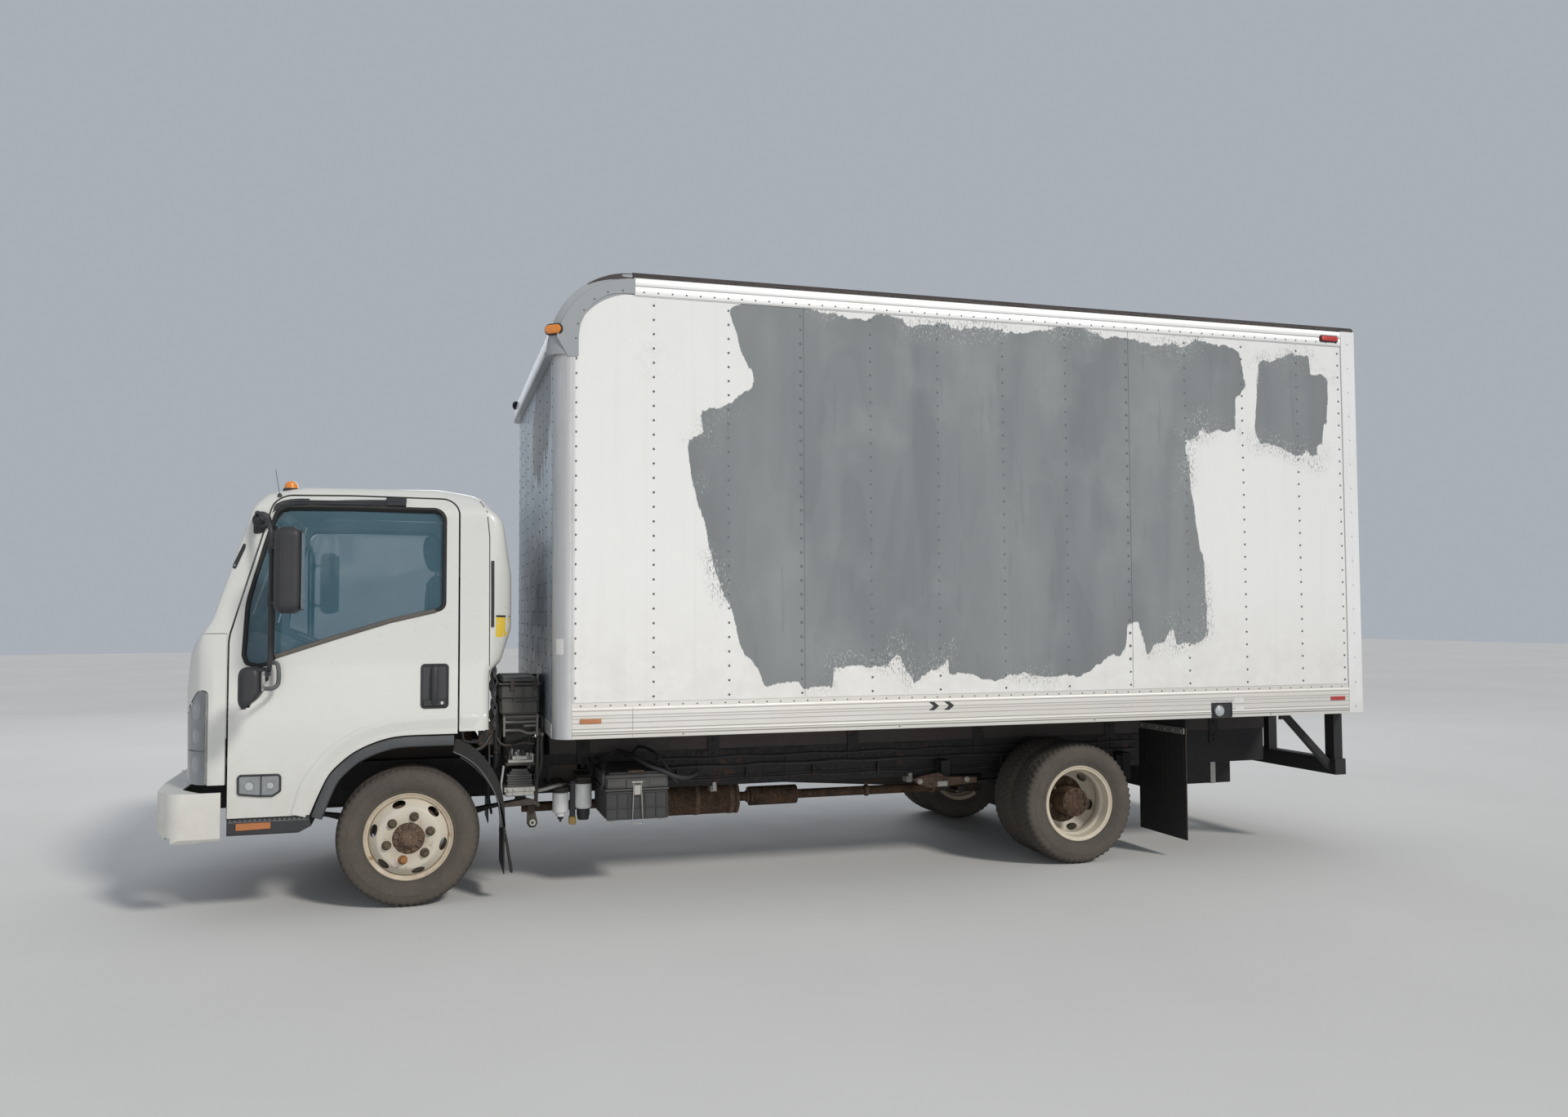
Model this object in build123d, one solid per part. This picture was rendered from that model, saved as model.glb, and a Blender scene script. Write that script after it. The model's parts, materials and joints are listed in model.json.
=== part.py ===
from build123d import *
import os, math

os.makedirs("parts", exist_ok=True)

# ---------------------------------------------------------------------------
# Driving dimensions, millimetres. While modelling, y is measured from the front
# axle (front of the truck negative), x from the middle, z from the ground.
# Every piece is moved by -MIDDLE_Y when it is written, so that the origin is on
# the ground under the middle of the whole truck.
# ---------------------------------------------------------------------------
WHEELBASE = 3810.0
MIDDLE_Y = 2270.0

# tyres and rims
TYRE_R = 357.0
TYRE_HALF = 109.0
BEAD_R = 204.0
FLANGE_R = 222.5
DISC_OFFSET = 118.0      # disc mounting face from the rim's middle plane
DISC_T = 9.0
FRONT_WHEEL_X = 832.0
TWIN_X = 826.0           # mounting plane between the two rear discs
LUG_PCD = 222.25
LUG_PHASE = 14.0         # first lug, degrees from the top towards the rear
HUB_Z = TYRE_R

# ladder frame
RAIL_OUT, RAIL_IN = 425.0, 365.0
RAIL_Z0, RAIL_Z1 = 475.0, 693.0
RAIL_T = 7.0
RAIL_FRONT, RAIL_REAR = -1160.0, 5600.0
HORN_BACK = -820.0       # frame horns are shallow ahead of this
HORN_TOP = 600.0

# steering
KINGPIN_X = 735.0
ARM_LEN = 135.0

# cab tilt pivot
PIVOT_Y, PIVOT_Z = -950.0, 780.0
PIVOT_R = 22.0

# cab
CAB_HALF = 1010.0
CAB_T = 50.0
CAB_BOTTOM = 895.0       # lower edge of the cab behind the wheel arch
DOOR_BOTTOM = 506.0
DOOR_GAP = 9.0

# cargo box
BOX_HALF = 1219.0
BOX_WALL_IN = 1174.0
BOX_FRONT = 701.0
BOX_REAR = 5720.0
REAR_FRAME_Y = 5616.0
RAIL_LOW, RAIL_LOW_TOP = 855.0, 1040.0
PANEL_TOP = 3172.0
ROOF_TOP = 3296.0
CORNER_R = 92.0
CAP_LOW = 2838.0
CAP_R = 455.0
CAP_CENTRE_Y = 1116.0


# ---------------------------------------------------------------------------
# shapes
# ---------------------------------------------------------------------------
def block(x0, x1, y0, y1, z0, z1):
    return Pos((x0 + x1) / 2, (y0 + y1) / 2, (z0 + z1) / 2) * Box(x1 - x0, y1 - y0, z1 - z0)


def rod_x(r, x0, x1, y, z):
    return Pos((x0 + x1) / 2, y, z) * Rot(0, 90, 0) * Cylinder(r, x1 - x0)


def rod_y(r, x, y0, y1, z):
    return Pos(x, (y0 + y1) / 2, z) * Rot(90, 0, 0) * Cylinder(r, y1 - y0)


def rod_z(r, x, y, z0, z1):
    return Pos(x, y, (z0 + z1) / 2) * Cylinder(r, z1 - z0)


def rod(r, a, b):
    a, b = Vector(*a), Vector(*b)
    d = b - a
    return Plane(origin=a, z_dir=d) * Cylinder(r, d.length, align=(Align.CENTER, Align.CENTER, Align.MIN))


def outline(points, radii=0):
    if radii == 0:
        return make_face(Polyline(*points, close=True))
    return make_face(FilletPolyline(*points, radius=radii, close=True))


def side_plate(points, x0, x1, radii=0):
    """Outline in (y, z), thick along x."""
    return extrude(Plane.YZ.offset(x0) * outline(points, radii), amount=x1 - x0)


def front_plate(points, y0, y1, radii=0):
    """Outline in (x, z), thick along y."""
    return extrude(Plane.XZ.offset(-y0) * outline(points, radii), amount=-(y1 - y0))


def plan_plate(points, z0, z1, radii=0):
    """Outline in (x, y), thick along z."""
    return extrude(Pos(0, 0, z0) * outline(points, radii), amount=z1 - z0)


def turned(points, xc, y, z, radii=0):
    """Outline in (x along the axle, radius), turned about the axle."""
    body = revolve(Plane.XZ * outline(points, radii), axis=Axis.X)
    return Pos(xc, y, z) * body


def flip(shape):
    return mirror(shape, about=Plane.YZ)


def both(shape):
    return [shape, flip(shape)]


def inset(points, d):
    """The outline with each edge moved inwards by d (points run anticlockwise)."""
    n = len(points)
    lines = []
    for i in range(n):
        (x0, y0), (x1, y1) = points[i], points[(i + 1) % n]
        L = math.hypot(x1 - x0, y1 - y0)
        nx, ny = -(y1 - y0) / L, (x1 - x0) / L
        lines.append((x0 + nx * d, y0 + ny * d, x1 - x0, y1 - y0))
    out = []
    for i in range(n):
        ax, ay, adx, ady = lines[i - 1]
        bx, by, bdx, bdy = lines[i]
        det = adx * bdy - ady * bdx
        t = ((bx - ax) * bdy - (by - ay) * bdx) / det
        out.append((ax + adx * t, ay + ady * t))
    return out


def save(name, *shapes):
    solids = []
    for s in shapes:
        group = s if isinstance(s, (list, tuple)) else [s]
        for g in group:
            solids += list(g.solids())
    solids = [Pos(0, -MIDDLE_Y, 0) * s for s in solids]
    shape = solids[0] if len(solids) == 1 else Compound(children=solids)
    export_step(shape, "parts/" + name + ".step")


# ---------------------------------------------------------------------------
# wheels
# ---------------------------------------------------------------------------
# tyre section: x along the axle, radius
TYRE_SECTION = [(-70, 204), (70, 204), (79, 228), (109, 286), (105, 322), (92, 348),
                (58, 357), (-58, 357), (-92, 348), (-105, 322), (-109, 286), (-79, 228)]
TYRE_ROUND = [1, 1, 30, 30, 25, 15, 60, 60, 15, 25, 30, 30]


def tyre(xc, y):
    return turned(TYRE_SECTION, xc, y, HUB_Z, TYRE_ROUND)


def rim(xc, y, side, dish):
    """One rim. side is +1 on the left; dish +1 puts the disc at the outer edge."""
    s = side * dish
    barrel = turned([(-90, 196), (90, 196), (90, 222.5), (82, 222.5), (82, 204), (-82, 204),
                     (-82, 222.5), (-90, 222.5)], 0, 0, 0)
    # disc section: x from the rim's middle towards the disc side, radius
    disc = turned([(58, 196.5), (72, 196.5), (100, 172), (DISC_OFFSET + DISC_T, 150), (DISC_OFFSET + DISC_T, 78),
                   (DISC_OFFSET, 78), (DISC_OFFSET, 146), (90, 166)], 0, 0, 0)
    for k in range(6):
        a = math.radians(LUG_PHASE + 30 + 60 * k)
        disc -= rod_x(17, 40, 160, 168 * math.sin(a), 168 * math.cos(a))
    one = barrel + disc
    if s < 0:
        one = flip(one)
    return Pos(xc, y, HUB_Z) * one


FRONT_HUB = [  # x from the wheel's middle plane, radius: hub, flange and drum
    (-33, 30.06), (160, 30.06), (160, 62), (DISC_OFFSET + DISC_T, 77.8), (DISC_OFFSET, 77.8), (DISC_OFFSET, 142),
    (98, 142), (92, 165), (-30, 165), (-30, 152), (84, 152), (84, 80), (-33, 60)]


def front_wheel(side):
    xc = FRONT_WHEEL_X
    hub = turned(FRONT_HUB, xc, 0, HUB_Z)
    cap = turned([(156, 0), (172, 0), (172, 26), (166, 44), (156, 44)], xc, 0, HUB_Z)
    nuts = [rod_x(15, xc + DISC_OFFSET + 2, xc + DISC_OFFSET + DISC_T + 22,
                  LUG_PCD / 2 * math.sin(math.radians(LUG_PHASE + 60 * k)),
                  HUB_Z + LUG_PCD / 2 * math.cos(math.radians(LUG_PHASE + 60 * k)))
            for k in range(6)]
    body = rim(xc, 0, 1, 1) + hub + cap
    for n in nuts:
        body += n
    return body if side > 0 else flip(body)


def rear_wheels(side):
    out_x = TWIN_X + DISC_OFFSET + DISC_T / 2
    in_x = TWIN_X - DISC_OFFSET - DISC_T / 2
    body = rim(out_x, WHEELBASE, 1, -1) + rim(in_x, WHEELBASE, 1, 1)
    # discs lie back to back between TWIN_X -/+ DISC_T
    hub = turned([(-150, 62.1), (160, 62.1), (160, 84), (10, 84), (10, 142), (-10, 142), (-14, 165), (-150, 165),
                  (-150, 152), (-24, 152), (-24, 84), (-150, 84)], TWIN_X, WHEELBASE, HUB_Z)
    cap = turned([(160, 0), (170, 0), (172, 50), (172, 84), (160, 84)], TWIN_X, WHEELBASE, HUB_Z)
    body = body + hub + cap
    for k in range(6):
        a = math.radians(LUG_PHASE + 60 * k)
        body += rod_x(15, TWIN_X + 5, TWIN_X + 34,
                      WHEELBASE + LUG_PCD / 2 * math.sin(a), HUB_Z + LUG_PCD / 2 * math.cos(a))
    return body if side > 0 else flip(body)


TWIN_OUT_X = TWIN_X + DISC_OFFSET + DISC_T / 2
TWIN_IN_X = TWIN_X - DISC_OFFSET - DISC_T / 2

for name, side in (("left", 1), ("right", -1)):
    save("front_" + name + "_rim", front_wheel(side))
    save("front_" + name + "_tyre", tyre(side * FRONT_WHEEL_X, 0))
    save("rear_" + name + "_rims", rear_wheels(side))
    save("rear_" + name + "_tyres", tyre(side * TWIN_OUT_X, WHEELBASE), tyre(side * TWIN_IN_X, WHEELBASE))


# ---------------------------------------------------------------------------
# steering: knuckles, tie rod, front axle
# ---------------------------------------------------------------------------
def knuckle():
    k = rod_z(20, KINGPIN_X, 0, 268, 462)
    k += block(KINGPIN_X - 42, 797, -42, 42, 398, 432)
    k += block(KINGPIN_X - 42, 797, -42, 42, 284, 316)
    k += block(779, 797, -45, 45, 284, 432)
    k += rod_x(150, 790, 797, 0, HUB_Z) - block(780, 800, -160, 160, 200, 262)
    k += rod_x(30, 790, FRONT_WHEEL_X + 152, 0, HUB_Z)
    k += plan_plate([(KINGPIN_X - 24, 0), (KINGPIN_X + 24, 0), (KINGPIN_X + 18, ARM_LEN), (KINGPIN_X - 18, ARM_LEN)], 300, 316)
    k += rod_z(18, KINGPIN_X, ARM_LEN, 300, 316)
    k += rod_z(10, KINGPIN_X, ARM_LEN, 274, 302)
    return k


save("left_knuckle", knuckle())
save("right_knuckle", flip(knuckle()))

tie = rod_x(12, -KINGPIN_X + 16, KINGPIN_X - 16, ARM_LEN, 288)
for s, bore in ((1, 10.3), (-1, 11.0)):
    tie += rod_z(21, s * KINGPIN_X, ARM_LEN, 279, 297)
for s, bore in ((1, 10.3), (-1, 11.0)):
    tie -= rod_z(bore, s * KINGPIN_X, ARM_LEN, 270, 305)
save("tie_rod", tie)

beam = front_plate([(-705, 326), (-600, 326), (-510, 262), (510, 262), (600, 326), (705, 326),
                    (705, 388), (585, 388), (495, 326), (-495, 326), (-585, 388), (-705, 388)], -34, 34)
for s in (1, -1):
    beam += rod_z(37, s * KINGPIN_X, 0, 319, 395)
for s in (1, -1):
    beam -= rod_z(20.3, s * KINGPIN_X, 0, 300, 410)
    beam += block(s * 395 - 38, s * 395 + 38, -70, 70, 322, 340)
save("front_axle", beam)

# leaf packs: y and z from the eye, spring seat at the middle
LEAVES = [  # middle x, axle y, half length, eye z, seat z, width
    (395.0, 0.0, 600.0, 440.0, 340.0, 58.0),
    (500.0, WHEELBASE, 640.0, 430.0, 417.0, 64.0),
]


def leaf_pack(xm, yc, half, eye_z, seat_z, width):
    t = 9
    z0 = seat_z
    mid_top = z0 + 4 * t
    pts = [(yc - half, eye_z - t / 2), (yc - half * 0.7, z0 + 3.4 * t + (eye_z - mid_top) * 0.45),
           (yc - half * 0.62, z0 + 2.2 * t + (eye_z - mid_top) * 0.38), (yc - half * 0.3, z0 + 0.9 * t), (yc - 70, z0),
           (yc + 70, z0), (yc + half * 0.3, z0 + 0.9 * t), (yc + half * 0.62, z0 + 2.2 * t + (eye_z - mid_top) * 0.38),
           (yc + half * 0.7, z0 + 3.4 * t + (eye_z - mid_top) * 0.45), (yc + half, eye_z - t / 2),
           (yc + half, eye_z + t / 2), (yc + half * 0.5, mid_top + (eye_z - mid_top) * 0.35 + t * 0.4), (yc + 70, mid_top),
           (yc - 70, mid_top), (yc - half * 0.5, mid_top + (eye_z - mid_top) * 0.35 + t * 0.4), (yc - half, eye_z + t / 2)]
    pack = side_plate(pts, xm - width / 2, xm + width / 2)
    for e in (-1, 1):
        pack += rod_x(17, xm - width / 2, xm + width / 2, yc + e * half, eye_z)
    return pack


packs = []
for row in LEAVES:
    packs += both(leaf_pack(*row))
save("leaf_springs", packs)

# rear axle: tube, differential bowl, spring pads
axle = rod_x(58, -TWIN_X + 165, TWIN_X - 165, WHEELBASE, HUB_Z)
axle += turned([(-150, 0), (150, 0), (120, 120), (70, 168), (-70, 168), (-120, 120)], 0, WHEELBASE, HUB_Z)
axle += rod_y(62, 0, WHEELBASE - 290, WHEELBASE - 100, HUB_Z)
for s in (1, -1):
    axle += block(s * 500 - 40, s * 500 + 40, WHEELBASE - 70, WHEELBASE + 70, 400, 417)
    axle += block(s * 500 - 40, s * 500 + 40, WHEELBASE - 50, WHEELBASE + 50, 340, 402)
    axle += rod_x(62, min(s * 661, s * 982), max(s * 661, s * 982), WHEELBASE, HUB_Z)
save("rear_axle", axle)

# ---------------------------------------------------------------------------
# ladder frame: two channel rails, cross-members, hangers, tilt pivot tube
# ---------------------------------------------------------------------------
rail = side_plate([(RAIL_FRONT, RAIL_Z0), (RAIL_REAR, RAIL_Z0), (RAIL_REAR, RAIL_Z1), (HORN_BACK, RAIL_Z1),
                   (HORN_BACK - 60, HORN_TOP), (RAIL_FRONT, HORN_TOP)], RAIL_IN, RAIL_OUT)
rail -= side_plate([(RAIL_FRONT - 5, RAIL_Z0 + RAIL_T), (RAIL_REAR + 5, RAIL_Z0 + RAIL_T), (RAIL_REAR + 5, RAIL_Z1 - RAIL_T),
                    (HORN_BACK + 4, RAIL_Z1 - RAIL_T), (HORN_BACK - 56, HORN_TOP - RAIL_T), (RAIL_FRONT - 5, HORN_TOP - RAIL_T)],
                   RAIL_IN - 5, RAIL_OUT - RAIL_T)
save("frame_rails", rail, flip(rail))
# cross-members between the webs: middle y, half width, z low, z high
CROSS = [(-900, 30, 500, 580), (1330, 35, 610, 685.8), (2100, 35, 610, 685.8), (2900, 35, 610, 685.8),
         (3330, 35, 610, 685.8), (4330, 35, 610, 685.8), (4990, 35, 612, 685.8), (5560, 35, 482.2, 685.8)]
WEB_IN = RAIL_OUT - RAIL_T - 0.2
save("cross_members", [block(-WEB_IN, WEB_IN, yc - half, yc + half, z0, z1) for yc, half, z0, z1 in CROSS])
# tilt pivot: cross tube on two bracket plates that stand on the rails
RAIL_SEAT = RAIL_Z1 + 0.2
pivot_frame = rod_x(PIVOT_R, -490, 490, PIVOT_Y, PIVOT_Z)
for s in (1, -1):
    pivot_frame += side_plate([(PIVOT_Y - 26, PIVOT_Z - 2), (PIVOT_Y - 14, PIVOT_Z - 24), (-890, 704), (HORN_BACK, RAIL_SEAT),
                               (-690, RAIL_SEAT), (-690, 704), (-800, 730), (PIVOT_Y + 34, PIVOT_Z + 12), (PIVOT_Y, PIVOT_Z + 27)],
                              s * 390 - 8, s * 390 + 8)
# rear cab support: posts on the rails and a beam over the gearbox
rear_support = block(-485, 485, 500, 560, 815, 880)
for s in (1, -1):
    rear_support += block(s * 410 - 15, s * 410 + 15, 500, 560, RAIL_SEAT, 860)
    rear_support += block(s * 455 - 30, s * 455 + 30, 330, 560, 862, 880)
# spring hangers: a plate under the rail with two cheeks, and outboard ones for the rear springs
hangers = []
for y in (-600, 600):
    for s in (1, -1):
        one = block(s * 395 - 38, s * 395 + 38, y - 28, y + 28, 466, RAIL_Z0 - 0.2)
        for dx in (-34, 34):
            one += block(s * 395 + dx - 4, s * 395 + dx + 4, y - 28, y + 28, 418, 468)
        hangers.append(one)
for y in (WHEELBASE - 640, WHEELBASE + 640):
    for s in (1, -1):
        one = block(min(s * (RAIL_OUT + 0.2), s * 545), max(s * (RAIL_OUT + 0.2), s * 545), y - 30, y + 30, 560, 578)
        for x in (463, 537):
            one += block(s * x - 4, s * x + 4, y - 28, y + 28, 405, 565)
        hangers.append(one)
save("frame_brackets", pivot_frame, rear_support, hangers)

# engine as one plain block, radiator, driveline
save("engine_block", block(-290, 290, -440, 335, 430, 1000))
save("radiator", block(-300, 300, -800, -735, 480, 940) + block(-340, 340, -780, -755, 605, 625))
drive = front_plate([(-170, 440), (170, 440), (200, 560), (150, 740), (-150, 740), (-200, 560)], 340, 760, 40)
drive += front_plate([(-120, 440), (120, 440), (120, 640), (-120, 640)], 755, 1180, 40)
drive += rod(45, (0, 1175, 535), (0, WHEELBASE - 295, 372))
save("driveline", drive)

# exhaust: silencer beside the driveline
silencer = rod_y(95, 235, 1430, 1900, 372) + rod_y(28, 235, 620, 1435, 372) + rod_y(28, 235, 1895, 3300, 372)
silencer += rod_y(58, 235, 1990, 2290, 372)
save("exhaust", silencer)

# fuel tank between the rails behind the rear axle, hung on the rail flanges
tank = plan_plate([(-330, 4700), (330, 4700), (330, 5420), (-330, 5420)], 320, 600, 40)
save("fuel_tank", tank)

# battery box on the left rail
battery = block(475, 950, 1003, 1350, 385, 610) + block(468, 958, 996, 1358, 612, 640) + block(490, 935, 1018, 1335, 600, 616)
battery += block(425.3, 480, 1030, 1060, 420, 640) + block(425.3, 480, 1285, 1315, 420, 640)
save("battery_box", battery)

# two filters under one bracket on the left rail
# x, y, radius, z low, z high
FILTERS = [(640, 800, 44, 354, 526), (640, 926, 46, 407, 551)]
filters = block(425.3, 690, 752, 972, 570, 582)
for x, y, r, z0, z1 in FILTERS:
    filters += rod_z(r, x, y, z0, z1) + rod_z(24, x, y, z1 - 5, 574)
save("fuel_filters", filters)

# ribbed reservoir behind the wheel, on its own bracket
reservoir = block(660, 880, 490, 625, 545, 690) + block(650, 890, 485, 630, 690, 735) + rod_z(22, 770, 560, 730, 770)
reservoir += block(425.3, 700, 520, 560, 560, 600)
save("reservoir_box", reservoir)

# air cleaner across the back of the cab, on the support posts
cleaner = rod_x(100, 330, 840, 585, 1010) + rod_x(108, 380, 400, 585, 1010) + rod_x(108, 760, 780, 585, 1010)
cleaner += block(440, 480, 555, 615, 881, 925)
save("air_cleaner", cleaner)

# ---------------------------------------------------------------------------
# front bumper, mudguards, mud flaps, rear bumper
# ---------------------------------------------------------------------------
BUMPER_PLAN = [(-1035, -870), (1035, -870), (1035, -1085), (930, -1168), (500, -1200), (-500, -1200), (-930, -1168), (-1035, -1085)]
BUMPER_PLAN_R = [0, 0, 90, 110, 400, 400, 110, 90]
BUMPER_SIDE = [(-1200, 575), (-1182, 478), (-1105, 402), (-960, 392), (-800, 390), (-800, 638), (-1085, 638), (-1200, 644)]
BUMPER_SIDE_R = [90, 75, 60, 0, 0, 0, 0, 14]
BUMPER_T = 8.0


def bumper_form(d):
    """Outer form of the bumper, moved inwards by d: plan outline crossed with the side outline."""
    plan = [(x * (1 - d / 1035) if abs(x) > 1000 else x, y + d if y < -1000 else y - 3 * d) for x, y in BUMPER_PLAN[::-1]]
    a = plan_plate(plan, 390, 720, [max(r - d, 0) if r else 0 for r in BUMPER_PLAN_R[::-1]])
    b = side_plate(inset(BUMPER_SIDE, d) if d else BUMPER_SIDE, -1100, 1100, [max(r - d, 0) if r else 0 for r in BUMPER_SIDE_R])
    c = front_plate([(-1035 + d, 418), (-1010 + d, 385 + d), (1010 - d, 385 + d), (1035 - d, 418), (1035 - d, 720), (-1035 + d, 720)], -1300, -700)
    return a & b & c


# open at the back and underneath behind the lip; the top shelf follows the cab's front with a gap
bumper = bumper_form(0) - bumper_form(BUMPER_T)
bumper -= plan_plate([(-1026, -800), (-1026, -961), (-1016, -968.5), (-872, -1066), (872, -1066), (1016, -968.5), (1026, -961), (1026, -800)],
                     390, 720)
bumper -= block(-1020, 1020, -1120, -800, 370, 430)
bumper = sorted(bumper.solids(), key=lambda s: s.volume)[-1]
for s in (1, -1):
    bumper += block(s * 395 - 28, s * 395 + 28, -1196, RAIL_FRONT - 0.2, 480, 596) & bumper_form(3)
save("front_bumper", bumper)


def arc_band(xa, xb, yc, zc, r0, r1, a0, a1, n=6):
    """Bent sheet about (yc, zc): angles in degrees from straight behind, upwards."""
    def p(r, a):
        return (yc + r * math.cos(math.radians(a)), zc + r * math.sin(math.radians(a)))
    am = (a0 + a1) / 2
    inner = ThreePointArc(p(r0, a0), p(r0, am), p(r0, a1))
    outer = ThreePointArc(p(r1, a1), p(r1, am), p(r1, a0))
    e1 = Line(p(r0, a1), p(r1, a1))
    e2 = Line(p(r1, a0), p(r0, a0))
    face = make_face([inner, e1, outer, e2])
    return extrude(Plane.YZ.offset(xa) * face, amount=xb - xa)


guard = arc_band(610, 985, 0, HUB_Z, 472, 480, -6, 58)
guard += block(610, 985, 471, 477, 150, 312)
guard += block(425.3, 612, 395, 435, 560, 590)
flap = block(590, 1085, 4515, 4523, 105, 800) + block(560, 1100, 4505, 4535, 800, 864)
save("mudguards", guard, flip(guard), flap, flip(flap))

rear_bar = block(-1060, 1060, 5640, 5720, 450, 550)
for s in (1, -1):
    rear_bar += block(s * 1000 - 40, s * 1000 + 40, 5650, 5715, 545, 854.5)
    rear_bar += block(s * 395 - 28, s * 395 + 28, 5650, 5715, 545, 854.5)
    rear_bar += side_plate([(5265, 854.5), (5315, 854.5), (5655, 520), (5655, 460)], s * 1000 - 20, s * 1000 + 20)
save("rear_bumper", rear_bar)

# ---------------------------------------------------------------------------
# cargo box
# ---------------------------------------------------------------------------
subframe = []
for s in (1, -1):
    subframe.append(block(s * 395 - 30, s * 395 + 30, 760, 5610, RAIL_Z1 + 0.2, 864.8))
save("box_sills", subframe)

bearers = []
for k in range(13):
    y = 768 + 400 * k
    half = 1120 if k == 0 else BOX_WALL_IN - 0.5
    bearers.append(block(-half, half, y - 22, y + 22, 865, 965))
save("box_bearers", bearers)
fx = BOX_WALL_IN - 0.5
save("box_floor", plan_plate([(-1120, 742), (1120, 742), (fx, 800), (fx, REAR_FRAME_Y - 0.5), (-fx, REAR_FRAME_Y - 0.5), (-fx, 800)],
                             965.2, 1000))

wall = block(BOX_WALL_IN, BOX_HALF - 3, BOX_FRONT + CORNER_R + 1, REAR_FRAME_Y - 0.5, RAIL_LOW_TOP + 0.2, PANEL_TOP - 0.2)
cap_keepout = rod_x(338, 1100, 1300, CAP_CENTRE_Y, CAP_LOW)


def ring_cut(r, x0, x1):
    """Space outside radius r in the cap's quadrant (ahead of and above the cap's centre)."""
    q = block(x0, x1, CAP_CENTRE_Y - 600, CAP_CENTRE_Y, CAP_LOW, CAP_LOW + 600)
    return q - rod_x(r, x0 - 5, x1 + 5, CAP_CENTRE_Y, CAP_LOW)


wall -= ring_cut(337, 1100, 1300)
save("box_side_walls", wall, flip(wall))

front_wall = block(-BOX_HALF + CORNER_R + 0.3, BOX_HALF - CORNER_R - 0.3, BOX_FRONT, BOX_FRONT + 40, RAIL_LOW, CAP_LOW - 0.5)
save("box_front_wall", front_wall)

# roof panel between the top mouldings
save("box_roof", block(-BOX_WALL_IN + 0.5, BOX_WALL_IN - 0.5, CAP_CENTRE_Y + 0.5, REAR_FRAME_Y - 0.5, 3252, ROOF_TOP - 4))

# side mouldings: bottom rail, top rail and rounded front corner, one frame per side
low = block(BOX_WALL_IN, BOX_HALF, BOX_FRONT + CORNER_R, REAR_FRAME_Y - 0.5, RAIL_LOW, RAIL_LOW_TOP)
top = front_plate([(BOX_WALL_IN, PANEL_TOP), (BOX_HALF, PANEL_TOP), (BOX_HALF, ROOF_TOP - 44), (BOX_HALF - 10, ROOF_TOP - 14),
                   (BOX_HALF - 44, ROOF_TOP), (BOX_WALL_IN, ROOF_TOP)], CAP_CENTRE_Y + 0.5, REAR_FRAME_Y - 0.5)
xc, yc = BOX_HALF - CORNER_R, BOX_FRONT + CORNER_R
corner = rod_z(CORNER_R, xc, yc, RAIL_LOW, CAP_LOW - 0.5) - rod_z(CORNER_R - 45, xc, yc, RAIL_LOW - 5, CAP_LOW + 5)
corner = corner & block(xc, BOX_HALF + 5, BOX_FRONT - 5, yc + 0.5, RAIL_LOW - 5, CAP_LOW + 5)
side_frame = low + corner
save("box_mouldings", side_frame, flip(side_frame), top, flip(top))

# nose cap: quarter-round shell with side cheeks
cap = rod_x(CAP_R, -BOX_HALF, BOX_HALF, CAP_CENTRE_Y, CAP_LOW)
cap -= rod_x(CAP_R - 42, -BOX_WALL_IN, BOX_WALL_IN, CAP_CENTRE_Y, CAP_LOW)
for s in (1, -1):
    x0, x1 = (BOX_WALL_IN - 1, BOX_HALF + 1) if s > 0 else (-BOX_HALF - 1, -BOX_WALL_IN + 1)
    cap -= rod_x(338, x0, x1, CAP_CENTRE_Y, CAP_LOW)
cap = cap & block(-BOX_HALF, BOX_HALF, CAP_CENTRE_Y - 500, CAP_CENTRE_Y, CAP_LOW, CAP_LOW + 500)
cap = cap & plan_plate([(-BOX_HALF, 655), (BOX_HALF, 655), (BOX_HALF, 1200), (-BOX_HALF, 1200)], 2800, 3400, [110, 110, 0, 0])
cap = cap & front_plate([(-BOX_HALF, 2800), (BOX_HALF, 2800), (BOX_HALF, ROOF_TOP), (-BOX_HALF, ROOF_TOP)], 600, 1200, [0, 0, 46, 46])
save("nose_cap", cap)

# rear frame: one portal
portal = front_plate([(-BOX_HALF, RAIL_LOW), (BOX_HALF, RAIL_LOW), (BOX_HALF, ROOF_TOP), (-BOX_HALF, ROOF_TOP)],
                     REAR_FRAME_Y, BOX_REAR, [0, 0, 40, 40])
portal -= block(-1115, 1115, REAR_FRAME_Y - 5, BOX_REAR + 5, 1045, 3165)
save("rear_frame", portal)

# roll-up door, closed: curtain with a groove at each panel joint
door = block(-1113, 1113, 5642, 5668, 1047, 3163)
for k in range(1, 8):
    z = 1047 + 264.5 * k
    door -= block(-1113, 1113, 5660, 5670, z - 4, z + 4)
door += block(-70, 70, 5667, 5690, 1180, 1215)
save("roll_up_door", door)

# lamps on the box: x half, y0, y1, z0, z1 for side lamps; front and rear lamps sit on their faces
lamps = []
for s in (1, -1):
    lamps.append(block(min(s * BOX_HALF, s * (BOX_HALF + 14)), max(s * BOX_HALF, s * (BOX_HALF + 14)), 5470, 5590, 3190, 3230))
    lamps.append(block(min(s * BOX_HALF, s * (BOX_HALF + 12)), max(s * BOX_HALF, s * (BOX_HALF + 12)), 850, 960, 930, 952))
    lamps.append(block(min(s * BOX_HALF, s * (BOX_HALF + 12)), max(s * BOX_HALF, s * (BOX_HALF + 12)), 5490, 5590, 935, 965))
    lamps.append(block(s * 1000 - 65, s * 1000 + 65, 5720.2, 5740, 880, 960))
    lamps.append(block(s * 830 - 65, s * 830 + 65, 5720.2, 5740, 880, 960))
for x in (-180, 0, 180):
    lamps.append(block(x - 40, x + 40, 5720.2, 5736, 3215, 3250))
for s in (1, -1):
    lamps.append(block(s * 1150 - 40, s * 1150 + 40, 5720.2, 5736, 3215, 3250))
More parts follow.
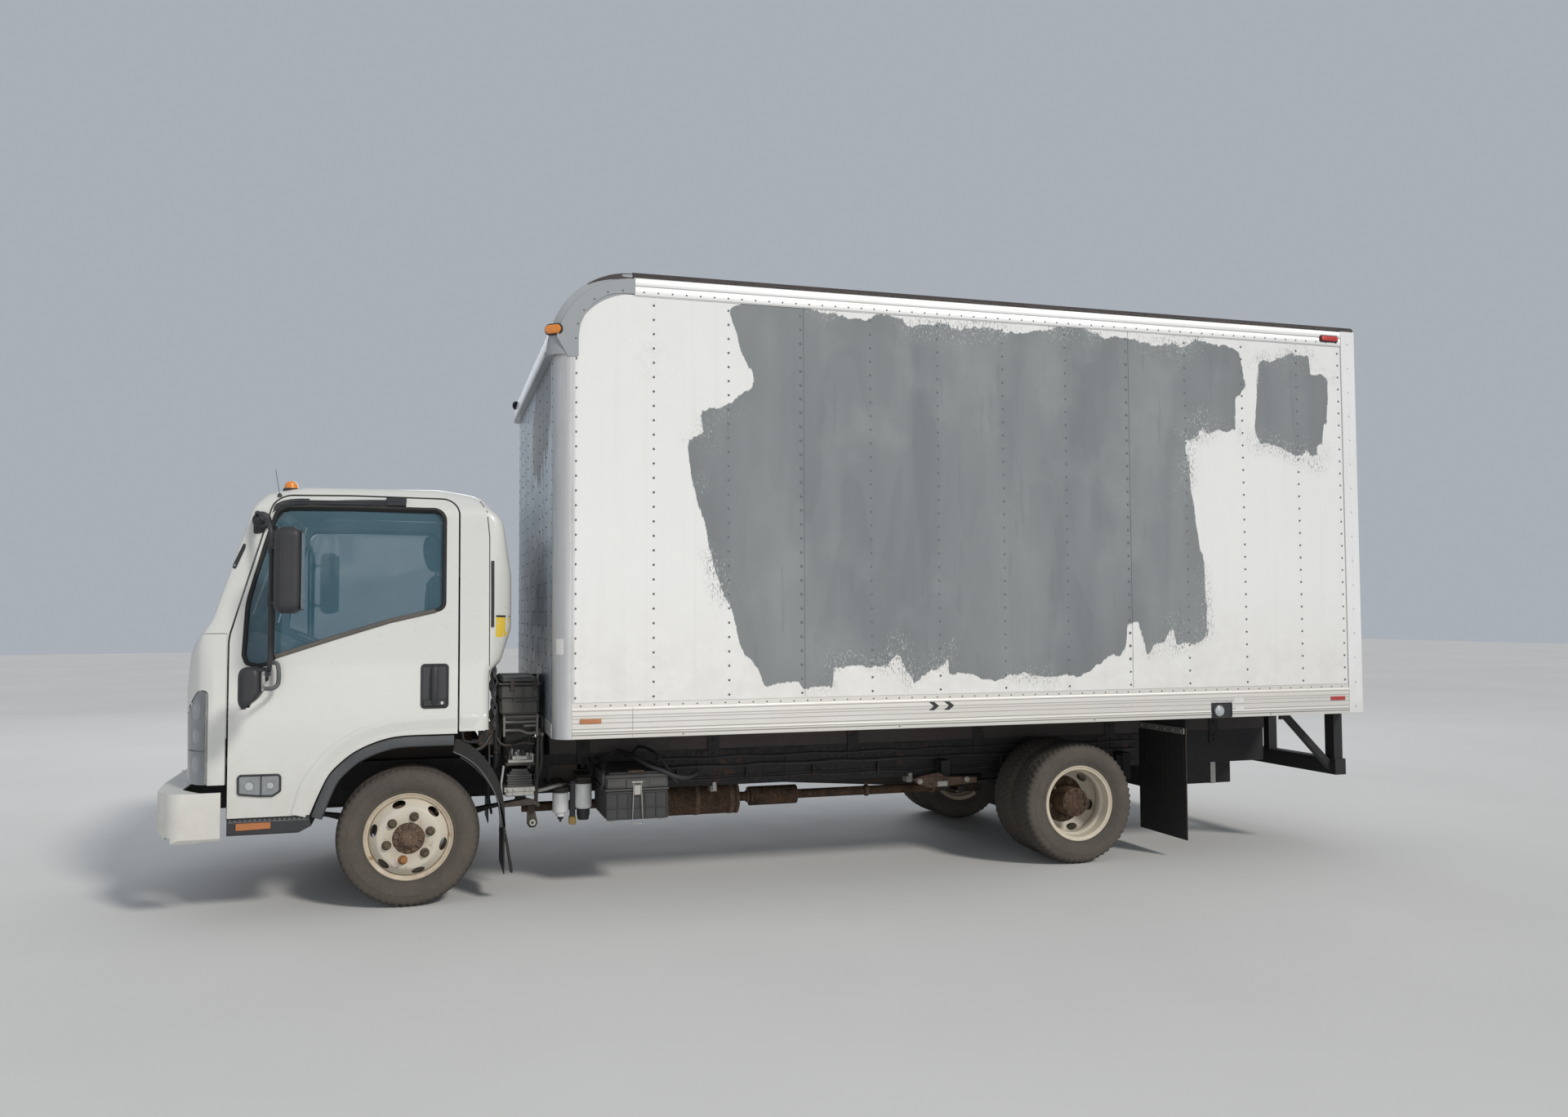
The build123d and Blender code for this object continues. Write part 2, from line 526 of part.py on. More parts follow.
save("box_lamps", lamps)

# ---------------------------------------------------------------------------
# cab: three crossed outlines give the outer form; the same form inset is its inside
# ---------------------------------------------------------------------------
CAB_SIDE = [  # (y, z) anticlockwise seen from the left: bottom edge first, then up the back
    (-1044, 350), (395, 350), (395, 1195), (455, 1245), (512, 1420), (512, 1700), (466, 1985), (345, 2122),
    (130, 2168), (-520, 2162), (-700, 2118), (-755, 2056), (-935, 1465), (-1040, 1330), (-1066, 1120)]
CAB_SIDE_R = [0, 0, 30, 60, 120, 160, 120, 150, 300, 150, 60, 60, 120, 150, 200]
CAB_FRONT = [  # (x, z) anticlockwise from the front's lower edge
    (-CAB_HALF, 340), (CAB_HALF, 340), (CAB_HALF, 1230), (935, 2040), (800, 2170), (-800, 2170), (-935, 2040), (-CAB_HALF, 1230)]
CAB_FRONT_R = [0, 0, 200, 90, 90, 90, 90, 200]
CAB_PLAN = [  # (x, y) anticlockwise
    (-850, -1068), (850, -1068), (CAB_HALF, -960), (CAB_HALF, 380), (850, 560), (-850, 560), (-CAB_HALF, 380), (-CAB_HALF, -960)]
CAB_PLAN_R = [100, 100, 110, 110, 60, 60, 110, 110]


def cab_form(d):
    a = side_plate(inset(CAB_SIDE, d), -1100, 1100, [max(r - d, 0) if r else 0 for r in CAB_SIDE_R])
    b = front_plate(inset(CAB_FRONT, d), -1200, 700, [max(r - d, 0) if r else 0 for r in CAB_FRONT_R])
    c = plan_plate(inset(CAB_PLAN, d), 400, 2300, [max(r - d, 0) if r else 0 for r in CAB_PLAN_R])
    return a & b & c


form_out = cab_form(0)
form_in = cab_form(CAB_T)
skin = form_out - form_in

# door outline in (y, z); the opening is this outline grown by the gap
DOOR = [(-846, DOOR_BOTTOM), (-470, DOOR_BOTTOM), (-385, 700), (-270, 805), (-110, 872), (20, 884), (236, 884), (236, 1940),
        (222, 2020), (182, 2072), (100, 2094), (-560, 2092), (-640, 2058), (-676, 1985), (-846, 1385)]
OPENING = [(-856, 470), (-440, 470), (-440, DOOR_BOTTOM - 6), (-372, 688), (-262, 795), (-106, 862), (20, 875), (248, 875), (248, 1942),
           (233, 2026), (189, 2082), (102, 2105), (-564, 2103), (-648, 2067), (-686, 1988), (-856, 1387)]
# window outline in (y, z), front quarter and main pane in one
WINDOW = [(-778, 1300), (-765, 1265), (-715, 1250), (-670, 1262), (-645, 1295), (-350, 1392), (-100, 1470), (130, 1523), (158, 1550), (163, 1990), (130, 2030),
          (-540, 2030), (-612, 2014), (-655, 1960), (-690, 1850), (-765, 1560)]

door_prism = side_plate(DOOR, 700, 1100)
opening_prism = side_plate(OPENING, 700, 1100)
window_prism = side_plate(WINDOW, 600, 1100)

upper = skin & block(-1100, 1100, -1200, 700, CAB_BOTTOM, 2300)
front_lower = block(-1100, 1100, -1200, -858, 665, 1408)
cab_shell = upper - opening_prism - flip(opening_prism) - front_lower
# back wall's lower edge, front posts run down to the floor
# windscreen and rear window openings in (x, z)
WINDSCREEN = [(-830, 1478), (830, 1478), (790, 2035), (-790, 2035)]
REAR_WINDOW = [(-620, 1480), (620, 1480), (600, 1900), (-600, 1900)]
cab_shell -= front_plate(WINDSCREEN, -1100, -600, 60)
cab_shell -= front_plate(REAR_WINDOW, 380, 600, 50)
solids = sorted(cab_shell.solids(), key=lambda s: s.volume)
save("cab_shell", solids[-1])

panel = skin & block(-1100, 1100, -1200, -859, 670, 1405)
lamp_zone = block(760, 1100, -1200, -930, 672, 1128)
lamp_gap = block(756, 1100, -1200, -926, 640, 1132)
headlamp = (form_out - cab_form(30)) & lamp_zone
save("headlamps", headlamp, flip(headlamp))
panel = panel - ((form_out - cab_form(31)) & lamp_gap) - ((form_out - cab_form(31)) & flip(lamp_gap))
# grille between the lamps: an opening with a slotted insert
GRILLE = [(-560, 860), (560, 860), (600, 1010), (-600, 1010)]
panel -= front_plate(GRILLE, -1200, -950, 25)
save("front_panel", sorted(panel.solids(), key=lambda s: s.volume)[-1])
grille = (cab_form(10) - cab_form(30)) & front_plate(inset(GRILLE, 0.5), -1200, -950, 25)
for z in (876, 912, 948, 984):
    for x0, x1 in ((-520, -30), (30, 520)):
        grille -= block(x0, x1, -1200, -950, z, z + 14)
save("front_grille", sorted(grille.solids(), key=lambda s: s.volume)[-1])

# glass panes lie in the middle of the wall
pane_skin = cab_form(16) - cab_form(22)
ws = pane_skin & front_plate(inset(WINDSCREEN, 0.5), -1100, -600, 60)
rw = (cab_form(20) - cab_form(25)) & front_plate(inset(REAR_WINDOW, 0.5), 380, 600, 50)
save("cab_glass", ws, rw)

# doors
door_solid = (skin & door_prism) - window_prism
save("left_door", sorted(door_solid.solids(), key=lambda s: s.volume)[-1])
save("right_door", flip(sorted(door_solid.solids(), key=lambda s: s.volume)[-1]))
pane = (cab_form(22) - cab_form(27)) & side_plate(inset(WINDOW, 0.5), 600, 1100)
pane = sorted(pane.solids(), key=lambda s: s.volume)[-1]
save("left_door_glass", pane)
save("right_door_glass", flip(pane))

# mirrors on the doors: main head, lower round-edged head, tube and brackets
mir = plan_plate([(1225, -604), (1395, -604), (1395, -524), (1225, -524)], 1502, 1912, 25)
mir += plan_plate([(1225, -743), (1375, -743), (1375, -663), (1225, -663)], 1068, 1250, 25)
mir += rod(10, (1150, -645, 1180), (1150, -645, 1955)) + rod(10, (1150, -645, 1945), (985, -705, 1945))
mir += rod(10, (1150, -645, 1200), (1012, -700, 1200)) + rod(9, (1150, -645, 1820), (1240, -574, 1820))
mir += rod(9, (1150, -645, 1560), (1240, -574, 1560)) + rod(9, (1150, -645, 1190), (1240, -690, 1190))
mir -= form_out
mir = sorted(mir.solids(), key=lambda s: s.volume)[-1]
save("left_mirror", mir)
save("right_mirror", flip(mir))

# cab floor: foot wells, engine cover, seat riser, wheel-arch liners, step boxes, tilt arms
T = 22
floor = plan_plate([(-820, -1003), (820, -1003), (948, -912), (948, -330), (-948, -330), (-948, -912)], 835, 857)
floor -= block(-392.2, 392.2, -902.2, -320, 820, 870)
for s in (1, -1):
    floor += block(s * 455 - 22, s * 455 + 22, PIVOT_Y - 10, -860, 795, 840)
    floor += rod_x(42, s * 455 - 22, s * 455 + 22, PIVOT_Y, PIVOT_Z)
for s in (1, -1):
    floor -= rod_x(PIVOT_R + 0.4, s * 455 - 30, s * 455 + 30, PIVOT_Y, PIVOT_Z)
save("cab_floor", sorted(floor.solids(), key=lambda s: s.volume)[-1])

# engine cover between the foot wells, running into the raised deck under the seats
cover = block(-392, -370, -902, -330, 835, 1045) + block(370, 392, -902, -330, 835, 1045)
cover += block(-392, 392, -902, -880, 835, 1045) + block(-392, 392, -902, -330, 1023, 1045)
cover += block(-948, 948, -352, -330, 857.2, 1060) - block(-370, 370, -360, -320, 830, 1023)
cover += block(-948, 948, -352, 343, 1038, 1060)
cover += block(926, 948, -352, 343, 900.2, 1060) + block(-948, -926, -352, 343, 900.2, 1060)
save("engine_cover", sorted(cover.solids(), key=lambda s: s.volume)[-1])

# wheel-arch liner, the boxed entry step ahead of it and the black step moulding under the door
wells = []
for s in (1, -1):
    liner = side_plate([(-462, 520), (-390, 690), (-310, 790), (-302, 834.8), (-270, 834.8), (-110, 882), (20, 900), (343, 900), (343, 892), (20, 892),
                        (-107, 874), (-286, 805), (-382, 686), (-454, 516)], 620, 948)
    well = liner + block(620, 642, -850, -400, 510, 834.8)
    well -= side_plate([(-454, 500), (-382, 686), (-286, 805), (-200, 838), (-200, 500)], 500, 1000)
    well += block(620, 948, -850, -460, 494, 522) + block(620, 948, -856, -840, 494, 834.8)
    well += side_plate([(-848, 420), (-520, 420), (-462, 450), (-470, 499.5), (-848, 499.5)], 640, 990)
    wells.append(well if s > 0 else flip(well))
save("step_wells", wells)

# steering column
COL_TOP, COL_DIR = (400.0, -560.0, 1335.0), (0.0, -0.42, -0.9075)
foot = tuple(COL_TOP[i] + COL_DIR[i] * 530 for i in range(3))
column = rod(32, foot, COL_TOP) - block(300, 500, -900, -500, 700, 857.2)
column -= block(300, 392.2, -902.2, -330, 800, 1045.2)
save("steering_column", column)

dash = side_plate([(-985, 1090), (-985, 1380), (-930, 1432), (-760, 1405), (-660, 1330), (-640, 1240), (-760, 1150)], -880, 880, [10, 10, 20, 40, 40, 20, 20])
dash = (dash & cab_form(56)) - rod(60, foot, COL_TOP)
save("dashboard", dash)

# steering wheel on the column's end
sw = Torus(212, 15) + Pos(0, 0, -14) * Cylinder(45, 36) + Box(414, 34, 12) + Pos(0, -105, 0) * Box(34, 200, 12)
wheel_plane = Plane(origin=(COL_TOP[0] - COL_DIR[0] * 33, COL_TOP[1] - COL_DIR[1] * 33, COL_TOP[2] - COL_DIR[2] * 33),
                    x_dir=(1, 0, 0), z_dir=(-COL_DIR[0], -COL_DIR[1], -COL_DIR[2]))
save("steering_wheel", wheel_plane * sw)

# driver's seat with a high back, and the bench beside it
seats = [side_plate([(-345, 1061), (46, 1061), (46, 1170), (-345, 1190)], 160, 640, [15, 10, 25, 35]),
         side_plate([(56, 1061), (150, 1061), (198, 1660), (170, 1740), (92, 1740), (72, 1600)], 165, 635, [10, 10, 30, 25, 20, 60])
         + side_plate([(86, 1722), (168, 1722), (186, 1840), (160, 1935), (100, 1950), (52, 1932), (47, 1850)], 250, 550, [0, 0, 40, 25, 25, 25, 30]),
         side_plate([(-300, 1061), (150, 1061), (150, 1170), (-300, 1190)], -860, -40, [15, 10, 25, 35]),
         side_plate([(158, 1061), (250, 1061), (332, 1700), (290, 1760), (230, 1740)], -855, -45, [10, 10, 30, 25, 30])]
save("cab_seats", seats)

# five amber lamps on the roof
roof_lamps = []
for x in (-760, -200, 0, 200, 760):
    z = 2166 if abs(x) < 500 else 2150
    roof_lamps.append(rod_z(34, x, -598 if abs(x) > 500 else -575, 2140, 2196))
lamp_set = []
for lamp in roof_lamps:
    lamp_set.append(lamp - form_out)
save("roof_lamps", lamp_set)
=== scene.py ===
import bpy, bmesh, math, json, random
import numpy as np
from mathutils import Vector, Matrix
from mathutils.bvhtree import BVHTree
from mathutils.geometry import delaunay_2d_cdt

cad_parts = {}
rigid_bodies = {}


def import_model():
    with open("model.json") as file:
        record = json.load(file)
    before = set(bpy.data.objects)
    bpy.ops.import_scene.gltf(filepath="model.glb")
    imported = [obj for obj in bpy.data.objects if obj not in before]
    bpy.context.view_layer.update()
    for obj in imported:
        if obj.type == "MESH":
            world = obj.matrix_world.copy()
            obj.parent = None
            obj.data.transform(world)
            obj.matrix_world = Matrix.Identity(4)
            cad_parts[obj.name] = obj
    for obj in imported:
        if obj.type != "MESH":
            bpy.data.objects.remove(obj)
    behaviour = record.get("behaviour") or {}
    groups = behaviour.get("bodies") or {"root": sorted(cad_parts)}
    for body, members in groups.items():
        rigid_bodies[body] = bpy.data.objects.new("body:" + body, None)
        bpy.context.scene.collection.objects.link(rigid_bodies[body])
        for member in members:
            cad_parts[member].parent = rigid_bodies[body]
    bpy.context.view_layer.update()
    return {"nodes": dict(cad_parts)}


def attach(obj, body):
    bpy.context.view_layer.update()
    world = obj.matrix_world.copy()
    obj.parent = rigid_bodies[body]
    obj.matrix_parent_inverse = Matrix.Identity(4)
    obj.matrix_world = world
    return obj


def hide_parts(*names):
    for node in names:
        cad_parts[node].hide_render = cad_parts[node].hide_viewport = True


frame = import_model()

NODES = frame["nodes"]
DY = 2.270          # numbers below give y from the front axle; meshes are written DY further forward
WB = 3.810          # rear axle
rnd = random.Random(23)

# ---------------------------------------------------------------------------------------------
# camera at the photograph's viewing angle (first, so that everything can be looked at)
# ---------------------------------------------------------------------------------------------
F_PX, W_PX = 1468.03, 1920
YAW, PITCH, ROLL = 0.292388, -0.044906, 0.004143


def rot3(rows):
    return Matrix(rows)


cy, sy = math.cos(YAW), math.sin(YAW)
cp, sp = math.cos(PITCH), math.sin(PITCH)
cr, sr = math.cos(ROLL), math.sin(ROLL)
LOOK = (rot3(((cr, -sr, 0), (sr, cr, 0), (0, 0, 1))) @ rot3(((1, 0, 0), (0, cp, -sp), (0, sp, cp)))
        @ rot3(((cy, 0, sy), (0, 1, 0), (-sy, 0, cy))) @ rot3(((0, 1, 0), (0, 0, 1), (1, 0, 0))))
cam_data = bpy.data.cameras.new("camera")
cam_data.sensor_width = 36.0
cam_data.sensor_fit = "HORIZONTAL"
cam_data.lens = F_PX * 36.0 / W_PX
cam = bpy.data.objects.new("camera", cam_data)
bpy.context.scene.collection.objects.link(cam)
cam.matrix_world = Matrix.Translation(Vector((7.41745, -2.20953, 1.49927))) @ LOOK.transposed().to_4x4()
bpy.context.scene.camera = cam


# ---------------------------------------------------------------------------------------------
# mesh building
# ---------------------------------------------------------------------------------------------
def unit(v):
    return Vector(v).normalized()


def frame_of(n):
    """Two directions across n."""
    n = unit(n)
    a = Vector((0, 0, 1)) if abs(n.z) < 0.9 else Vector((0, 1, 0))
    u = n.cross(a).normalized()
    return u, n.cross(u).normalized()


def spline(points, n=6, closed=False):
    """Catmull-Rom through the points."""
    p = [Vector(q) for q in points]
    k = len(p)
    out = []
    for i in range(k if closed else k - 1):
        p0 = p[(i - 1) % k] if closed or i > 0 else p[0] * 2 - p[1]
        p1, p2 = p[i], p[(i + 1) % k]
        p3 = p[(i + 2) % k] if closed or i + 2 < k else p[-1] * 2 - p[-2]
        for j in range(n):
            t = j / n
            out.append(0.5 * ((2 * p1) + (p2 - p0) * t + (2 * p0 - 5 * p1 + 4 * p2 - p3) * t * t + (3 * p1 - p0 - 3 * p2 + p3) * t ** 3))
    if not closed:
        out.append(p[-1])
    return out


def rounded(points, r, n=5):
    """Corners of a closed 2-D outline rounded by radius r (a number or one per corner)."""
    k = len(points)
    out = []
    for i in range(k):
        ri = r[i] if isinstance(r, (list, tuple)) else r
        p = Vector(points[i]); a = Vector(points[i - 1]) - p; b = Vector(points[(i + 1) % k]) - p
        if ri <= 0 or a.length < 1e-9 or b.length < 1e-9:
            out.append(tuple(p)); continue
        ang = a.angle(b)
        if ang > math.pi - 0.02:
            out.append(tuple(p)); continue
        d = min(ri / math.tan(ang / 2), a.length * 0.49, b.length * 0.49)
        rr = d * math.tan(ang / 2)
        c = p + (a.normalized() + b.normalized()).normalized() * (rr / math.sin(ang / 2))
        s, e = p + a.normalized() * d - c, p + b.normalized() * d - c
        for j in range(n + 1):
            v = s.lerp(e, j / n)
            out.append(tuple(c + v.normalized() * rr))
    return out


def offset(points, d):
    """Closed anticlockwise 2-D outline moved inwards by d."""
    n = len(points)
    out = []
    for i in range(n):
        p0, p1, p2 = Vector(points[i - 1]), Vector(points[i]), Vector(points[(i + 1) % n])
        a, b = (p1 - p0), (p2 - p1)
        if a.length < 1e-9 or b.length < 1e-9:
            out.append(tuple(p1)); continue
        na, nb = Vector((-a.y, a.x)).normalized(), Vector((-b.y, b.x)).normalized()
        m = na + nb
        if m.length < 1e-6:
            out.append(tuple(p1)); continue
        m.normalize()
        out.append(tuple(p1 + m * (d / max(0.35, m.dot(na)))))
    return out


def area2(points):
    return 0.5 * sum(points[i - 1][0] * points[i][1] - points[i][0] * points[i - 1][1] for i in range(len(points)))


class Mesh:
    """Collects closed shells; y is given from the front axle."""

    def __init__(self):
        self.v, self.f, self.m, self.slot = [], [], [], 0

    def use(self, slot):
        self.slot = slot
        return self

    def add(self, verts, faces):
        n = len(self.v)
        self.v += [tuple(p) for p in verts]
        for f in faces:
            self.f.append(tuple(n + i for i in f)); self.m.append(self.slot)
        return n

    def box(self, x0, x1, y0, y1, z0, z1, b=0.002, at=None):
        lo, hi = (min(x0, x1), min(y0, y1), min(z0, z1)), (max(x0, x1), max(y0, y1), max(z0, z1))
        b = min([b] + [(hi[i] - lo[i]) * 0.45 for i in range(3)])
        vs, ix = [], {}
        for i in (0, 1):
            for j in (0, 1):
                for k in (0, 1):
                    c = (i, j, k)
                    for a in range(3):
                        p = [hi[q] if c[q] else lo[q] for q in range(3)]
                        for q in range(3):
                            if q != a:
                                p[q] += -b if c[q] else b
                        ix[(c, a)] = len(vs); vs.append(Vector(p))
        fs = []
        for a in range(3):
            p, q = [t for t in range(3) if t != a]
            for s in (0, 1):
                ring = []
                for u, w in ((0, 0), (1, 0), (1, 1), (0, 1)):
                    c = [0, 0, 0]; c[a] = s; c[p] = u; c[q] = w
                    ring.append(ix[(tuple(c), a)])
                fs.append(ring)
            for u in (0, 1):
                for w in (0, 1):
                    c0 = [0, 0, 0]; c0[p] = u; c0[q] = w; c1 = list(c0); c1[a] = 1
                    c0, c1 = tuple(c0), tuple(c1)
                    fs.append([ix[(c0, p)], ix[(c1, p)], ix[(c1, q)], ix[(c0, q)]])
        for i in (0, 1):
            for j in (0, 1):
                for k in (0, 1):
                    fs.append([ix[((i, j, k), 0)], ix[((i, j, k), 1)], ix[((i, j, k), 2)]])
        if at is not None:
            vs = [at @ v for v in vs]
        self.add(vs, fs)
        return self

    def prism(self, outline, axis, a0, a1, b=0.0015, at=None):
        """2-D outline made thick along an axis: x takes (y, z), y takes (x, z), z takes (x, y)."""
        pts = [tuple(p)[:2] for p in outline]
        if area2(pts) < 0:
            pts.reverse()
        n = len(pts)
        a0, a1 = min(a0, a1), max(a0, a1)
        b = min(b, (a1 - a0) * 0.45)

        def put(p, a):
            return {"x": (a, p[0], p[1]), "y": (p[0], a, p[1]), "z": (p[0], p[1], a)}[axis]
        rings = []
        if b > 0:
            small = offset(pts, b)
            rings = [(small, a0), (pts, a0 + b), (pts, a1 - b), (small, a1)]
        else:
            rings = [(pts, a0), (pts, a1)]
        vs = [Vector(put(p, a)) for ring, a in rings for p in ring]
        fs = [list(range(n))[::-1], list(range((len(rings) - 1) * n, len(rings) * n))]
        for k in range(len(rings) - 1):
            for i in range(n):
                j = (i + 1) % n
                fs.append([k * n + i, k * n + j, (k + 1) * n + j, (k + 1) * n + i])
        if at is not None:
            vs = [at @ v for v in vs]
        self.add(vs, fs)
        return self

    def lathe(self, profile, centre, axis="x", n=48, closed=True, side=1, squash=None):
        """profile rows (along the axis, radius) turned about the axis through centre."""
        cx, cyy, cz = centre
        prof = list(profile)
        m = len(prof)
        vs = []
        for i in range(n):
            a = 2 * math.pi * i / n
            for t, r in prof:
                u, w = r * math.sin(a), r * math.cos(a)
                if axis == "x":
                    vs.append((cx + side * t, cyy + u, cz + w))
                elif axis == "y":
                    vs.append((cx + u, cyy + side * t, cz + w))
                else:
                    vs.append((cx + u, cyy + w, cz + side * t))
        fs = []
        for i in range(n):
            j = (i + 1) % n
            for k in range(m if closed else m - 1):
                l = (k + 1) % m
                if prof[k][1] < 1e-7 and prof[l][1] < 1e-7:
                    continue
                fs.append([i * m + k, i * m + l, j * m + l, j * m + k])
        self.add(vs, fs)
        return self

    def tube(self, points, r, n=10, closed=False, cap=True, flat=None):
        """Round (or flat=(w, h) oval) bar along the points."""
        p = [Vector(q) for q in points]
        k = len(p)
        rs = r if isinstance(r, (list, tuple)) else [r] * k
        tang = []
        for i in range(k):
            a = p[i] - p[i - 1] if (i > 0 or closed) else p[1] - p[0]
            b = p[(i + 1) % k] - p[i] if (i < k - 1 or closed) else p[-1] - p[-2]
            t = a.normalized() + b.normalized()
            tang.append(t.normalized() if t.length > 1e-6 else a.normalized())
        u, w = frame_of(tang[0])
        vs = []
        for i in range(k):
            if i:
                q = tang[i - 1].rotation_difference(tang[i])
                u = (q @ u).normalized(); w = tang[i].cross(u).normalized()
            for j in range(n):
                a = 2 * math.pi * j / n
                fu, fw = (rs[i], rs[i]) if flat is None else (flat[0] / 2, flat[1] / 2)
                vs.append(p[i] + u * (fu * math.cos(a)) + w * (fw * math.sin(a)))
        fs = []
        for i in range(k if closed else k - 1):
            i2 = (i + 1) % k
            for j in range(n):
                j2 = (j + 1) % n
                fs.append([i * n + j, i * n + j2, i2 * n + j2, i2 * n + j])
        if cap and not closed:
            fs.append(list(range(n))[::-1])
            fs.append([(k - 1) * n + j for j in range(n)])
        self.add(vs, fs)
        return self

    def rivet(self, c, n, r=0.0048, h=0.0022, seg=8):
        c, n = Vector(c), unit(n)
        u, w = frame_of(n)
        vs = []
        for rr, hh in ((r, -0.0004), (r * 0.92, h * 0.45), (r * 0.55, h * 0.9)):
            for j in range(seg):
                a = 2 * math.pi * j / seg
                vs.append(c + u * (rr * math.cos(a)) + w * (rr * math.sin(a)) + n * hh)
        vs.append(c + n * h)
        fs = [list(range(seg))[::-1]]
        for k in (0, 1):
            for j in range(seg):
                fs.append([k * seg + j, k * seg + (j + 1) % seg, (k + 1) * seg + (j + 1) % seg, (k + 1) * seg + j])
        for j in range(seg):
            fs.append([2 * seg + j, 2 * seg + (j + 1) % seg, 3 * seg])
        self.add(vs, fs)
        return self

    def bolt(self, c, n, r=0.009, h=0.008, washer=True, turn=0.0, stud=0.0):
        """Hexagon head with a chamfered top, on a washer; stud adds a threaded end."""
        c, n = Vector(c), unit(n)
        u, w = frame_of(n)

        def ring(rr, hh, k, t0):
            return [c + u * (rr * math.cos(2 * math.pi * j / k + t0)) + w * (rr * math.sin(2 * math.pi * j / k + t0)) + n * hh for j in range(k)]

        def stack(rings):
            k = len(rings[0]); vs = [p for g in rings for p in g]
            fs = [list(range(k))[::-1], [(len(rings) - 1) * k + j for j in range(k)]]
            for q in range(len(rings) - 1):
                for j in range(k):
                    fs.append([q * k + j, q * k + (j + 1) % k, (q + 1) * k + (j + 1) % k, (q + 1) * k + j])
            self.add(vs, fs)
        h0 = 0.0
        if washer:
            stack([ring(r * 1.45, -0.0005, 16, 0), ring(r * 1.45, h * 0.16, 16, 0), ring(r * 1.38, h * 0.22, 16, 0)])
            h0 = h * 0.2
        stack([ring(r, h0, 6, turn), ring(r, h0 + h * 0.85, 6, turn), ring(r * 0.86, h0 + h, 6, turn)])
        if stud:
            stack([ring(r * 0.55, h0, 12, 0), ring(r * 0.55, h0 + h + stud * 0.85, 12, 0), ring(r * 0.45, h0 + h + stud, 12, 0)])
        return self

    def disc(self, c, n, r, h, seg=24, b=0.001):
        c, n = Vector(c), unit(n)
        u, w = frame_of(n)
        rings = []
        for rr, hh in ((r - b, 0), (r, b), (r, h - b), (r - b, h)):
            rings.append([c + u * (rr * math.cos(2 * math.pi * j / seg)) + w * (rr * math.sin(2 * math.pi * j / seg)) + n * hh for j in range(seg)])
        vs = [p for g in rings for p in g]
        fs = [list(range(seg))[::-1], [3 * seg + j for j in range(seg)]]
        for q in range(3):
            for j in range(seg):
                fs.append([q * seg + j, q * seg + (j + 1) % seg, (q + 1) * seg + (j + 1) % seg, (q + 1) * seg + j])
        self.add(vs, fs)
        return self

    def grid(self, rows, thick=0.0):
        """rows: list of equal lists of points. thick > 0 closes it into a sheet (points pushed back along normals)."""
        nu, nv = len(rows), len(rows[0])
        P = [[Vector(p) for p in row] for row in rows]
        top = [p for row in P for p in row]
        fs = []
        for i in range(nu - 1):
            for j in range(nv - 1):
                fs.append([i * nv + j, (i + 1) * nv + j, (i + 1) * nv + j + 1, i * nv + j + 1])
        if not thick:
            self.add(top, fs)
            return self
        back = []
        for i in range(nu):
            for j in range(nv):
                a = P[min(i + 1, nu - 1)][j] - P[max(i - 1, 0)][j]
                b = P[i][min(j + 1, nv - 1)] - P[i][max(j - 1, 0)]
                nn = a.cross(b)
                nn = nn.normalized() if nn.length > 1e-12 else Vector((0, 0, 1))
                back.append(P[i][j] - nn * thick)
        k = nu * nv
        vs = top + back
        fs2 = [[k + q for q in f[::-1]] for f in fs]
        edge = [i * nv for i in range(nu)] + [(nu - 1) * nv + j for j in range(1, nv)] + [i * nv + nv - 1 for i in range(nu - 2, -1, -1)] + [j for j in range(nv - 2, 0, -1)]
        for a, b in zip(edge, edge[1:] + edge[:1]):
            fs2.append([a, b, k + b, k + a])
        self.add(vs, fs + fs2)
        return self

    def flipped(self):
        m = Mesh()
        m.v = [(-x, y, z) for x, y, z in self.v]
        m.f = [tuple(reversed(f)) for f in self.f]
        m.m = list(self.m)
        return m

    def plus(self, other):
        n = len(self.v)
        self.v += other.v
        self.f += [tuple(n + i for i in f) for f in other.f]
        self.m += other.m
        return self

    def both(self):
        return self.plus(self.flipped())


def piece(name, mesh, body, mats, angle=38, replaces=(), weld=0.0, fix=True, smooth=True):
    me = bpy.data.meshes.new(name)
    me.from_pydata([(x, y - DY, z) for x, y, z in mesh.v], [], mesh.f)
    mats = mats if isinstance(mats, (list, tuple)) else [mats]
    for m in mats:
        me.materials.append(m)
    if len(mats) > 1:
        me.polygons.foreach_set("material_index", mesh.m)
    if fix or weld:
        bm = bmesh.new(); bm.from_mesh(me)
        if weld:
            bmesh.ops.remove_doubles(bm, verts=bm.verts, dist=weld)
        if fix:
            bmesh.ops.recalc_face_normals(bm, faces=bm.faces)
        bm.to_mesh(me); bm.free()
    me.update()
    if smooth:
        me.shade_smooth()
        me.set_sharp_from_angle(angle=math.radians(angle))
    o = bpy.data.objects.new(name, me)
    bpy.context.scene.collection.objects.link(o)
    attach(o, body)
    if replaces:
        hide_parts(*replaces)
    return o


VIS = {}


def tree_of(*names):
    vs, fs = [], []
    for n in names:
        me = (VIS[n] if n in VIS else NODES[n]).data
        k = len(vs)
        vs += [v.co.copy() for v in me.vertices]
        fs += [[k + i for i in p.vertices] for p in me.polygons]
    return BVHTree.FromPolygons(vs, fs)


def hit(tree, origin, direction, far=6.0):
    """First point and normal on a tree, y from the front axle on both sides of the call."""
    o = Vector(origin); o.y -= DY
    r = tree.ray_cast(o, unit(direction), far)
    if r[0] is None:
        return None, None
    p = r[0].copy(); p.y += DY
    n = r[1].copy()
    if n.dot(Vector(direction)) > 0:
        n = -n
    return p, n


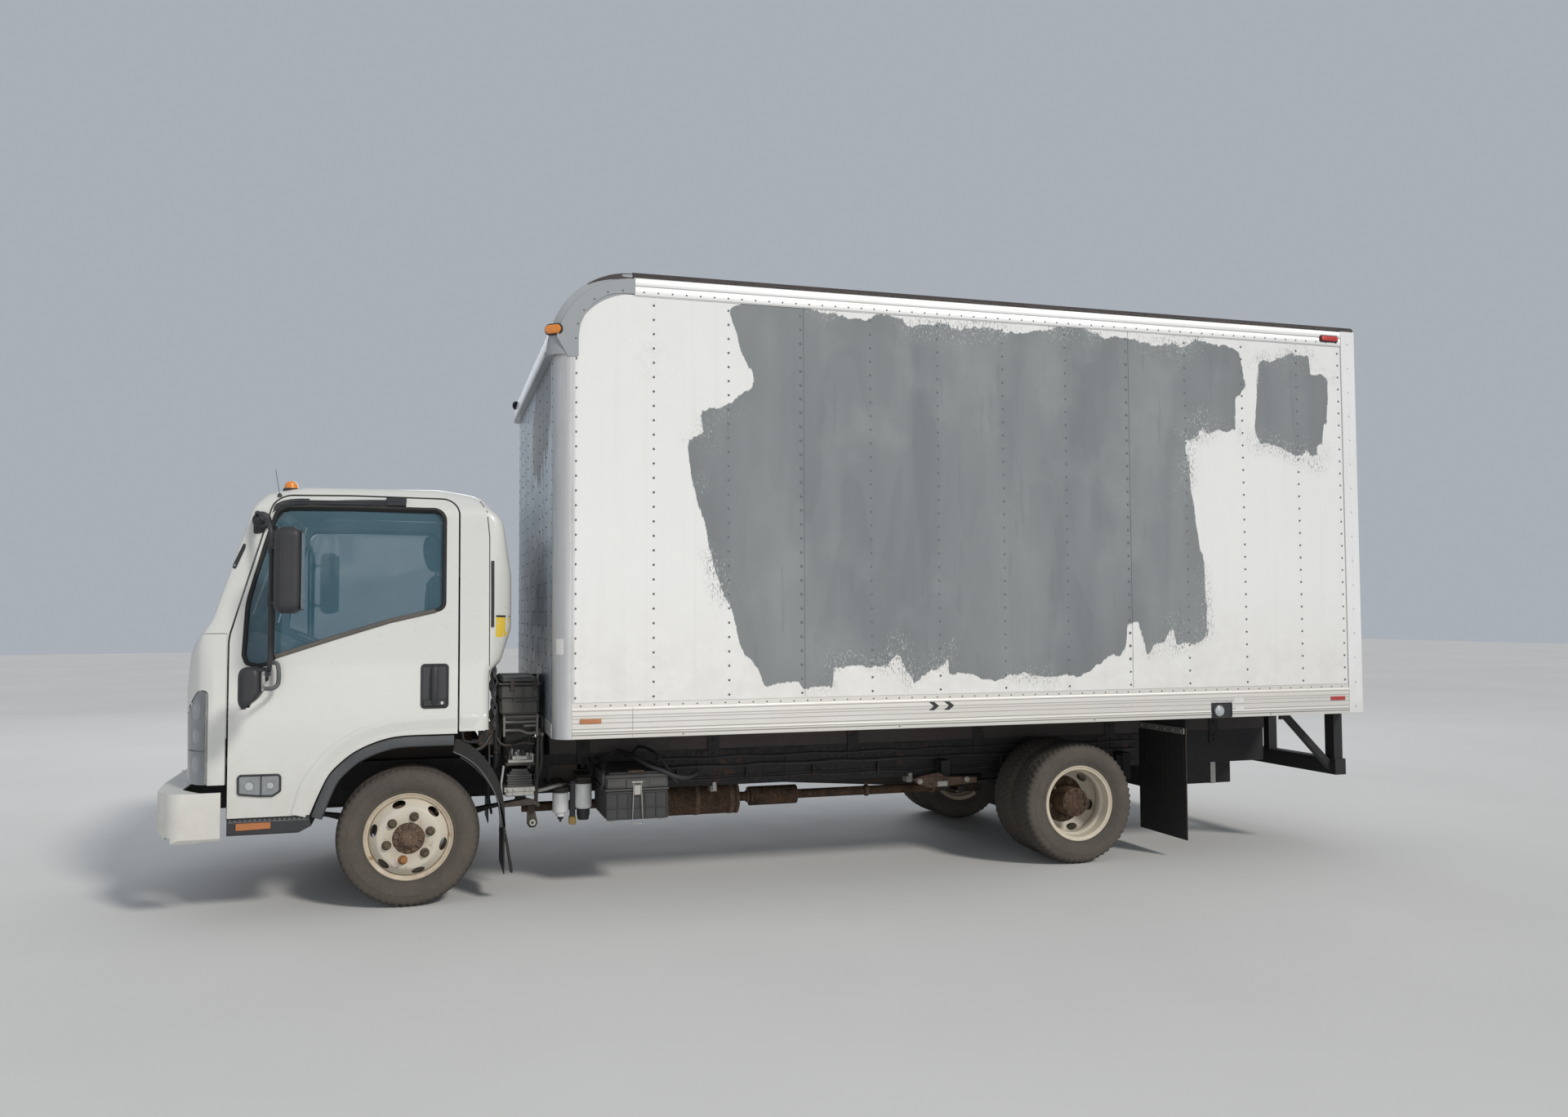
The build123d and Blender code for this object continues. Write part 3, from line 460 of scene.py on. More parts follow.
def skin(mesh, outline, tree, out0, out1, step=0.03, axis="x", sign=1, miss=0.0):
    """A plate laid on a surface: outline in two coordinates, seen along the axis from its sign side.
    out0/out1: lower and upper face's distance from the surface (out1 may be a function of the 2-D point)."""
    pts = [Vector(p) for p in outline]
    if area2([tuple(p) for p in pts]) < 0:
        pts.reverse()
    # finer edge
    edge = []
    for i in range(len(pts)):
        a, b = pts[i], pts[(i + 1) % len(pts)]
        k = max(1, int((b - a).length / step))
        edge += [a.lerp(b, t / k) for t in range(k)]
    n = len(edge)
    xs, ys = [p.x for p in edge], [p.y for p in edge]
    inner = []
    gx = int((max(xs) - min(xs)) / step) + 1
    gy = int((max(ys) - min(ys)) / step) + 1
    poly = [tuple(p) for p in edge]

    def inside(px, py):
        c = False
        for i in range(n):
            x1, y1 = poly[i - 1]; x2, y2 = poly[i]
            if (y1 > py) != (y2 > py) and px < (x2 - x1) * (py - y1) / (y2 - y1) + x1:
                c = not c
        return c

    def near(px, py):
        for x1, y1 in poly:
            if abs(x1 - px) < step * 0.45 and abs(y1 - py) < step * 0.45:
                return True
        return False
    for i in range(gx):
        for j in range(gy):
            px = min(xs) + (i + 0.5) * step; py = min(ys) + (j + 0.5) * step
            if inside(px, py) and not near(px, py):
                inner.append(Vector((px, py)))
    co, _, tri, *_ = delaunay_2d_cdt(edge + inner, [], [list(range(n))], 1, 1e-6)
    # keep the order of the rim by position
    d = {"x": Vector((-sign, 0, 0)), "y": Vector((0, -sign, 0)), "z": Vector((0, 0, -sign))}[axis]
    low, high, last = [], [], None
    for p in co:
        o = {"x": (3.0 * sign, p.x, p.y), "y": (p.x, 2.27 + 5.0 * sign, p.y), "z": (p.x, p.y, 4.0 * sign)}[axis]
        q, nn = hit(tree, o, d, 12)
        if q is None:
            q = last if last is not None else Vector(o)
            nn = -d
        else:
            last = q
        h = out1(p) if callable(out1) else out1
        low.append(q + nn * out0); high.append(q + nn * h)
    k = len(co)
    fs = [list(f) for f in tri] + [[k + i for i in f[::-1]] for f in tri]
    use = {}
    for f in tri:
        for a, b in zip(f, list(f[1:]) + [f[0]]):
            use[(a, b)] = use.get((a, b), 0) + 1
    for (a, b) in list(use):
        if (b, a) not in use:
            fs.append([b, a, k + a, k + b])
    mesh.add(low + high, fs)
    return mesh


# ---------------------------------------------------------------------------------------------
# materials
# ---------------------------------------------------------------------------------------------
class Mat:
    def __init__(self, name):
        self.m = bpy.data.materials.new(name)
        self.m.use_nodes = True
        self.t = self.m.node_tree
        self.b = self.t.nodes["Principled BSDF"]
        self.obj = self.t.nodes.new("ShaderNodeTexCoord").outputs["Object"]
        self.geo = None

    def n(self, kind, **kw):
        node = self.t.nodes.new("ShaderNode" + kind)
        for k, v in kw.items():
            setattr(node, k, v)
        return node

    def put(self, sock, val):
        if isinstance(val, bpy.types.NodeSocket):
            self.t.links.new(val, sock)
        elif isinstance(val, (tuple, list)) and len(val) == 3 and sock.type == "RGBA":
            sock.default_value = (*val, 1)
        else:
            sock.default_value = val

    def scaled(self, sx, sy, sz, vec=None, loc=(0, 0, 0)):
        nd = self.n("Mapping")
        self.put(nd.inputs["Vector"], vec or self.obj)
        nd.inputs["Scale"].default_value = (sx, sy, sz)
        nd.inputs["Location"].default_value = loc
        return nd.outputs[0]

    def noise(self, scale, detail=4, rough=0.55, vec=None, dist=0.0):
        nd = self.n("TexNoise")
        self.put(nd.inputs["Vector"], vec or self.obj)
        nd.inputs["Scale"].default_value = scale
        nd.inputs["Detail"].default_value = detail
        nd.inputs["Roughness"].default_value = rough
        nd.inputs["Distortion"].default_value = dist
        return nd.outputs[0]

    def vor(self, scale, feature="F1", vec=None, rand=1.0):
        nd = self.n("TexVoronoi", feature=feature)
        self.put(nd.inputs["Vector"], vec or self.obj)
        nd.inputs["Scale"].default_value = scale
        nd.inputs["Randomness"].default_value = rand
        return nd.outputs[0]

    def map(self, v, a, b, c=0.0, d=1.0, smooth=False):
        nd = self.n("MapRange", interpolation_type="SMOOTHSTEP" if smooth else "LINEAR")
        self.put(nd.inputs[0], v)
        for i, q in enumerate((a, b, c, d)):
            nd.inputs[1 + i].default_value = q
        return nd.outputs[0]

    def math(self, op, a, b=0.0, clamp=False):
        nd = self.n("Math", operation=op, use_clamp=clamp)
        self.put(nd.inputs[0], a)
        self.put(nd.inputs[1], b)
        return nd.outputs[0]

    def mix(self, fac, a, b, mode="MIX"):
        nd = self.n("Mix", data_type="RGBA", blend_type=mode)
        self.put(nd.inputs[0], fac)
        self.put(nd.inputs[6], a)
        self.put(nd.inputs[7], b)
        return nd.outputs[2]

    def xyz(self, vec=None):
        nd = self.n("SeparateXYZ")
        self.put(nd.inputs[0], vec or self.obj)
        return nd.outputs

    def attr(self, name):
        return self.n("Attribute", attribute_name=name).outputs["Fac"]

    def up(self):
        """How much the surface faces upwards."""
        g = self.n("NewGeometry")
        return self.xyz(g.outputs["Normal"])[2]

    def edge(self):
        g = self.n("NewGeometry")
        return g.outputs["Pointiness"]

    def radius(self, yc, zc, axis="x"):
        s = self.xyz()
        a, b = (s[1], s[2]) if axis == "x" else (s[0], s[2])
        p = self.math("SUBTRACT", a, yc); q = self.math("SUBTRACT", b, zc)
        return self.math("SQRT", self.math("ADD", self.math("MULTIPLY", p, p), self.math("MULTIPLY", q, q)))

    def bump(self, height, dist, strength=1.0):
        nd = self.n("Bump")
        nd.inputs["Strength"].default_value = strength
        nd.inputs["Distance"].default_value = dist
        self.put(nd.inputs["Height"], height)
        if self.b.inputs["Normal"].links:
            self.t.links.new(self.b.inputs["Normal"].links[0].from_socket, nd.inputs["Normal"])
        self.t.links.new(nd.outputs[0], self.b.inputs["Normal"])

    def set(self, **kw):
        names = {"base": "Base Color", "rough": "Roughness", "metal": "Metallic", "coat": "Coat Weight", "coat_rough": "Coat Roughness",
                 "alpha": "Alpha", "trans": "Transmission Weight", "ior": "IOR", "spec": "Specular IOR Level", "sheen": "Sheen Weight",
                 "emit": "Emission Color", "emit_s": "Emission Strength", "aniso": "Anisotropic"}
        for k, v in kw.items():
            self.put(self.b.inputs[names[k]], v)
        return self.m


def paint(name, base, shade, dirt=(0.30, 0.26, 0.20), low=0.45, high=1.25, amount=0.5, rough=0.3, coat=0.35, chips=0.0, streak=0.0):
    """Weathered gloss paint: slow tone drift, dust rising from below, fine specks, faint runs down the panel."""
    m = Mat(name)
    z = m.xyz()[2]
    tone = m.mix(m.noise(0.9, 3), base, shade)
    tone = m.mix(m.map(m.noise(14, 6, 0.65), 0.45, 0.8, 0, 0.16), tone, shade)
    g = m.map(z, low, high, 1, 0, smooth=True)
    dust = m.math("MULTIPLY", g, m.map(m.noise(5.5, 8, 0.7), 0.32, 0.72, 0.15, 1))
    dust = m.math("MULTIPLY", dust, amount, clamp=True)
    specks = m.map(m.noise(120, 2, 0.5), 0.70, 0.78, 0, 0.35)
    dust = m.math("MAXIMUM", dust, m.math("MULTIPLY", specks, m.map(z, low, high + 0.6, 1, 0.25)))
    col = m.mix(dust, tone, dirt)
    if streak:
        runs = m.noise(9, 4, 0.6, m.scaled(6, 6, 0.35))
        col = m.mix(m.map(runs, 0.52, 0.80, 0, streak), col, tuple(c * 0.62 for c in shade))
    rg = m.math("ADD", m.map(m.noise(22, 5), 0.3, 0.8, rough - 0.05, rough + 0.14), m.math("MULTIPLY", dust, 0.45))
    if chips:
        c1 = m.map(m.vor(38, vec=m.scaled(1, 1, 1)), 0.0, 0.055 * chips, 1, 0)
        c2 = m.map(m.noise(3.1, 3), 0.56, 0.62)
        ch = m.math("MULTIPLY", c1, c2)
        col = m.mix(ch, col, (0.09, 0.05, 0.03))
        rg = m.math("ADD", rg, m.math("MULTIPLY", ch, 0.4))
    m.bump(m.noise(60, 4, 0.6), 0.0004, 0.12)
    return m.set(base=col, rough=rg, coat=coat, coat_rough=0.12, spec=0.5)


def dusty_black(name, base=(0.018, 0.018, 0.02), dirt=(0.115, 0.098, 0.078), amount=0.45, rough=0.62, rust=0.0, bump=0.25):
    m = Mat(name)
    n1, n2 = m.noise(3.2, 8, 0.7), m.noise(26, 6, 0.65)
    up = m.map(m.up(), -0.2, 1.0, 0.25, 1.0)
    d = m.math("MULTIPLY", m.math("MULTIPLY", m.map(n1, 0.3, 0.75), up), amount, clamp=True)
    d = m.math("ADD", d, m.map(n2, 0.55, 0.8, 0, 0.12 * amount / 0.45), clamp=True)
    col = m.mix(d, base, dirt)
    if rust:
        r = m.map(m.noise(7.5, 8, 0.72), 0.60 - rust * 0.25, 0.70 - rust * 0.25)
        rc = m.mix(m.noise(60, 4), (0.055, 0.026, 0.014), (0.12, 0.058, 0.028))
        col = m.mix(m.math("MULTIPLY", r, 0.85), col, rc)
    m.bump(m.noise(160, 3, 0.6), 0.0005, bump)
    return m.set(base=col, rough=m.map(n2, 0.2, 0.8, rough - 0.1, rough + 0.18), spec=0.4)


def alloy(name, base=(0.60, 0.61, 0.62), axis="z", rough=0.36, stain=0.35):
    m = Mat(name)
    vec = {"z": m.scaled(70, 70, 1.2), "y": m.scaled(70, 1.2, 70), "x": m.scaled(1.2, 70, 70)}[axis]
    brush = m.noise(3, 5, 0.6, vec)
    n1 = m.noise(2.2, 7, 0.68)
    col = m.mix(m.map(brush, 0.25, 0.75), tuple(c * 0.88 for c in base), tuple(min(1, c * 1.1) for c in base))
    col = m.mix(m.map(n1, 0.45, 0.80, 0, stain), col, (0.36, 0.35, 0.33))
    white = m.map(m.noise(33, 6, 0.7), 0.60, 0.78, 0, stain * 0.8)
    col = m.mix(white, col, (0.78, 0.78, 0.76))
    m.bump(brush, 0.0003, 0.25)
    met = m.math("SUBTRACT", 0.92, m.map(n1, 0.5, 0.85, 0, 0.5))
    return m.set(base=col, metal=met, rough=m.map(n1, 0.3, 0.8, rough - 0.04, rough + 0.22))


def rusty(name, base=(0.16, 0.075, 0.038), dark=(0.05, 0.03, 0.022), light=(0.32, 0.17, 0.085), rough=0.85, scale=1.0):
    m = Mat(name)
    n1, n2 = m.noise(11 * scale, 8, 0.7), m.noise(70 * scale, 5, 0.65)
    col = m.mix(m.map(n1, 0.35, 0.7), dark, base)
    col = m.mix(m.map(n2, 0.5, 0.75), col, light)
    m.bump(n2, 0.0012, 0.5)
    return m.set(base=col, rough=m.map(n2, 0.3, 0.8, rough - 0.15, rough + 0.1), metal=m.map(n1, 0.3, 0.5, 0.35, 0.0), spec=0.3)


def plastic(name, base, fade=(0.16, 0.16, 0.16), rough=0.5, amount=0.4, grain=420):
    m = Mat(name)
    n1, n2 = m.noise(5, 6, 0.62), m.noise(grain, 2, 0.5)
    z = m.up()
    d = m.math("MULTIPLY", m.map(n1, 0.35, 0.8), m.map(z, -0.5, 1, 0.4, 1.1))
    col = m.mix(m.math("MULTIPLY", d, amount, clamp=True), base, fade)
    m.bump(n2, 0.0003, 0.35)
    return m.set(base=col, rough=m.map(n1, 0.3, 0.8, rough - 0.06, rough + 0.16), spec=0.42)


CAB_WHITE = paint("cab_white_paint", (0.640, 0.642, 0.612), (0.590, 0.592, 0.556), amount=0.30, low=0.42, high=1.0, chips=0.5)
BUMPER_WHITE = paint("bumper_paint", (0.665, 0.662, 0.630), (0.590, 0.582, 0.540), amount=0.42, low=0.38, high=0.75, rough=0.36, coat=0.2, chips=0.9)
# black chassis paint with its dust kept low, partly as painted shade for the space under the box
CHASSIS = dusty_black("chassis_dusty_black", base=(0.013, 0.0135, 0.016), amount=0.17)
CHASSIS_RUST = dusty_black("chassis_black_rust", base=(0.014, 0.014, 0.016), amount=0.20, rust=0.30)
CAST = dusty_black("cast_iron_dusty", base=(0.035, 0.032, 0.03), dirt=(0.13, 0.11, 0.09), amount=0.5, rust=0.3, rough=0.75, bump=0.5)
RUST = rusty("rusty_steel", base=(0.085, 0.048, 0.028), dark=(0.030, 0.021, 0.016), light=(0.17, 0.10, 0.058))
HUB_RUST = rusty("hub_rust", base=(0.15, 0.095, 0.065), dark=(0.055, 0.04, 0.03), light=(0.26, 0.19, 0.135), scale=1.4)
NUT_RUST = rusty("nut_rust", base=(0.12, 0.09, 0.06), dark=(0.05, 0.04, 0.03), light=(0.22, 0.17, 0.11), scale=2.0)
NUT_ORANGE = rusty("nut_orange_rust", base=(0.36, 0.17, 0.06), dark=(0.16, 0.07, 0.03), light=(0.5, 0.28, 0.12), scale=2.0)
POST_ALLOY = alloy("satin_post_aluminium", axis="z", base=(0.60, 0.603, 0.603), rough=0.52)
RAIL_ALLOY = alloy("satin_rail_aluminium", axis="y", base=(0.72, 0.72, 0.71), stain=0.5, rough=0.42)
ROOF_ALLOY = alloy("roof_sheet_aluminium", axis="y", base=(0.58, 0.58, 0.58), stain=0.6, rough=0.5)
BLACK_PLASTIC = plastic("black_grained_plastic", (0.022, 0.023, 0.026), (0.085, 0.085, 0.085), rough=0.46)
GREY_PLASTIC = plastic("weathered_grey_plastic", (0.10, 0.105, 0.11), (0.23, 0.225, 0.21), rough=0.6)
BATTERY_GREY = plastic("battery_box_plastic", (0.038, 0.039, 0.041), (0.10, 0.094, 0.084), rough=0.58)
TRIM_DARK = plastic("interior_trim_dark", (0.045, 0.046, 0.05), (0.075, 0.075, 0.078), rough=0.55, amount=0.25)
TRIM_GREY = plastic("interior_trim_grey", (0.26, 0.26, 0.265), (0.33, 0.33, 0.33), rough=0.6, amount=0.3)
HEADLINER = plastic("headliner_felt", (0.34, 0.335, 0.32), (0.42, 0.41, 0.39), rough=0.9, amount=0.4, grain=900)
FRP = paint("faded_grey_fibreglass", (0.330, 0.350, 0.362), (0.275, 0.295, 0.308), dirt=(0.24, 0.23, 0.21), low=2.6, high=3.1, amount=0.22, rough=0.36, coat=0.2)
# the filter cans' white is raised above the other whites as painted sunlight
FILTER_WHITE_PAINTED_LIGHT = paint("filter_can_paint_painted_light", (0.90, 0.905, 0.905), (0.84, 0.845, 0.845), amount=0.22, low=0.35, high=0.75, rough=0.3, coat=0.4)
FRAME_WHITE = paint("box_frame_white", (0.78, 0.785, 0.78), (0.70, 0.705, 0.70), amount=0.35, low=0.6, high=1.6, rough=0.42, coat=0.1, streak=0.25, chips=0.5)
DOOR_WHITE = paint("roll_door_white", (0.76, 0.765, 0.76), (0.67, 0.675, 0.67), amount=0.4, low=0.9, high=1.9, rough=0.45, coat=0.05, streak=0.3, chips=0.4)
YELLOW = paint("blank_yellow_label", (0.80, 0.56, 0.05), (0.70, 0.48, 0.06), amount=0.2, low=0.5, high=2.0, rough=0.45, coat=0.2)
LABEL_WHITE = paint("blank_white_label", (0.74, 0.74, 0.72), (0.62, 0.62, 0.60), amount=0.3, low=0.5, high=2.0, rough=0.5, coat=0.0)
TRIM_BROWN = dusty_black("roof_edge_trim", base=(0.036, 0.029, 0.028), dirt=(0.13, 0.105, 0.09), amount=0.35, rough=0.55)
RUBBER = dusty_black("dusty_rubber", base=(0.016, 0.016, 0.017), dirt=(0.10, 0.09, 0.075), amount=0.3, rough=0.75, bump=0.4)
FLAP = dusty_black("mud_flap_rubber", base=(0.012, 0.012, 0.013), dirt=(0.10, 0.085, 0.065), amount=0.45, rough=0.7, bump=0.4)
WIRE = plastic("cable_sheath", (0.03, 0.03, 0.033), (0.11, 0.105, 0.1), rough=0.5, grain=900)


# ---------------------------------------------------------------------------------------------
# wheel materials
# ---------------------------------------------------------------------------------------------
HUB_Z = 0.357
LUG0 = 14.0


def tyre_material(name, yc):
    m = Mat(name)
    r = m.radius(yc - DY, HUB_Z)
    n1, n2, n3 = m.noise(6, 8, 0.7), m.noise(45, 5, 0.62), m.noise(170, 3, 0.6)
    base = m.mix(n3, (0.030, 0.028, 0.026), (0.046, 0.042, 0.038))
    side = m.map(r, 0.225, 0.300, 0.75, 1.0)
    shoulder = m.map(r, 0.322, 0.350, 1.0, 0.45)
    d = m.math("MULTIPLY", m.math("MULTIPLY", side, shoulder), m.map(n1, 0.22, 0.70, 0.35, 0.95))
    ring = m.math("SINE", m.math("MULTIPLY", r, 900.0))
    d = m.math("ADD", d, m.math("MULTIPLY", m.map(n2, 0.45, 0.75), 0.22))
    d = m.math("MULTIPLY", d, 0.62, clamp=True)
    col = m.mix(d, base, (0.150, 0.128, 0.104))
    col = m.mix(m.map(r, 0.346, 0.357, 0, 0.35), col, (0.105, 0.092, 0.078))
    m.bump(m.math("ADD", n3, m.math("MULTIPLY", ring, 0.06)), 0.0008, 0.35)
    return m.set(base=col, rough=m.map(n1, 0.2, 0.8, 0.72, 0.92), spec=0.28)


def rim_material(name, yc, rust):
    m = Mat(name)
    r = m.radius(yc - DY, HUB_Z)
    n1, n2, n3 = m.noise(16, 8, 0.72), m.noise(70, 5, 0.65), m.noise(5, 5, 0.6)
    tone = m.mix(n3, (0.600, 0.560, 0.485), (0.475, 0.430, 0.350))
    tone = m.mix(m.map(r, 0.150, 0.205, 0, 0.45), tone, (0.60, 0.52, 0.38))
    # brown brake dust towards the hub and in the corner of the dish
    dust = m.math("MULTIPLY", m.map(r, 0.075, 0.135, 1, 0.12), m.map(n1, 0.30, 0.70, 0.2, 1))
    dust = m.math("MAXIMUM", dust, m.math("MULTIPLY", m.map(r, 0.188, 0.200, 0, 0.8), m.map(n1, 0.35, 0.62, 0.25, 1)))
    col = m.mix(m.math("MULTIPLY", dust, 0.75 * rust, clamp=True), tone, (0.30, 0.215, 0.135))
    spots = m.map(n1, 0.66 - 0.06 * rust, 0.72 - 0.05 * rust)
    col = m.mix(m.math("MULTIPLY", spots, 0.85), col, m.mix(n2, (0.16, 0.06, 0.025), (0.33, 0.16, 0.07)))
    fine = m.map(m.vor(60), 0.0, 0.16, 0.55 * rust, 0)
    col = m.mix(fine, col, (0.22, 0.12, 0.06))
    m.bump(n2, 0.0006, 0.3)
    return m.set(base=col, rough=m.map(n1, 0.3, 0.7, 0.42, 0.72), spec=0.4)


# ---------------------------------------------------------------------------------------------
# tyres: one closed carcass with cut grooves, shoulder slots and sipes
# ---------------------------------------------------------------------------------------------
# x from the wheel's middle plane, radius, depth of a slot for the rib tread and for the lug tread (metres)
TREAD_HALF = [
    (0.000, 0.3570, 0.000, 0.0000), (0.0085, 0.3570, 0.000, 0.0035), (0.0110, 0.3568, 0.000, 0.0035),
    (0.0130, 0.3480, 0.000, 0.0000), (0.0185, 0.3480, 0.000, 0.0000), (0.0205, 0.3566, 0.000, 0.0040),
    (0.0300, 0.3565, 0.000, 0.0040), (0.0390, 0.3562, 0.000, 0.0040), (0.0410, 0.3475, 0.000, 0.0000),
    (0.0470, 0.3475, 0.000, 0.0000), (0.0490, 0.3556, 0.0030, 0.0050), (0.0570, 0.3551, 0.0030, 0.0055),
    (0.0650, 0.3544, 0.0020, 0.0060), (0.0665, 0.3490, 0.000, 0.0000), (0.0700, 0.3490, 0.000, 0.0000),
    (0.0715, 0.3535, 0.0050, 0.0070), (0.0790, 0.3518, 0.0060, 0.0075), (0.0860, 0.3492, 0.0065, 0.0080),
    (0.0910, 0.3455, 0.0065, 0.0080), (0.0945, 0.3400, 0.0050, 0.0065), (0.0965, 0.3350, 0.0030, 0.0045)]
SIDEWALL = [(0.0985, 0.3290), (0.1015, 0.3200), (0.1042, 0.3100), (0.1062, 0.3000), (0.1070, 0.2975), (0.1082, 0.2970), (0.1084, 0.2860),
            (0.1080, 0.2760), (0.1060, 0.2650), (0.1028, 0.2540), (0.0985, 0.2440), (0.0940, 0.2360), (0.0925, 0.2315), (0.0935, 0.2285),
            (0.0905, 0.2245), (0.0850, 0.2215), (0.0780, 0.2160), (0.0720, 0.2070)]


def tyre(mesh, xc, yc, lug, twist=0.0):
    prof = [(-x, r, a, b) for x, r, a, b in reversed(TREAD_HALF[1:])] + TREAD_HALF
    prof = [(-x, r, 0, 0) for x, r in reversed(SIDEWALL)] + prof + [(x, r, 0, 0) for x, r in SIDEWALL]
    m = len(prof)
    pitches, seg = (62, 4) if not lug else (58, 4)
    n = pitches * seg
    vs = []
    for i in range(n):
        ph = i % seg
        for x, r, a, b in prof:
            d = b if lug else a
            skew = 0.0
            if lug and abs(x) < 0.09:
                skew = 0.35 * abs(x) / 0.09
            cut = ph in (0, 1) and d > 0
            if lug and d > 0:
                cut = ph in ((0, 1) if (abs(x) < 0.025 or abs(x) > 0.07) else (2, 3))
            rr = r - (d if cut else 0.0)
            # pull the two walls of a slot towards each other so that it is narrow
            sh = 0.0
            if ph == 0:
                sh = 0.30
            elif ph == 1:
                sh = -0.30
            elif ph == 2 and lug:
                sh = 0.12
            elif ph == 3 and lug:
                sh = -0.12
            aa = 2 * math.pi * (i + sh + skew + twist) / n if r > 0.333 else 2 * math.pi * (i + twist) / n
            vs.append((xc + x, yc + rr * math.sin(aa), HUB_Z + rr * math.cos(aa)))
    fs = []
    for i in range(n):
        j = (i + 1) % n
        for k in range(m):
            l = (k + 1) % m
            fs.append([i * m + k, i * m + l, j * m + l, j * m + k])
    mesh.add(vs, fs)


# ---------------------------------------------------------------------------------------------
# rims: barrel with bead seats and well, pressed disc with six oval hand holes
# ---------------------------------------------------------------------------------------------
BARREL = [(-0.0900, 0.2220), (-0.0865, 0.2235), (-0.0830, 0.2215), (-0.0812, 0.2170), (-0.0800, 0.2070), (-0.0760, 0.2030), (-0.0450, 0.2015),
          (-0.0400, 0.1990), (-0.0330, 0.1890), (-0.0280, 0.1870), (0.0130, 0.1870), (0.0180, 0.1890), (0.0250, 0.1985), (0.0300, 0.2010),
          (0.0760, 0.2030), (0.0800, 0.2070), (0.0812, 0.2170), (0.0830, 0.2215), (0.0865, 0.2235), (0.0900, 0.2220), (0.0918, 0.2190),
          (0.0900, 0.2150), (0.0865, 0.2120), (0.0850, 0.2060), (0.0835, 0.1995), (0.0790, 0.1975), (0.0320, 0.1955), (0.0270, 0.1930),
          (0.0205, 0.1840), (0.0140, 0.1815), (-0.0290, 0.1815), (-0.0350, 0.1835), (-0.0415, 0.1925), (-0.0470, 0.1958), (-0.0790, 0.1975),
          (-0.0835, 0.1995), (-0.0850, 0.2060), (-0.0865, 0.2120), (-0.0900, 0.2150), (-0.0918, 0.2190)]
DISC_OUT = [(0.0795, 0.1270), (0.1440, 0.1270), (0.1500, 0.1264), (0.1555, 0.1240), (0.1610, 0.1195), (0.1700, 0.1105), (0.1800, 0.1005),
            (0.1880, 0.0915), (0.1935, 0.0830), (0.1965, 0.0740), (0.1975, 0.0660)]      # radius, x
DISC_IN = [(0.0795, 0.1180), (0.1400, 0.1180), (0.1460, 0.1172), (0.1510, 0.1148), (0.1560, 0.1100), (0.1640, 0.1020), (0.1735, 0.0925),
           (0.1810, 0.0840), (0.1860, 0.0760), (0.1890, 0.0690), (0.1975, 0.0600)]


def along(table, r):
    for (r0, x0), (r1, x1) in zip(table, table[1:]):
        if r <= r1:
            return x0 + (x1 - x0) * max(0.0, (r - r0)) / (r1 - r0)
    return table[-1][1]


def disc_with_holes(mesh, xc, yc, sgn):
    """The pressed disc: turned rings inside and outside a band of six sectors, each with an oval hole."""
    r0, r1, rc = 0.1545, 0.1945, 0.1755
    st, srr = 0.0345, 0.0175
    nside, rings = 12, 5

    def pt(a, r, table, s=1.0):
        return (xc + sgn * along(table, r), yc + r * math.sin(a), HUB_Z + r * math.cos(a))
    for k in range(6):
        a0 = math.radians(LUG0 + 60 * k); a1 = a0 + math.radians(60); ac = (a0 + a1) / 2
        per = [(a0 + (a1 - a0) * j / nside, r0) for j in range(nside)]
        per += [(a1, r0 + (r1 - r0) * j / 4) for j in range(4)]
        per += [(a1 + (a0 - a1) * j / nside, r1) for j in range(nside)]
        per += [(a0, r1 + (r0 - r1) * j / 4) for j in range(4)]
        n = len(per)
        ell = []
        for a, r in per:
            t = math.atan2((r - rc) / 0.02, (a - ac) * rc / 0.092 * 1.0)
            ell.append((ac + st * math.cos(t) / rc, rc + srr * math.sin(t)))
        for table, flip in ((DISC_OUT, False), (DISC_IN, True)):
            vs = []
            for q in range(rings + 1):
                f = (q / rings) ** 0.8
                for (a, r), (ea, er) in zip(per, ell):
                    vs.append(pt(a + (ea - a) * f, r + (er - r) * f, table))
            fs = []
            for q in range(rings):
                for j in range(n):
                    l = (j + 1) % n
                    fs.append([q * n + j, q * n + l, (q + 1) * n + l, (q + 1) * n + j])
            mesh.add(vs, fs)
        # the hole's rolled wall
        vs = [pt(a, r, DISC_OUT) for a, r in ell] + [pt(a, r, DISC_IN) for a, r in ell]
        mesh.add(vs, [[j, (j + 1) % n, n + (j + 1) % n, n + j] for j in range(n)])
    seg = 6 * nside

    def band(table, ra, rb, steps):
        rr = sorted(set([ra, rb] + [r for r, _ in table if ra < r < rb]))
        vs, fs = [], []
        for r in rr:
            for i in range(seg):
                vs.append(pt(math.radians(LUG0) + 2 * math.pi * i / seg, r, table))
        for q in range(len(rr) - 1):
            for i in range(seg):
                j = (i + 1) % seg
                fs.append([q * seg + i, q * seg + j, (q + 1) * seg + j, (q + 1) * seg + i])
        mesh.add(vs, fs)
    for table in (DISC_OUT, DISC_IN):
        band(table, 0.0795, r0, 4)
        band(table, r1, 0.1975, 2)
    for r in (0.0795, 0.1975):
        vs = [pt(math.radians(LUG0) + 2 * math.pi * i / seg, r, DISC_OUT) for i in range(seg)] + [pt(math.radians(LUG0) + 2 * math.pi * i / seg, r, DISC_IN) for i in range(seg)]
        mesh.add(vs, [[i, (i + 1) % seg, seg + (i + 1) % seg, seg + i] for i in range(seg)])


def lug_points(radius, a0=LUG0, count=6):
    return [(radius * math.sin(math.radians(a0 + 360 * k / count)), radius * math.cos(math.radians(a0 + 360 * k / count))) for k in range(count)]


FRONT_X, TWIN_X = 0.832, 0.826
TWIN_OUT, TWIN_IN = TWIN_X + 0.1225, TWIN_X - 0.1225
TYRE_MATS = {0.0: tyre_material("tyre_front_dusty", 0.0), WB: tyre_material("tyre_rear_dusty", WB)}
RIM_MATS = {0.0: rim_material("rim_front_cream", 0.0, 1.0), WB: rim_material("rim_rear_cream", WB, 0.35)}

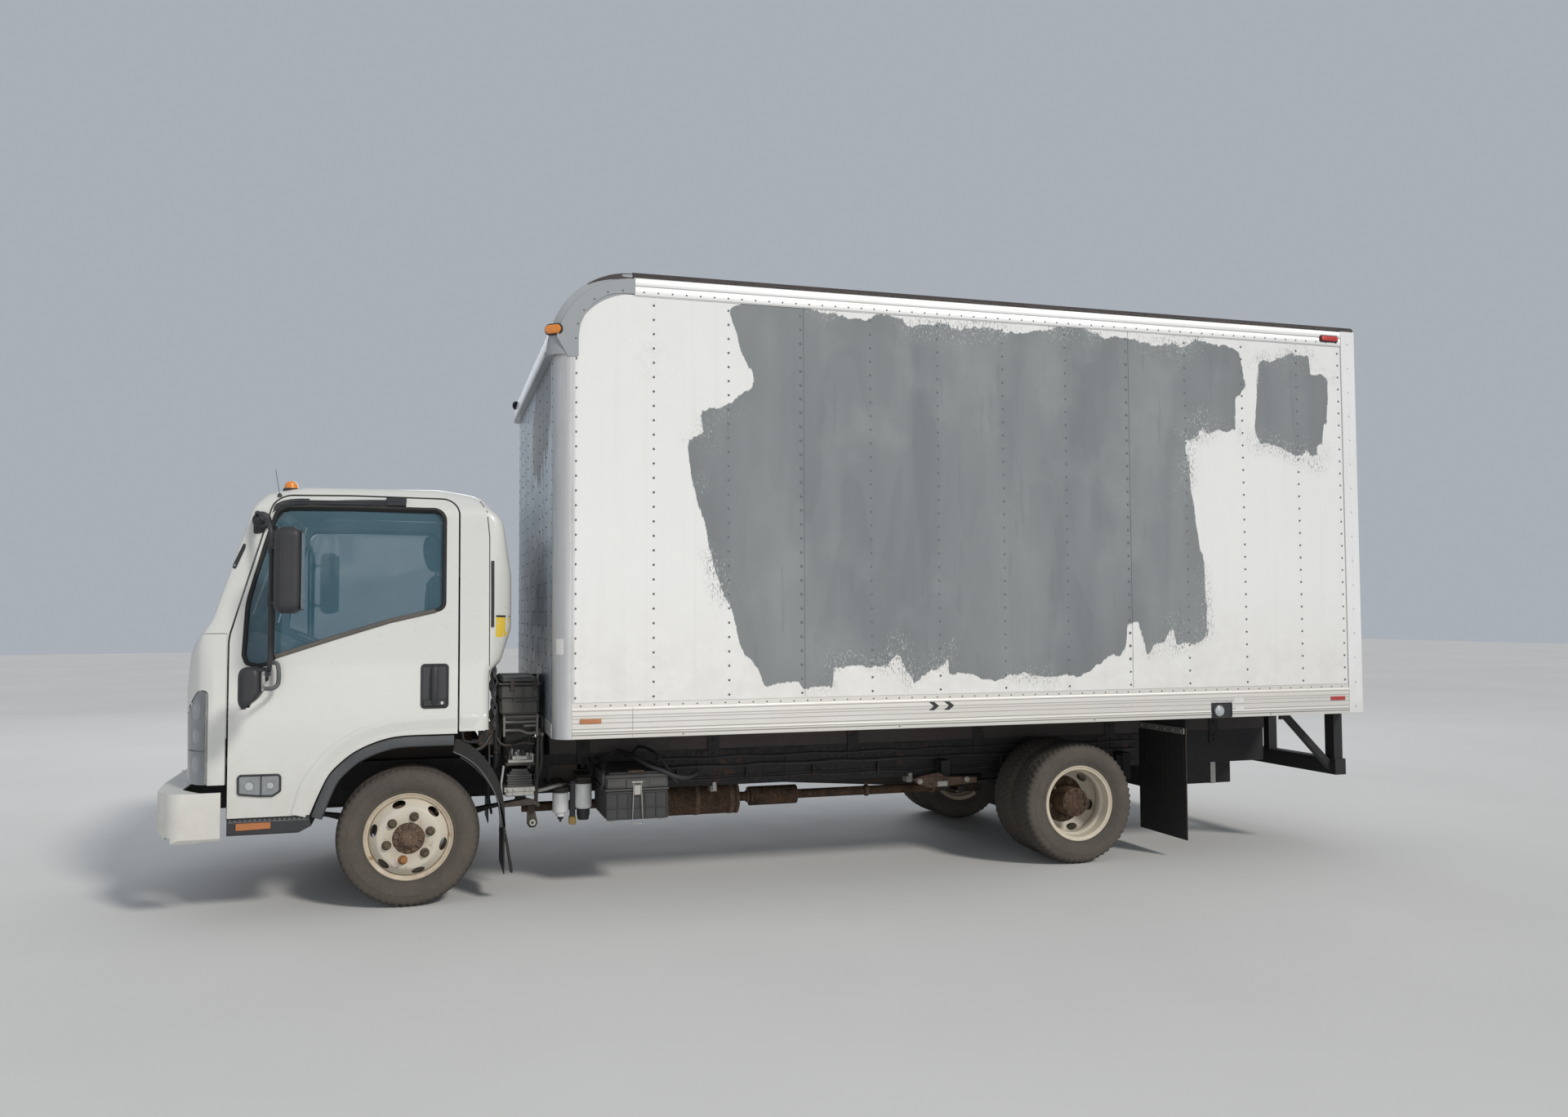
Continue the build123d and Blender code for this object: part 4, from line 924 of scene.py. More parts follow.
for side, s in (("left", 1), ("right", -1)):
    body = "front_%s_wheel" % side
    m = Mesh(); tyre(m, s * FRONT_X, 0.0, False)
    piece("front_%s_tyre_tread" % side, m, body, TYRE_MATS[0.0], replaces=("front_%s_tyre" % side,), angle=42, fix=True)
    # rim
    m = Mesh(); m.lathe(BARREL, (s * FRONT_X, 0, HUB_Z), n=96, side=s)
    disc_with_holes(m, s * FRONT_X, 0.0, s)
    piece("front_%s_rim_pressed" % side, m, body, RIM_MATS[0.0], replaces=("front_%s_rim" % side,), weld=2e-5, angle=40)
    # hub: drum, flange with fins, domed cap, nuts
    m = Mesh()
    c = (s * FRONT_X, 0, HUB_Z)
    m.lathe([(-0.033, 0.0301), (0.146, 0.0301), (0.146, 0.044), (0.132, 0.050), (0.126, 0.0765), (0.118, 0.0778), (0.1175, 0.142), (0.098, 0.142),
             (0.092, 0.160), (0.085, 0.165), (-0.028, 0.165), (-0.030, 0.152), (0.080, 0.152), (0.084, 0.080), (-0.033, 0.060)], c, n=64, side=s)
    for k in range(12):
        a = math.radians(30 * k + 8)
        d = Vector((0, math.sin(a), math.cos(a))); t = Vector((0, math.cos(a), -math.sin(a)))
        base = Vector((s * FRONT_X, 0, HUB_Z))
        q = []
        for r0, r1, x0, x1, w in ((0.046, 0.0765, 0.122, 0.1395, 0.0052),):
            for x, w0 in ((x0, w * 1.25), (x1, w * 0.8)):
                q += [base + d * r0 + t * w0 * 0.8 + Vector((s * x, 0, 0)), base + d * r0 - t * w0 * 0.8 + Vector((s * x, 0, 0)),
                      base + d * (r1 - (0.006 if x == x1 else 0)) - t * w0 + Vector((s * x, 0, 0)), base + d * (r1 - (0.006 if x == x1 else 0)) + t * w0 + Vector((s * x, 0, 0))]
        m.add(q, [[0, 1, 2, 3], [4, 5, 6, 7], [0, 1, 5, 4], [1, 2, 6, 5], [2, 3, 7, 6], [3, 0, 4, 7]])
    m.lathe([(0.138, 0.0), (0.138, 0.0455), (0.143, 0.0472), (0.148, 0.0460), (0.1495, 0.0400), (0.158, 0.0370), (0.1655, 0.0290), (0.1700, 0.0170), (0.1715, 0.0)],
            c, n=40, side=s, closed=False)
    piece("front_%s_hub" % side, m, body, HUB_RUST, angle=35)
    m = Mesh()
    for k, (u, w) in enumerate(lug_points(0.1111)):
        m.use(1 if k == 3 else 0)
        p = Vector((s * (FRONT_X + 0.127), u, HUB_Z + w))
        nn = Vector((s, 0, 0))
        m.lathe([(-0.001, 0.0), (-0.001, 0.0245), (0.0015, 0.0240), (0.004, 0.0190), (0.004, 0.0)], tuple(p), n=20, side=s, closed=False)
        m.bolt(p + nn * 0.003, nn, 0.0188, 0.019, washer=False, turn=0.3 + k, stud=0.006)
    piece("front_%s_wheel_nuts" % side, m, body, [NUT_RUST, NUT_ORANGE], angle=30)

    body = "rear_%s_wheels" % side
    m = Mesh(); tyre(m, s * TWIN_OUT, WB, True); tyre(m, s * TWIN_IN, WB, True, twist=1.7)
    piece("rear_%s_tyres_tread" % side, m, body, TYRE_MATS[WB], replaces=("rear_%s_tyres" % side,), angle=42)
    for nm, xw, dish in (("outer", TWIN_OUT, -1), ("inner", TWIN_IN, 1)):
        m = Mesh(); m.lathe(BARREL, (s * xw, WB, HUB_Z), n=96, side=s)
        disc_with_holes(m, s * xw, WB, s * dish)
        piece("rear_%s_%s_rim" % (side, nm), m, body, RIM_MATS[WB], replaces=("rear_%s_rims" % side,) if nm == "outer" else (),
              weld=2e-5, angle=40)
    m = Mesh()
    c = (s * TWIN_X, WB, HUB_Z)
    m.lathe([(-0.150, 0.0621), (0.155, 0.0621), (0.155, 0.0800), (0.150, 0.0845), (0.060, 0.0850), (0.050, 0.0880), (0.020, 0.0890), (0.011, 0.1000),
             (0.0105, 0.1400), (-0.010, 0.142), (-0.014, 0.160), (-0.020, 0.165), (-0.146, 0.165), (-0.150, 0.152), (-0.024, 0.152), (-0.024, 0.084),
             (-0.150, 0.084)], c, n=64, side=s)
    m.lathe([(0.153, 0.0), (0.153, 0.0835), (0.157, 0.0850), (0.1645, 0.0850), (0.1665, 0.0830), (0.1665, 0.0560), (0.1690, 0.0520), (0.1700, 0.0)],
            c, n=56, side=s, closed=False)
    for u, w in lug_points(0.0690, 10, 8):
        p = Vector((s * (TWIN_X + 0.1660), WB + u, HUB_Z + w))
        m.bolt(p, (s, 0, 0), 0.0072, 0.007, turn=u * 40)
    piece("rear_%s_hub" % side, m, body, RUST, angle=35)
    m = Mesh()
    for k, (u, w) in enumerate(lug_points(0.1111)):
        p = Vector((s * (TWIN_X + 0.0095), WB + u, HUB_Z + w))
        m.lathe([(-0.001, 0.0), (-0.001, 0.026), (0.003, 0.0255), (0.008, 0.0205), (0.008, 0.0)], tuple(p), n=20, side=s, closed=False)
        m.bolt(p + Vector((s * 0.006, 0, 0)), (s, 0, 0), 0.0205, 0.034, washer=False, turn=0.8 * k, stud=0.016)
    piece("rear_%s_wheel_nuts" % side, m, body, NUT_RUST, angle=30)


# ---------------------------------------------------------------------------------------------
# cargo box
# ---------------------------------------------------------------------------------------------
# outlines of the rolled-on grey patches on the left side, (y, z)
PATCHES = [
    [(1.63, 3.12), (1.72, 3.17), (1.82, 3.20), (1.86, 3.17), (2.02, 3.175), (2.17, 3.16), (2.43, 3.13), (2.54, 3.155), (2.63, 3.16), (2.69, 3.10), (2.85, 3.14), (3.03, 3.11),
     (3.32, 3.135), (3.74, 3.16), (3.96, 3.135), (4.18, 3.12), (4.52, 3.125), (4.87, 3.11), (4.90, 3.00), (4.92, 2.86), (4.82, 2.81), (4.81, 2.61), (4.61, 2.58), (4.58, 2.66),
     (4.55, 2.57), (4.47, 2.54), (4.47, 2.23), (4.50, 2.03), (4.56, 1.79), (4.59, 1.35), (4.48, 1.32), (4.38, 1.30), (4.36, 1.42), (4.27, 1.33), (4.17, 1.25), (4.12, 1.44), (4.04, 1.44),
     (4.01, 1.24), (3.94, 1.23), (3.72, 1.11), (3.48, 1.13), (3.22, 1.12), (3.04, 1.13), (2.92, 1.17), (2.91, 1.29), (2.80, 1.19), (2.69, 1.12), (2.62, 1.25), (2.59, 1.32), (2.52, 1.21),
     (2.36, 1.19), (2.21, 1.19), (2.20, 1.08), (2.12, 1.10), (2.05, 1.07), (2.00, 1.13), (1.82, 1.12), (1.78, 1.20), (1.68, 1.33), (1.63, 1.46), (1.57, 1.63), (1.52, 1.80), (1.48, 1.98),
     (1.42, 2.18), (1.38, 2.36), (1.385, 2.42), (1.49, 2.45), (1.47, 2.56), (1.60, 2.63), (1.74, 2.68), (1.775, 2.74), (1.77, 2.79), (1.71, 2.90), (1.68, 3.01)],
    [(4.98, 3.04), (5.02, 3.065), (5.13, 3.08), (5.26, 3.09), (5.38, 3.09), (5.39, 2.99), (5.46, 2.985), (5.53, 2.96), (5.52, 2.78), (5.505, 2.64), (5.485, 2.66), (5.475, 2.47), (5.445, 2.52), (5.435, 2.40), (5.395, 2.46), (5.385, 2.42), (5.345, 2.50), (5.31, 2.47),
     (5.19, 2.50), (5.08, 2.50), (4.98, 2.51), (4.96, 2.57), (4.95, 2.64), (4.97, 2.84)]]


def signed(points, poly):
    """Distance to a closed outline, positive inside (points: n x 2)."""
    P = np.asarray(points, float); A = np.asarray(poly, float); B = np.roll(A, -1, 0)
    best = np.full(len(P), 1e9); ins = np.zeros(len(P), bool)
    for a, b in zip(A, B):
        ab = b - a
        t = np.clip(((P - a) @ ab) / (ab @ ab), 0, 1)
        best = np.minimum(best, np.hypot(*(P - a - t[:, None] * ab).T))
        if a[1] != b[1]:
            c = ((a[1] > P[:, 1]) != (b[1] > P[:, 1])) & (P[:, 0] < (b[0] - a[0]) * (P[:, 1] - a[1]) / (b[1] - a[1]) + a[0])
            ins ^= c
    return np.where(ins, best, -best)


def panel_material(name, axis="y", shade=None):
    """White pre-painted panel: faint runs, chalking, handling marks; grey roller paint where the 'cover' attribute says."""
    m = Mat(name)
    s = m.xyz()
    along, z = s[1 if axis == "y" else 0], s[2]
    tone = m.mix(m.noise(0.7, 4), (0.780, 0.775, 0.760), (0.725, 0.725, 0.712))
    runs = m.noise(2.2, 5, 0.6, m.scaled(9, 9, 0.22) )
    tone = m.mix(m.map(runs, 0.52, 0.80, 0, 0.20), tone, (0.56, 0.555, 0.53))
    low = m.math("MULTIPLY", m.map(z, 1.04, 1.75, 0.34, 0, smooth=True), m.map(m.noise(7, 7, 0.7), 0.3, 0.75))
    tone = m.mix(low, tone, (0.46, 0.42, 0.35))
    if shade:
        # the tone is multiplied by the shade colour: painted shade with a painted blue sky reflection
        tone = m.mix(1.0, tone, shade, "MULTIPLY")
        # darker towards the bottom, in blotches
        darker_low = m.math("MULTIPLY", m.map(m.noise(5.5, 8, 0.72, m.scaled(1.6, 1, 0.8)), 0.36, 0.66, 0.20, 0.95), m.map(z, 0.86, 2.2, 0.98, 0.25))
        tone = m.mix(darker_low, tone, (0.072, 0.072, 0.068))
    # small rubbed-through marks low on the panel and around one old repair
    mk = m.map(m.noise(26, 7, 0.75, m.scaled(1, 1, 2.2)), 0.685, 0.715)
    zone = m.math("MAXIMUM", m.map(z, 1.06, 1.42, 1, 0), 0.05)
    tone = m.mix(m.math("MULTIPLY", mk, m.math("MULTIPLY", zone, 0.55)), tone, (0.27, 0.26, 0.24))
    scr = m.attr("scratch")
    sn = m.noise(30, 6, 0.8, m.scaled(1.0, 1.0, 1.0), 0.8)
    sn = m.math("ABSOLUTE", m.math("SUBTRACT", sn, 0.5))
    sl = m.math("MULTIPLY", m.map(sn, 0.0, 0.012, 1, 0), m.map(m.noise(13, 4), 0.50, 0.58))
    tone = m.mix(m.math("MULTIPLY", sl, m.map(scr, -0.12, 0.10, 0, 0.75)), tone, (0.34, 0.33, 0.31))
    # roller paint: smooth body, broken edge
    cov = m.attr("cover")
    stroke = m.noise(5.2, 3, 0.55, m.scaled(1.0, 1.0, 0.10))
    fine = m.noise(30, 5, 0.7, m.scaled(1.0, 1.0, 0.16))
    grit = m.noise(70, 5, 0.75)
    e = m.math("ADD", cov, m.math("MULTIPLY", m.math("SUBTRACT", stroke, 0.5), 0.16))
    e = m.math("ADD", e, m.math("MULTIPLY", m.math("SUBTRACT", fine, 0.5), 0.045))
    e = m.math("ADD", e, m.math("MULTIPLY", m.math("SUBTRACT", grit, 0.5), 0.016))
    mask = m.map(e, -0.0015, 0.0025, 0, 1)
    # dry roller: broken speckle just outside and inside the edge, only along some stretches
    drag = m.map(m.noise(1.9, 3, 0.5), 0.46, 0.60)
    speck = m.map(m.noise(110, 5, 0.75, m.scaled(1.0, 1.0, 0.45)), 0.52, 0.57)
    dry = m.math("MULTIPLY", m.math("MULTIPLY", m.map(e, -0.085, -0.004, 0, 1), drag), speck)
    gaps = m.math("MULTIPLY", m.map(m.noise(140, 4, 0.75, m.scaled(1.0, 1.0, 0.5)), 0.56, 0.62), m.math("MULTIPLY", m.map(e, 0.0, 0.13, 0.95, 0.0), drag))
    mask = m.math("MAXIMUM", m.math("SUBTRACT", mask, gaps, clamp=True), dry)
    band = m.noise(1.15, 3, 0.5, m.scaled(1, 3.2, 0.55), 0.3)
    cloud = m.noise(2.1, 4, 0.6)
    slabs = m.noise(1.6, 2, 0.4, m.scaled(1, 2.3, 0.62))
    grey = m.mix(m.map(band, 0.30, 0.70), (0.165, 0.182, 0.190), (0.222, 0.240, 0.246))
    grey = m.mix(m.map(slabs, 0.515, 0.530, 0, 0.16), grey, (0.255, 0.272, 0.278))
    grey = m.mix(m.map(cloud, 0.52, 0.78, 0, 0.42), grey, (0.32, 0.335, 0.335))
    edges = m.math("MULTIPLY", m.map(m.noise(3.4, 5, 0.7, m.scaled(1, 4.5, 0.4)), 0.60, 0.63, 0, 1), 0.30)
    grey = m.mix(edges, grey, (0.145, 0.158, 0.165))
    grey = m.mix(m.map(cov, 0.0, 0.16, 0.28, 0), grey, (0.15, 0.155, 0.155))
    col = m.mix(mask, tone, grey)
    m.bump(m.math("MULTIPLY", mask, m.noise(230, 3, 0.6)), 0.0009, 0.35)
    rg = m.mix(mask, m.map(m.noise(9, 5), 0.3, 0.75, 0.30, 0.46), m.map(band, 0.3, 0.7, 0.42, 0.56))
    return m.set(base=col, rough=rg, coat=0.08, coat_rough=0.2, spec=0.45)


SIDE_PANEL = panel_material("box_side_panel_paint")
# the front wall's shade colour is painted shade with a painted blue sky reflection
FRONT_PANEL = panel_material("box_front_panel_paint_painted_shade", axis="x", shade=(0.52, 0.62, 0.70))

BOX_X, WALL_X, WALL_IN = 1.219, 1.2172, 1.174
WALL_Y0, WALL_Y1, WALL_Z0, WALL_Z1 = 0.7945, 5.6150, 1.0402, 3.1718
# the cap's inner border on the side, (y, z) from the lower end up and back
CAP_BORDER = [(0.820, 2.842), (0.820, 2.900), (0.821, 2.945), (0.831, 3.002), (0.856, 3.059), (0.886, 3.101), (0.926, 3.134), (0.966, 3.158),
              (1.007, 3.170), (1.057, 3.176), (1.116, 3.176)]
SCRATCH = [(1.05, 2.90), (1.13, 2.97), (1.23, 2.95), (1.36, 2.90), (1.37, 2.80), (1.31, 2.74), (1.20, 2.73), (1.12, 2.75), (1.04, 2.80)]


def add_attr(obj, name, values):
    a = obj.data.attributes.new(name, "FLOAT", "POINT")
    a.data.foreach_set("value", np.asarray(values, np.float32))


def wall(side, s):
    ys = list(np.arange(WALL_Y0, WALL_Y1, 0.0222)) + [WALL_Y1]
    zs = list(np.arange(WALL_Z0, WALL_Z1, 0.0222)) + [WALL_Z1]
    rows = []
    for y in ys:
        row = []
        for z in zs:
            # panels are drawn in at the rivet posts and stand a little proud between them
            ph = (y - 0.8085) / 0.4064
            swell = 0.5 - 0.5 * math.cos(2 * math.pi * ph)
            w = 0.0016 * swell * math.sin(math.pi * (z - WALL_Z0) / (WALL_Z1 - WALL_Z0)) ** 0.5
            w += 0.0007 * math.sin(2.3 * z + 1.7 * y + (2 if s < 0 else 0)) * swell
            # the corner under the nose cap
            yy, zz = y, z
            dy, dz = 1.116 - y, z - 2.838
            if dy > 0 and dz > 0:
                q = math.hypot(dy, dz)
                if q > 0.345:
                    yy, zz = 1.116 - dy * 0.345 / q, 2.838 + dz * 0.345 / q
            row.append((s * (WALL_X - 0.0012 + w), yy, zz))
        rows.append(row)
    m = Mesh(); m.grid(rows)
    # inner liner and the closing edges
    coarse = Mesh()
    o = [(WALL_Y0, WALL_Z0), (WALL_Y1, WALL_Z0), (WALL_Y1, WALL_Z1), (1.116, WALL_Z1)] + [(1.116 - 0.345 * math.sin(math.radians(a)), 2.838 + 0.345 * math.cos(math.radians(a))) for a in range(10, 90, 10)] + [(0.7945, 2.838)]
    coarse.prism(o, "x", s * WALL_IN, s * (WALL_X - 0.004), b=0.0005)
    k = len(m.v)
    m.plus(coarse)
    o = piece("box_%s_wall_panels" % side, m, "chassis", SIDE_PANEL, angle=50, fix=False)
    pts = np.array([(v[1], v[2]) for v in m.v])
    cover = np.maximum(signed(pts, PATCHES[0]), signed(pts, PATCHES[1]))
    scr = signed(pts, SCRATCH)
    if s < 0:
        cover = np.full(len(pts), -1.0)
    inner = np.abs(np.array([v[0] for v in m.v])) < 1.2150
    cover[inner & (np.arange(len(pts)) >= k)] = -1.0
    scr[np.arange(len(pts)) >= k] = -1
    add_attr(o, "cover", cover); add_attr(o, "scratch", scr)
    return o


for side, s in (("left", 1), ("right", -1)):
    ob = wall(side, s)
    if s > 0:
        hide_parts("box_side_walls")


# rivets: two sets, bare on the white and painted over in the grey
RIVET_DARK = dusty_black("rivet_dull", base=(0.105, 0.105, 0.105), dirt=(0.22, 0.205, 0.18), amount=0.6, rough=0.5)
RIVET_GREY = paint("rivet_painted_grey", (0.17, 0.185, 0.192), (0.145, 0.158, 0.165), amount=0.1, low=0.5, high=1.2, rough=0.5, coat=0.0)


def in_patch(y, z):
    p = np.array([(y, z)])
    return max(signed(p, PATCHES[0])[0], signed(p, PATCHES[1])[0]) > -0.01


for side, s in (("left", 1), ("right", -1)):
    m = Mesh()
    n = (s, 0, 0)
    cols = [0.8085 + 0.4064 * i for i in range(12)] + [5.592]
    # posts 3 and 8 carry a lapped seam
    for i, y in enumerate(cols):
        z = 1.065
        while z < 3.165:
            dy, dz = 1.116 - y, z - 2.838
            if not (dy > 0 and dz > 0 and math.hypot(dy, dz) > 0.335) and not (y < 0.83 and z > 2.82):
                m.use(1 if s > 0 and in_patch(y, z) else 0)
                m.rivet((s * (WALL_X - 0.0008), y, z), n, *((0.0085, 0.0045) if i in (3, 8) and 1.2 < z < 3.0 else (0.0066, 0.0036)))
            z += 0.0762
    for y in (cols[3] + 0.016, cols[8] + 0.016):
        m.use(1 if s > 0 else 0)
        m.box(s * (WALL_X - 0.0008), s * (WALL_X + 0.0006), y - 0.0006, y + 0.0006, 1.045, 3.168, b=0.0002)
    piece("box_%s_wall_rivets" % side, m, "chassis", [RIVET_DARK, RIVET_GREY], fix=True)

# bottom rail: ribbed extrusion over the wall's foot, with a recess for a lamp; outline in (z, x)
RAIL_PROF = [(1.0395, 1.2180), (1.0390, 1.2196), (1.0130, 1.2200), (1.0110, 1.2214), (1.0080, 1.2228), (0.9990, 1.2230), (0.9965, 1.2216), (0.9920, 1.2212),
             (0.9895, 1.2218), (0.9740, 1.2220), (0.9725, 1.2207), (0.9700, 1.2207), (0.9685, 1.2220), (0.9600, 1.2221), (0.9585, 1.2208), (0.9560, 1.2208),
             (0.9545, 1.2221), (0.9370, 1.2221), (0.9355, 1.2208), (0.9330, 1.2208), (0.9315, 1.2221), (0.9070, 1.2221), (0.9050, 1.2208), (0.9025, 1.2208),
             (0.9005, 1.2223), (0.8920, 1.2228), (0.8880, 1.2250), (0.8830, 1.2256), (0.8780, 1.2250), (0.8745, 1.2226), (0.8600, 1.2224), (0.8550, 1.2215), (0.8548, 1.2185)]


def rail_run(m, s, y0, y1, z_lo=None, z_hi=None):
    prof = [(z, x) for z, x in RAIL_PROF if (z_lo is None or z >= z_lo) and (z_hi is None or z <= z_hi)]
    pts = [(x, z) for z, x in prof] + [(1.2175, prof[-1][0]), (1.2175, prof[0][0])]
    m.prism([(s * x, z) for x, z in pts], "y", y0, y1, b=0.0)




def lined_alloy(name, lines, base, warm):
    """Extruded rail: bare metal gone pale and warm, with darker lines along its grooves."""
    m = Mat(name)
    z = m.xyz()[2]
    n1 = m.noise(2.4, 7, 0.68, m.scaled(1, 0.35, 1))
    brush = m.noise(3, 5, 0.6, m.scaled(70, 1.2, 70))
    col = m.mix(m.map(brush, 0.25, 0.75), tuple(c * 0.93 for c in base), base)
    col = m.mix(m.map(n1, 0.40, 0.75, 0, 0.7), col, warm)
    col = m.mix(m.map(m.noise(30, 6, 0.7), 0.60, 0.78, 0, 0.3), col, (0.40, 0.37, 0.32))
    for zc, wd, k in lines:
        d = m.math("ABSOLUTE", m.math("SUBTRACT", z, zc))
        col = m.mix(m.math("MULTIPLY", m.map(d, wd * 0.5, wd, 1, 0), m.map(n1, 0.2, 0.7, k, k * 0.7)), col, (0.10, 0.095, 0.085))
    m.bump(brush, 0.0003, 0.25)
    return m.set(base=col, metal=m.map(n1, 0.3, 0.8, 0.42, 0.22), rough=m.map(n1, 0.3, 0.8, 0.40, 0.6))


PROFILE_ALLOY = lined_alloy("ribbed_rail_alloy", [(1.0395, 0.0022, 0.7), (0.9985, 0.0024, 0.40), (0.9713, 0.0030, 0.38), (0.9573, 0.0030, 0.38), (0.9343, 0.0030, 0.45), (0.9045, 0.0032, 0.55),
                            (0.8885, 0.0040, 0.95), (0.8745, 0.0030, 0.9)], (0.675, 0.662, 0.628), (0.600, 0.572, 0.510))
LAMP_Y0, LAMP_Y1, LAMP_Z0, LAMP_Z1 = 4.604, 4.752, 0.8560, 0.9440
for side, s in (("left", 1), ("right", -1)):
    m = Mesh()
    rail_run(m, s, 0.7935, LAMP_Y0)
    rail_run(m, s, LAMP_Y0, LAMP_Y1, z_lo=LAMP_Z1)
    rail_run(m, s, LAMP_Y1, 5.6150)
    piece("box_%s_bottom_rail" % side, m, "chassis", PROFILE_ALLOY, angle=30)
    m = Mesh()
    y = 0.8370
    k = 0
    while y < 5.60:
        m.rivet((s * 1.2198, y, 1.0235), (s, 0, 0), 0.0046, 0.0024)
        if k % 16 == 7:
            m.rivet((s * 1.2221, y, 0.8670), (s, 0, 0), 0.0046, 0.0024)
        y += 0.0762; k += 1
    m.box(s * 1.2205, s * 1.2231, 1.1040, 1.1054, 0.8590, 1.0110, b=0.0002)
    piece("box_%s_rail_rivets" % side, m, "chassis", RIVET_DARK)
    # chevrons and blank plates
    m = Mesh()
    for y0 in (2.765, 2.857):
        o = [(y0, 0.997), (y0 + 0.032, 0.997), (y0 + 0.062, 0.9735), (y0 + 0.032, 0.950), (y0, 0.950), (y0 + 0.030, 0.9735)]
        m.prism(o, "x", s * 1.2205, s * 1.2228, b=0.0003)
    piece("box_%s_rail_chevrons" % side, m, "chassis", BLACK_PLASTIC)
    m = Mesh()
    m.prism(rounded([(4.768, 0.940), (4.835, 0.940), (4.835, 0.972), (4.768, 0.972)], 0.002), "x", s * 1.2205, s * 1.2226, b=0.0003)
    m.prism(rounded([(4.774, 0.900), (4.836, 0.900), (4.836, 0.919), (4.774, 0.919)], 0.002), "x", s * 1.2205, s * 1.2226, b=0.0003)
    piece("box_%s_blank_plates" % side, m, "chassis", LABEL_WHITE)

# corner posts: satin quarter rounds with a rear flange
for side, s in (("left", 1), ("right", -1)):
    m = Mesh()
    R = 0.0925
    cx0, cy0 = 1.219 - 0.092, 0.701 + 0.092
    arc = []
    for k in range(0, 25):
        a = math.radians(-3 + 96 * k / 24)
        arc.append((cx0 + R * math.sin(math.pi / 2 - a), cy0 - R * math.cos(math.pi / 2 - a) * 1.0))
    outer = [(1.2196, 0.8045), (1.2196, 0.7935)] + [(cx0 + R * math.cos(math.radians(a)), cy0 - R * math.sin(math.radians(a))) for a in range(0, 91, 4)] + [(1.118, 0.7000), (1.107, 0.7002)]
    inner = [(1.107, 0.7034)] + [(cx0 + (R - 0.0026) * math.cos(math.radians(a)), cy0 - (R - 0.0026) * math.sin(math.radians(a))) for a in range(88, -1, -4)] + [(1.2176, 0.8045)]
    o = [(s * x, y) for x, y in outer + inner]
    m.prism(o, "z", 0.8545, 2.8390, b=0.0004)
    # a raised bead along the flange's edge
    m.box(s * 1.2190, s * 1.2212, 0.7905, 0.7935, 1.040, 2.838, b=0.0006)
    piece("box_%s_corner_post" % side, m, "chassis", POST_ALLOY, angle=30)

# top rail: two-step profile, white, with rivets; roof edge trim above it, all from the cap to the rear frame
TOP_RAIL_MAT = lined_alloy("top_rail_alloy", [(3.1700, 0.0022, 0.7), (3.2170, 0.0030, 0.75), (3.2640, 0.0030, 0.6)], (0.76, 0.765, 0.76), (0.70, 0.70, 0.675))
TOP_PROF = [(1.2176, 3.1660), (1.2196, 3.1660), (1.2206, 3.1700), (1.2206, 3.2120), (1.2192, 3.2150), (1.2192, 3.2190), (1.2215, 3.2220), (1.2222, 3.2300),
            (1.2210, 3.2480), (1.2160, 3.2640), (1.2060, 3.2790), (1.2030, 3.2790), (1.2100, 3.2600), (1.2176, 3.2400)]
TRIM_PROF = [(1.2226, 3.2680), (1.2215, 3.2720), (1.2120, 3.2860), (1.1980, 3.2950), (1.1700, 3.2958), (1.1300, 3.2958), (1.1300, 3.2925), (1.1900, 3.2915), (1.2050, 3.2825), (1.2140, 3.2725),
             (1.2170, 3.2680)]
for side, s in (("left", 1), ("right", -1)):
    m = Mesh()
    m.prism([(s * x, z) for x, z in TOP_PROF], "y", 1.1100, 5.6150, b=0.0)
    piece("box_%s_top_rail" % side, m, "chassis", TOP_RAIL_MAT, angle=30)
    m = Mesh()
    m.prism([(s * x, z) for x, z in TRIM_PROF], "y", 1.1050, 5.7150, b=0.0)
    y = 1.15
    while y < 5.70:
        m.rivet((s * 1.2190, y, 3.2760), (s * 0.75, 0, 0.65), 0.006, 0.003)
        y += 0.1016
    piece("box_%s_roof_trim" % side, m, "chassis", TRIM_BROWN, angle=30)
    m = Mesh()
    y = 1.1620
    while y < 5.60:
        m.rivet((s * 1.2205, y, 3.1880), (s, 0, 0), 0.0052, 0.0026)
        y += 0.0762
    piece("box_%s_top_rivets" % side, m, "chassis", RIVET_DARK)

# nose cap cheeks: a lip over the panel corner with its own edge, rivets inside the border
for side, s in (("left", 1), ("right", -1)):
    m = Mesh()
    border = [Vector(p) for p in CAP_BORDER]
    outer = [(1.116, 3.2570)] + [(1.116 - 0.419 * math.sin(math.radians(a)), 2.838 + 0.419 * math.cos(math.radians(a))) for a in range(6, 90, 6)]
    o = [tuple(p) for p in border] + outer + [(0.765, 2.8265)] + [(0.8120, 2.8265), (0.8200, 2.8330)]
    # run: border from low to high, back over the outer arc, down to the lower edge
    o = [(y, z) for y, z in o if y >= 0.7650 or z > 2.9]
    clean = []
    for p in o:
        if not clean or (Vector(p) - Vector(clean[-1])).length > 0.002:
            clean.append(p)
    m.prism(clean, "x", s * 1.2160, s * 1.2232, b=0.0012)
    piece("nose_cap_%s_cheek" % side, m, "chassis", FRP, angle=30)
    m = Mesh()
    pts = spline([(0, a, b) for a, b in CAP_BORDER], 8)
    d, acc = 0.0, 0.0
    for a, b in zip(pts, pts[1:]):
        t = (b - a).normalized(); nn = Vector((0, -t.z, t.y))
        acc += (b - a).length
        if acc >= 0.0762:
            acc -= 0.0762
            q = b + nn * 0.0135
            m.rivet((s * 1.2230, q.y, q.z), (s, 0, 0), 0.0052, 0.0026)
    piece("nose_cap_%s_rivets" % side, m, "chassis", RIVET_DARK)

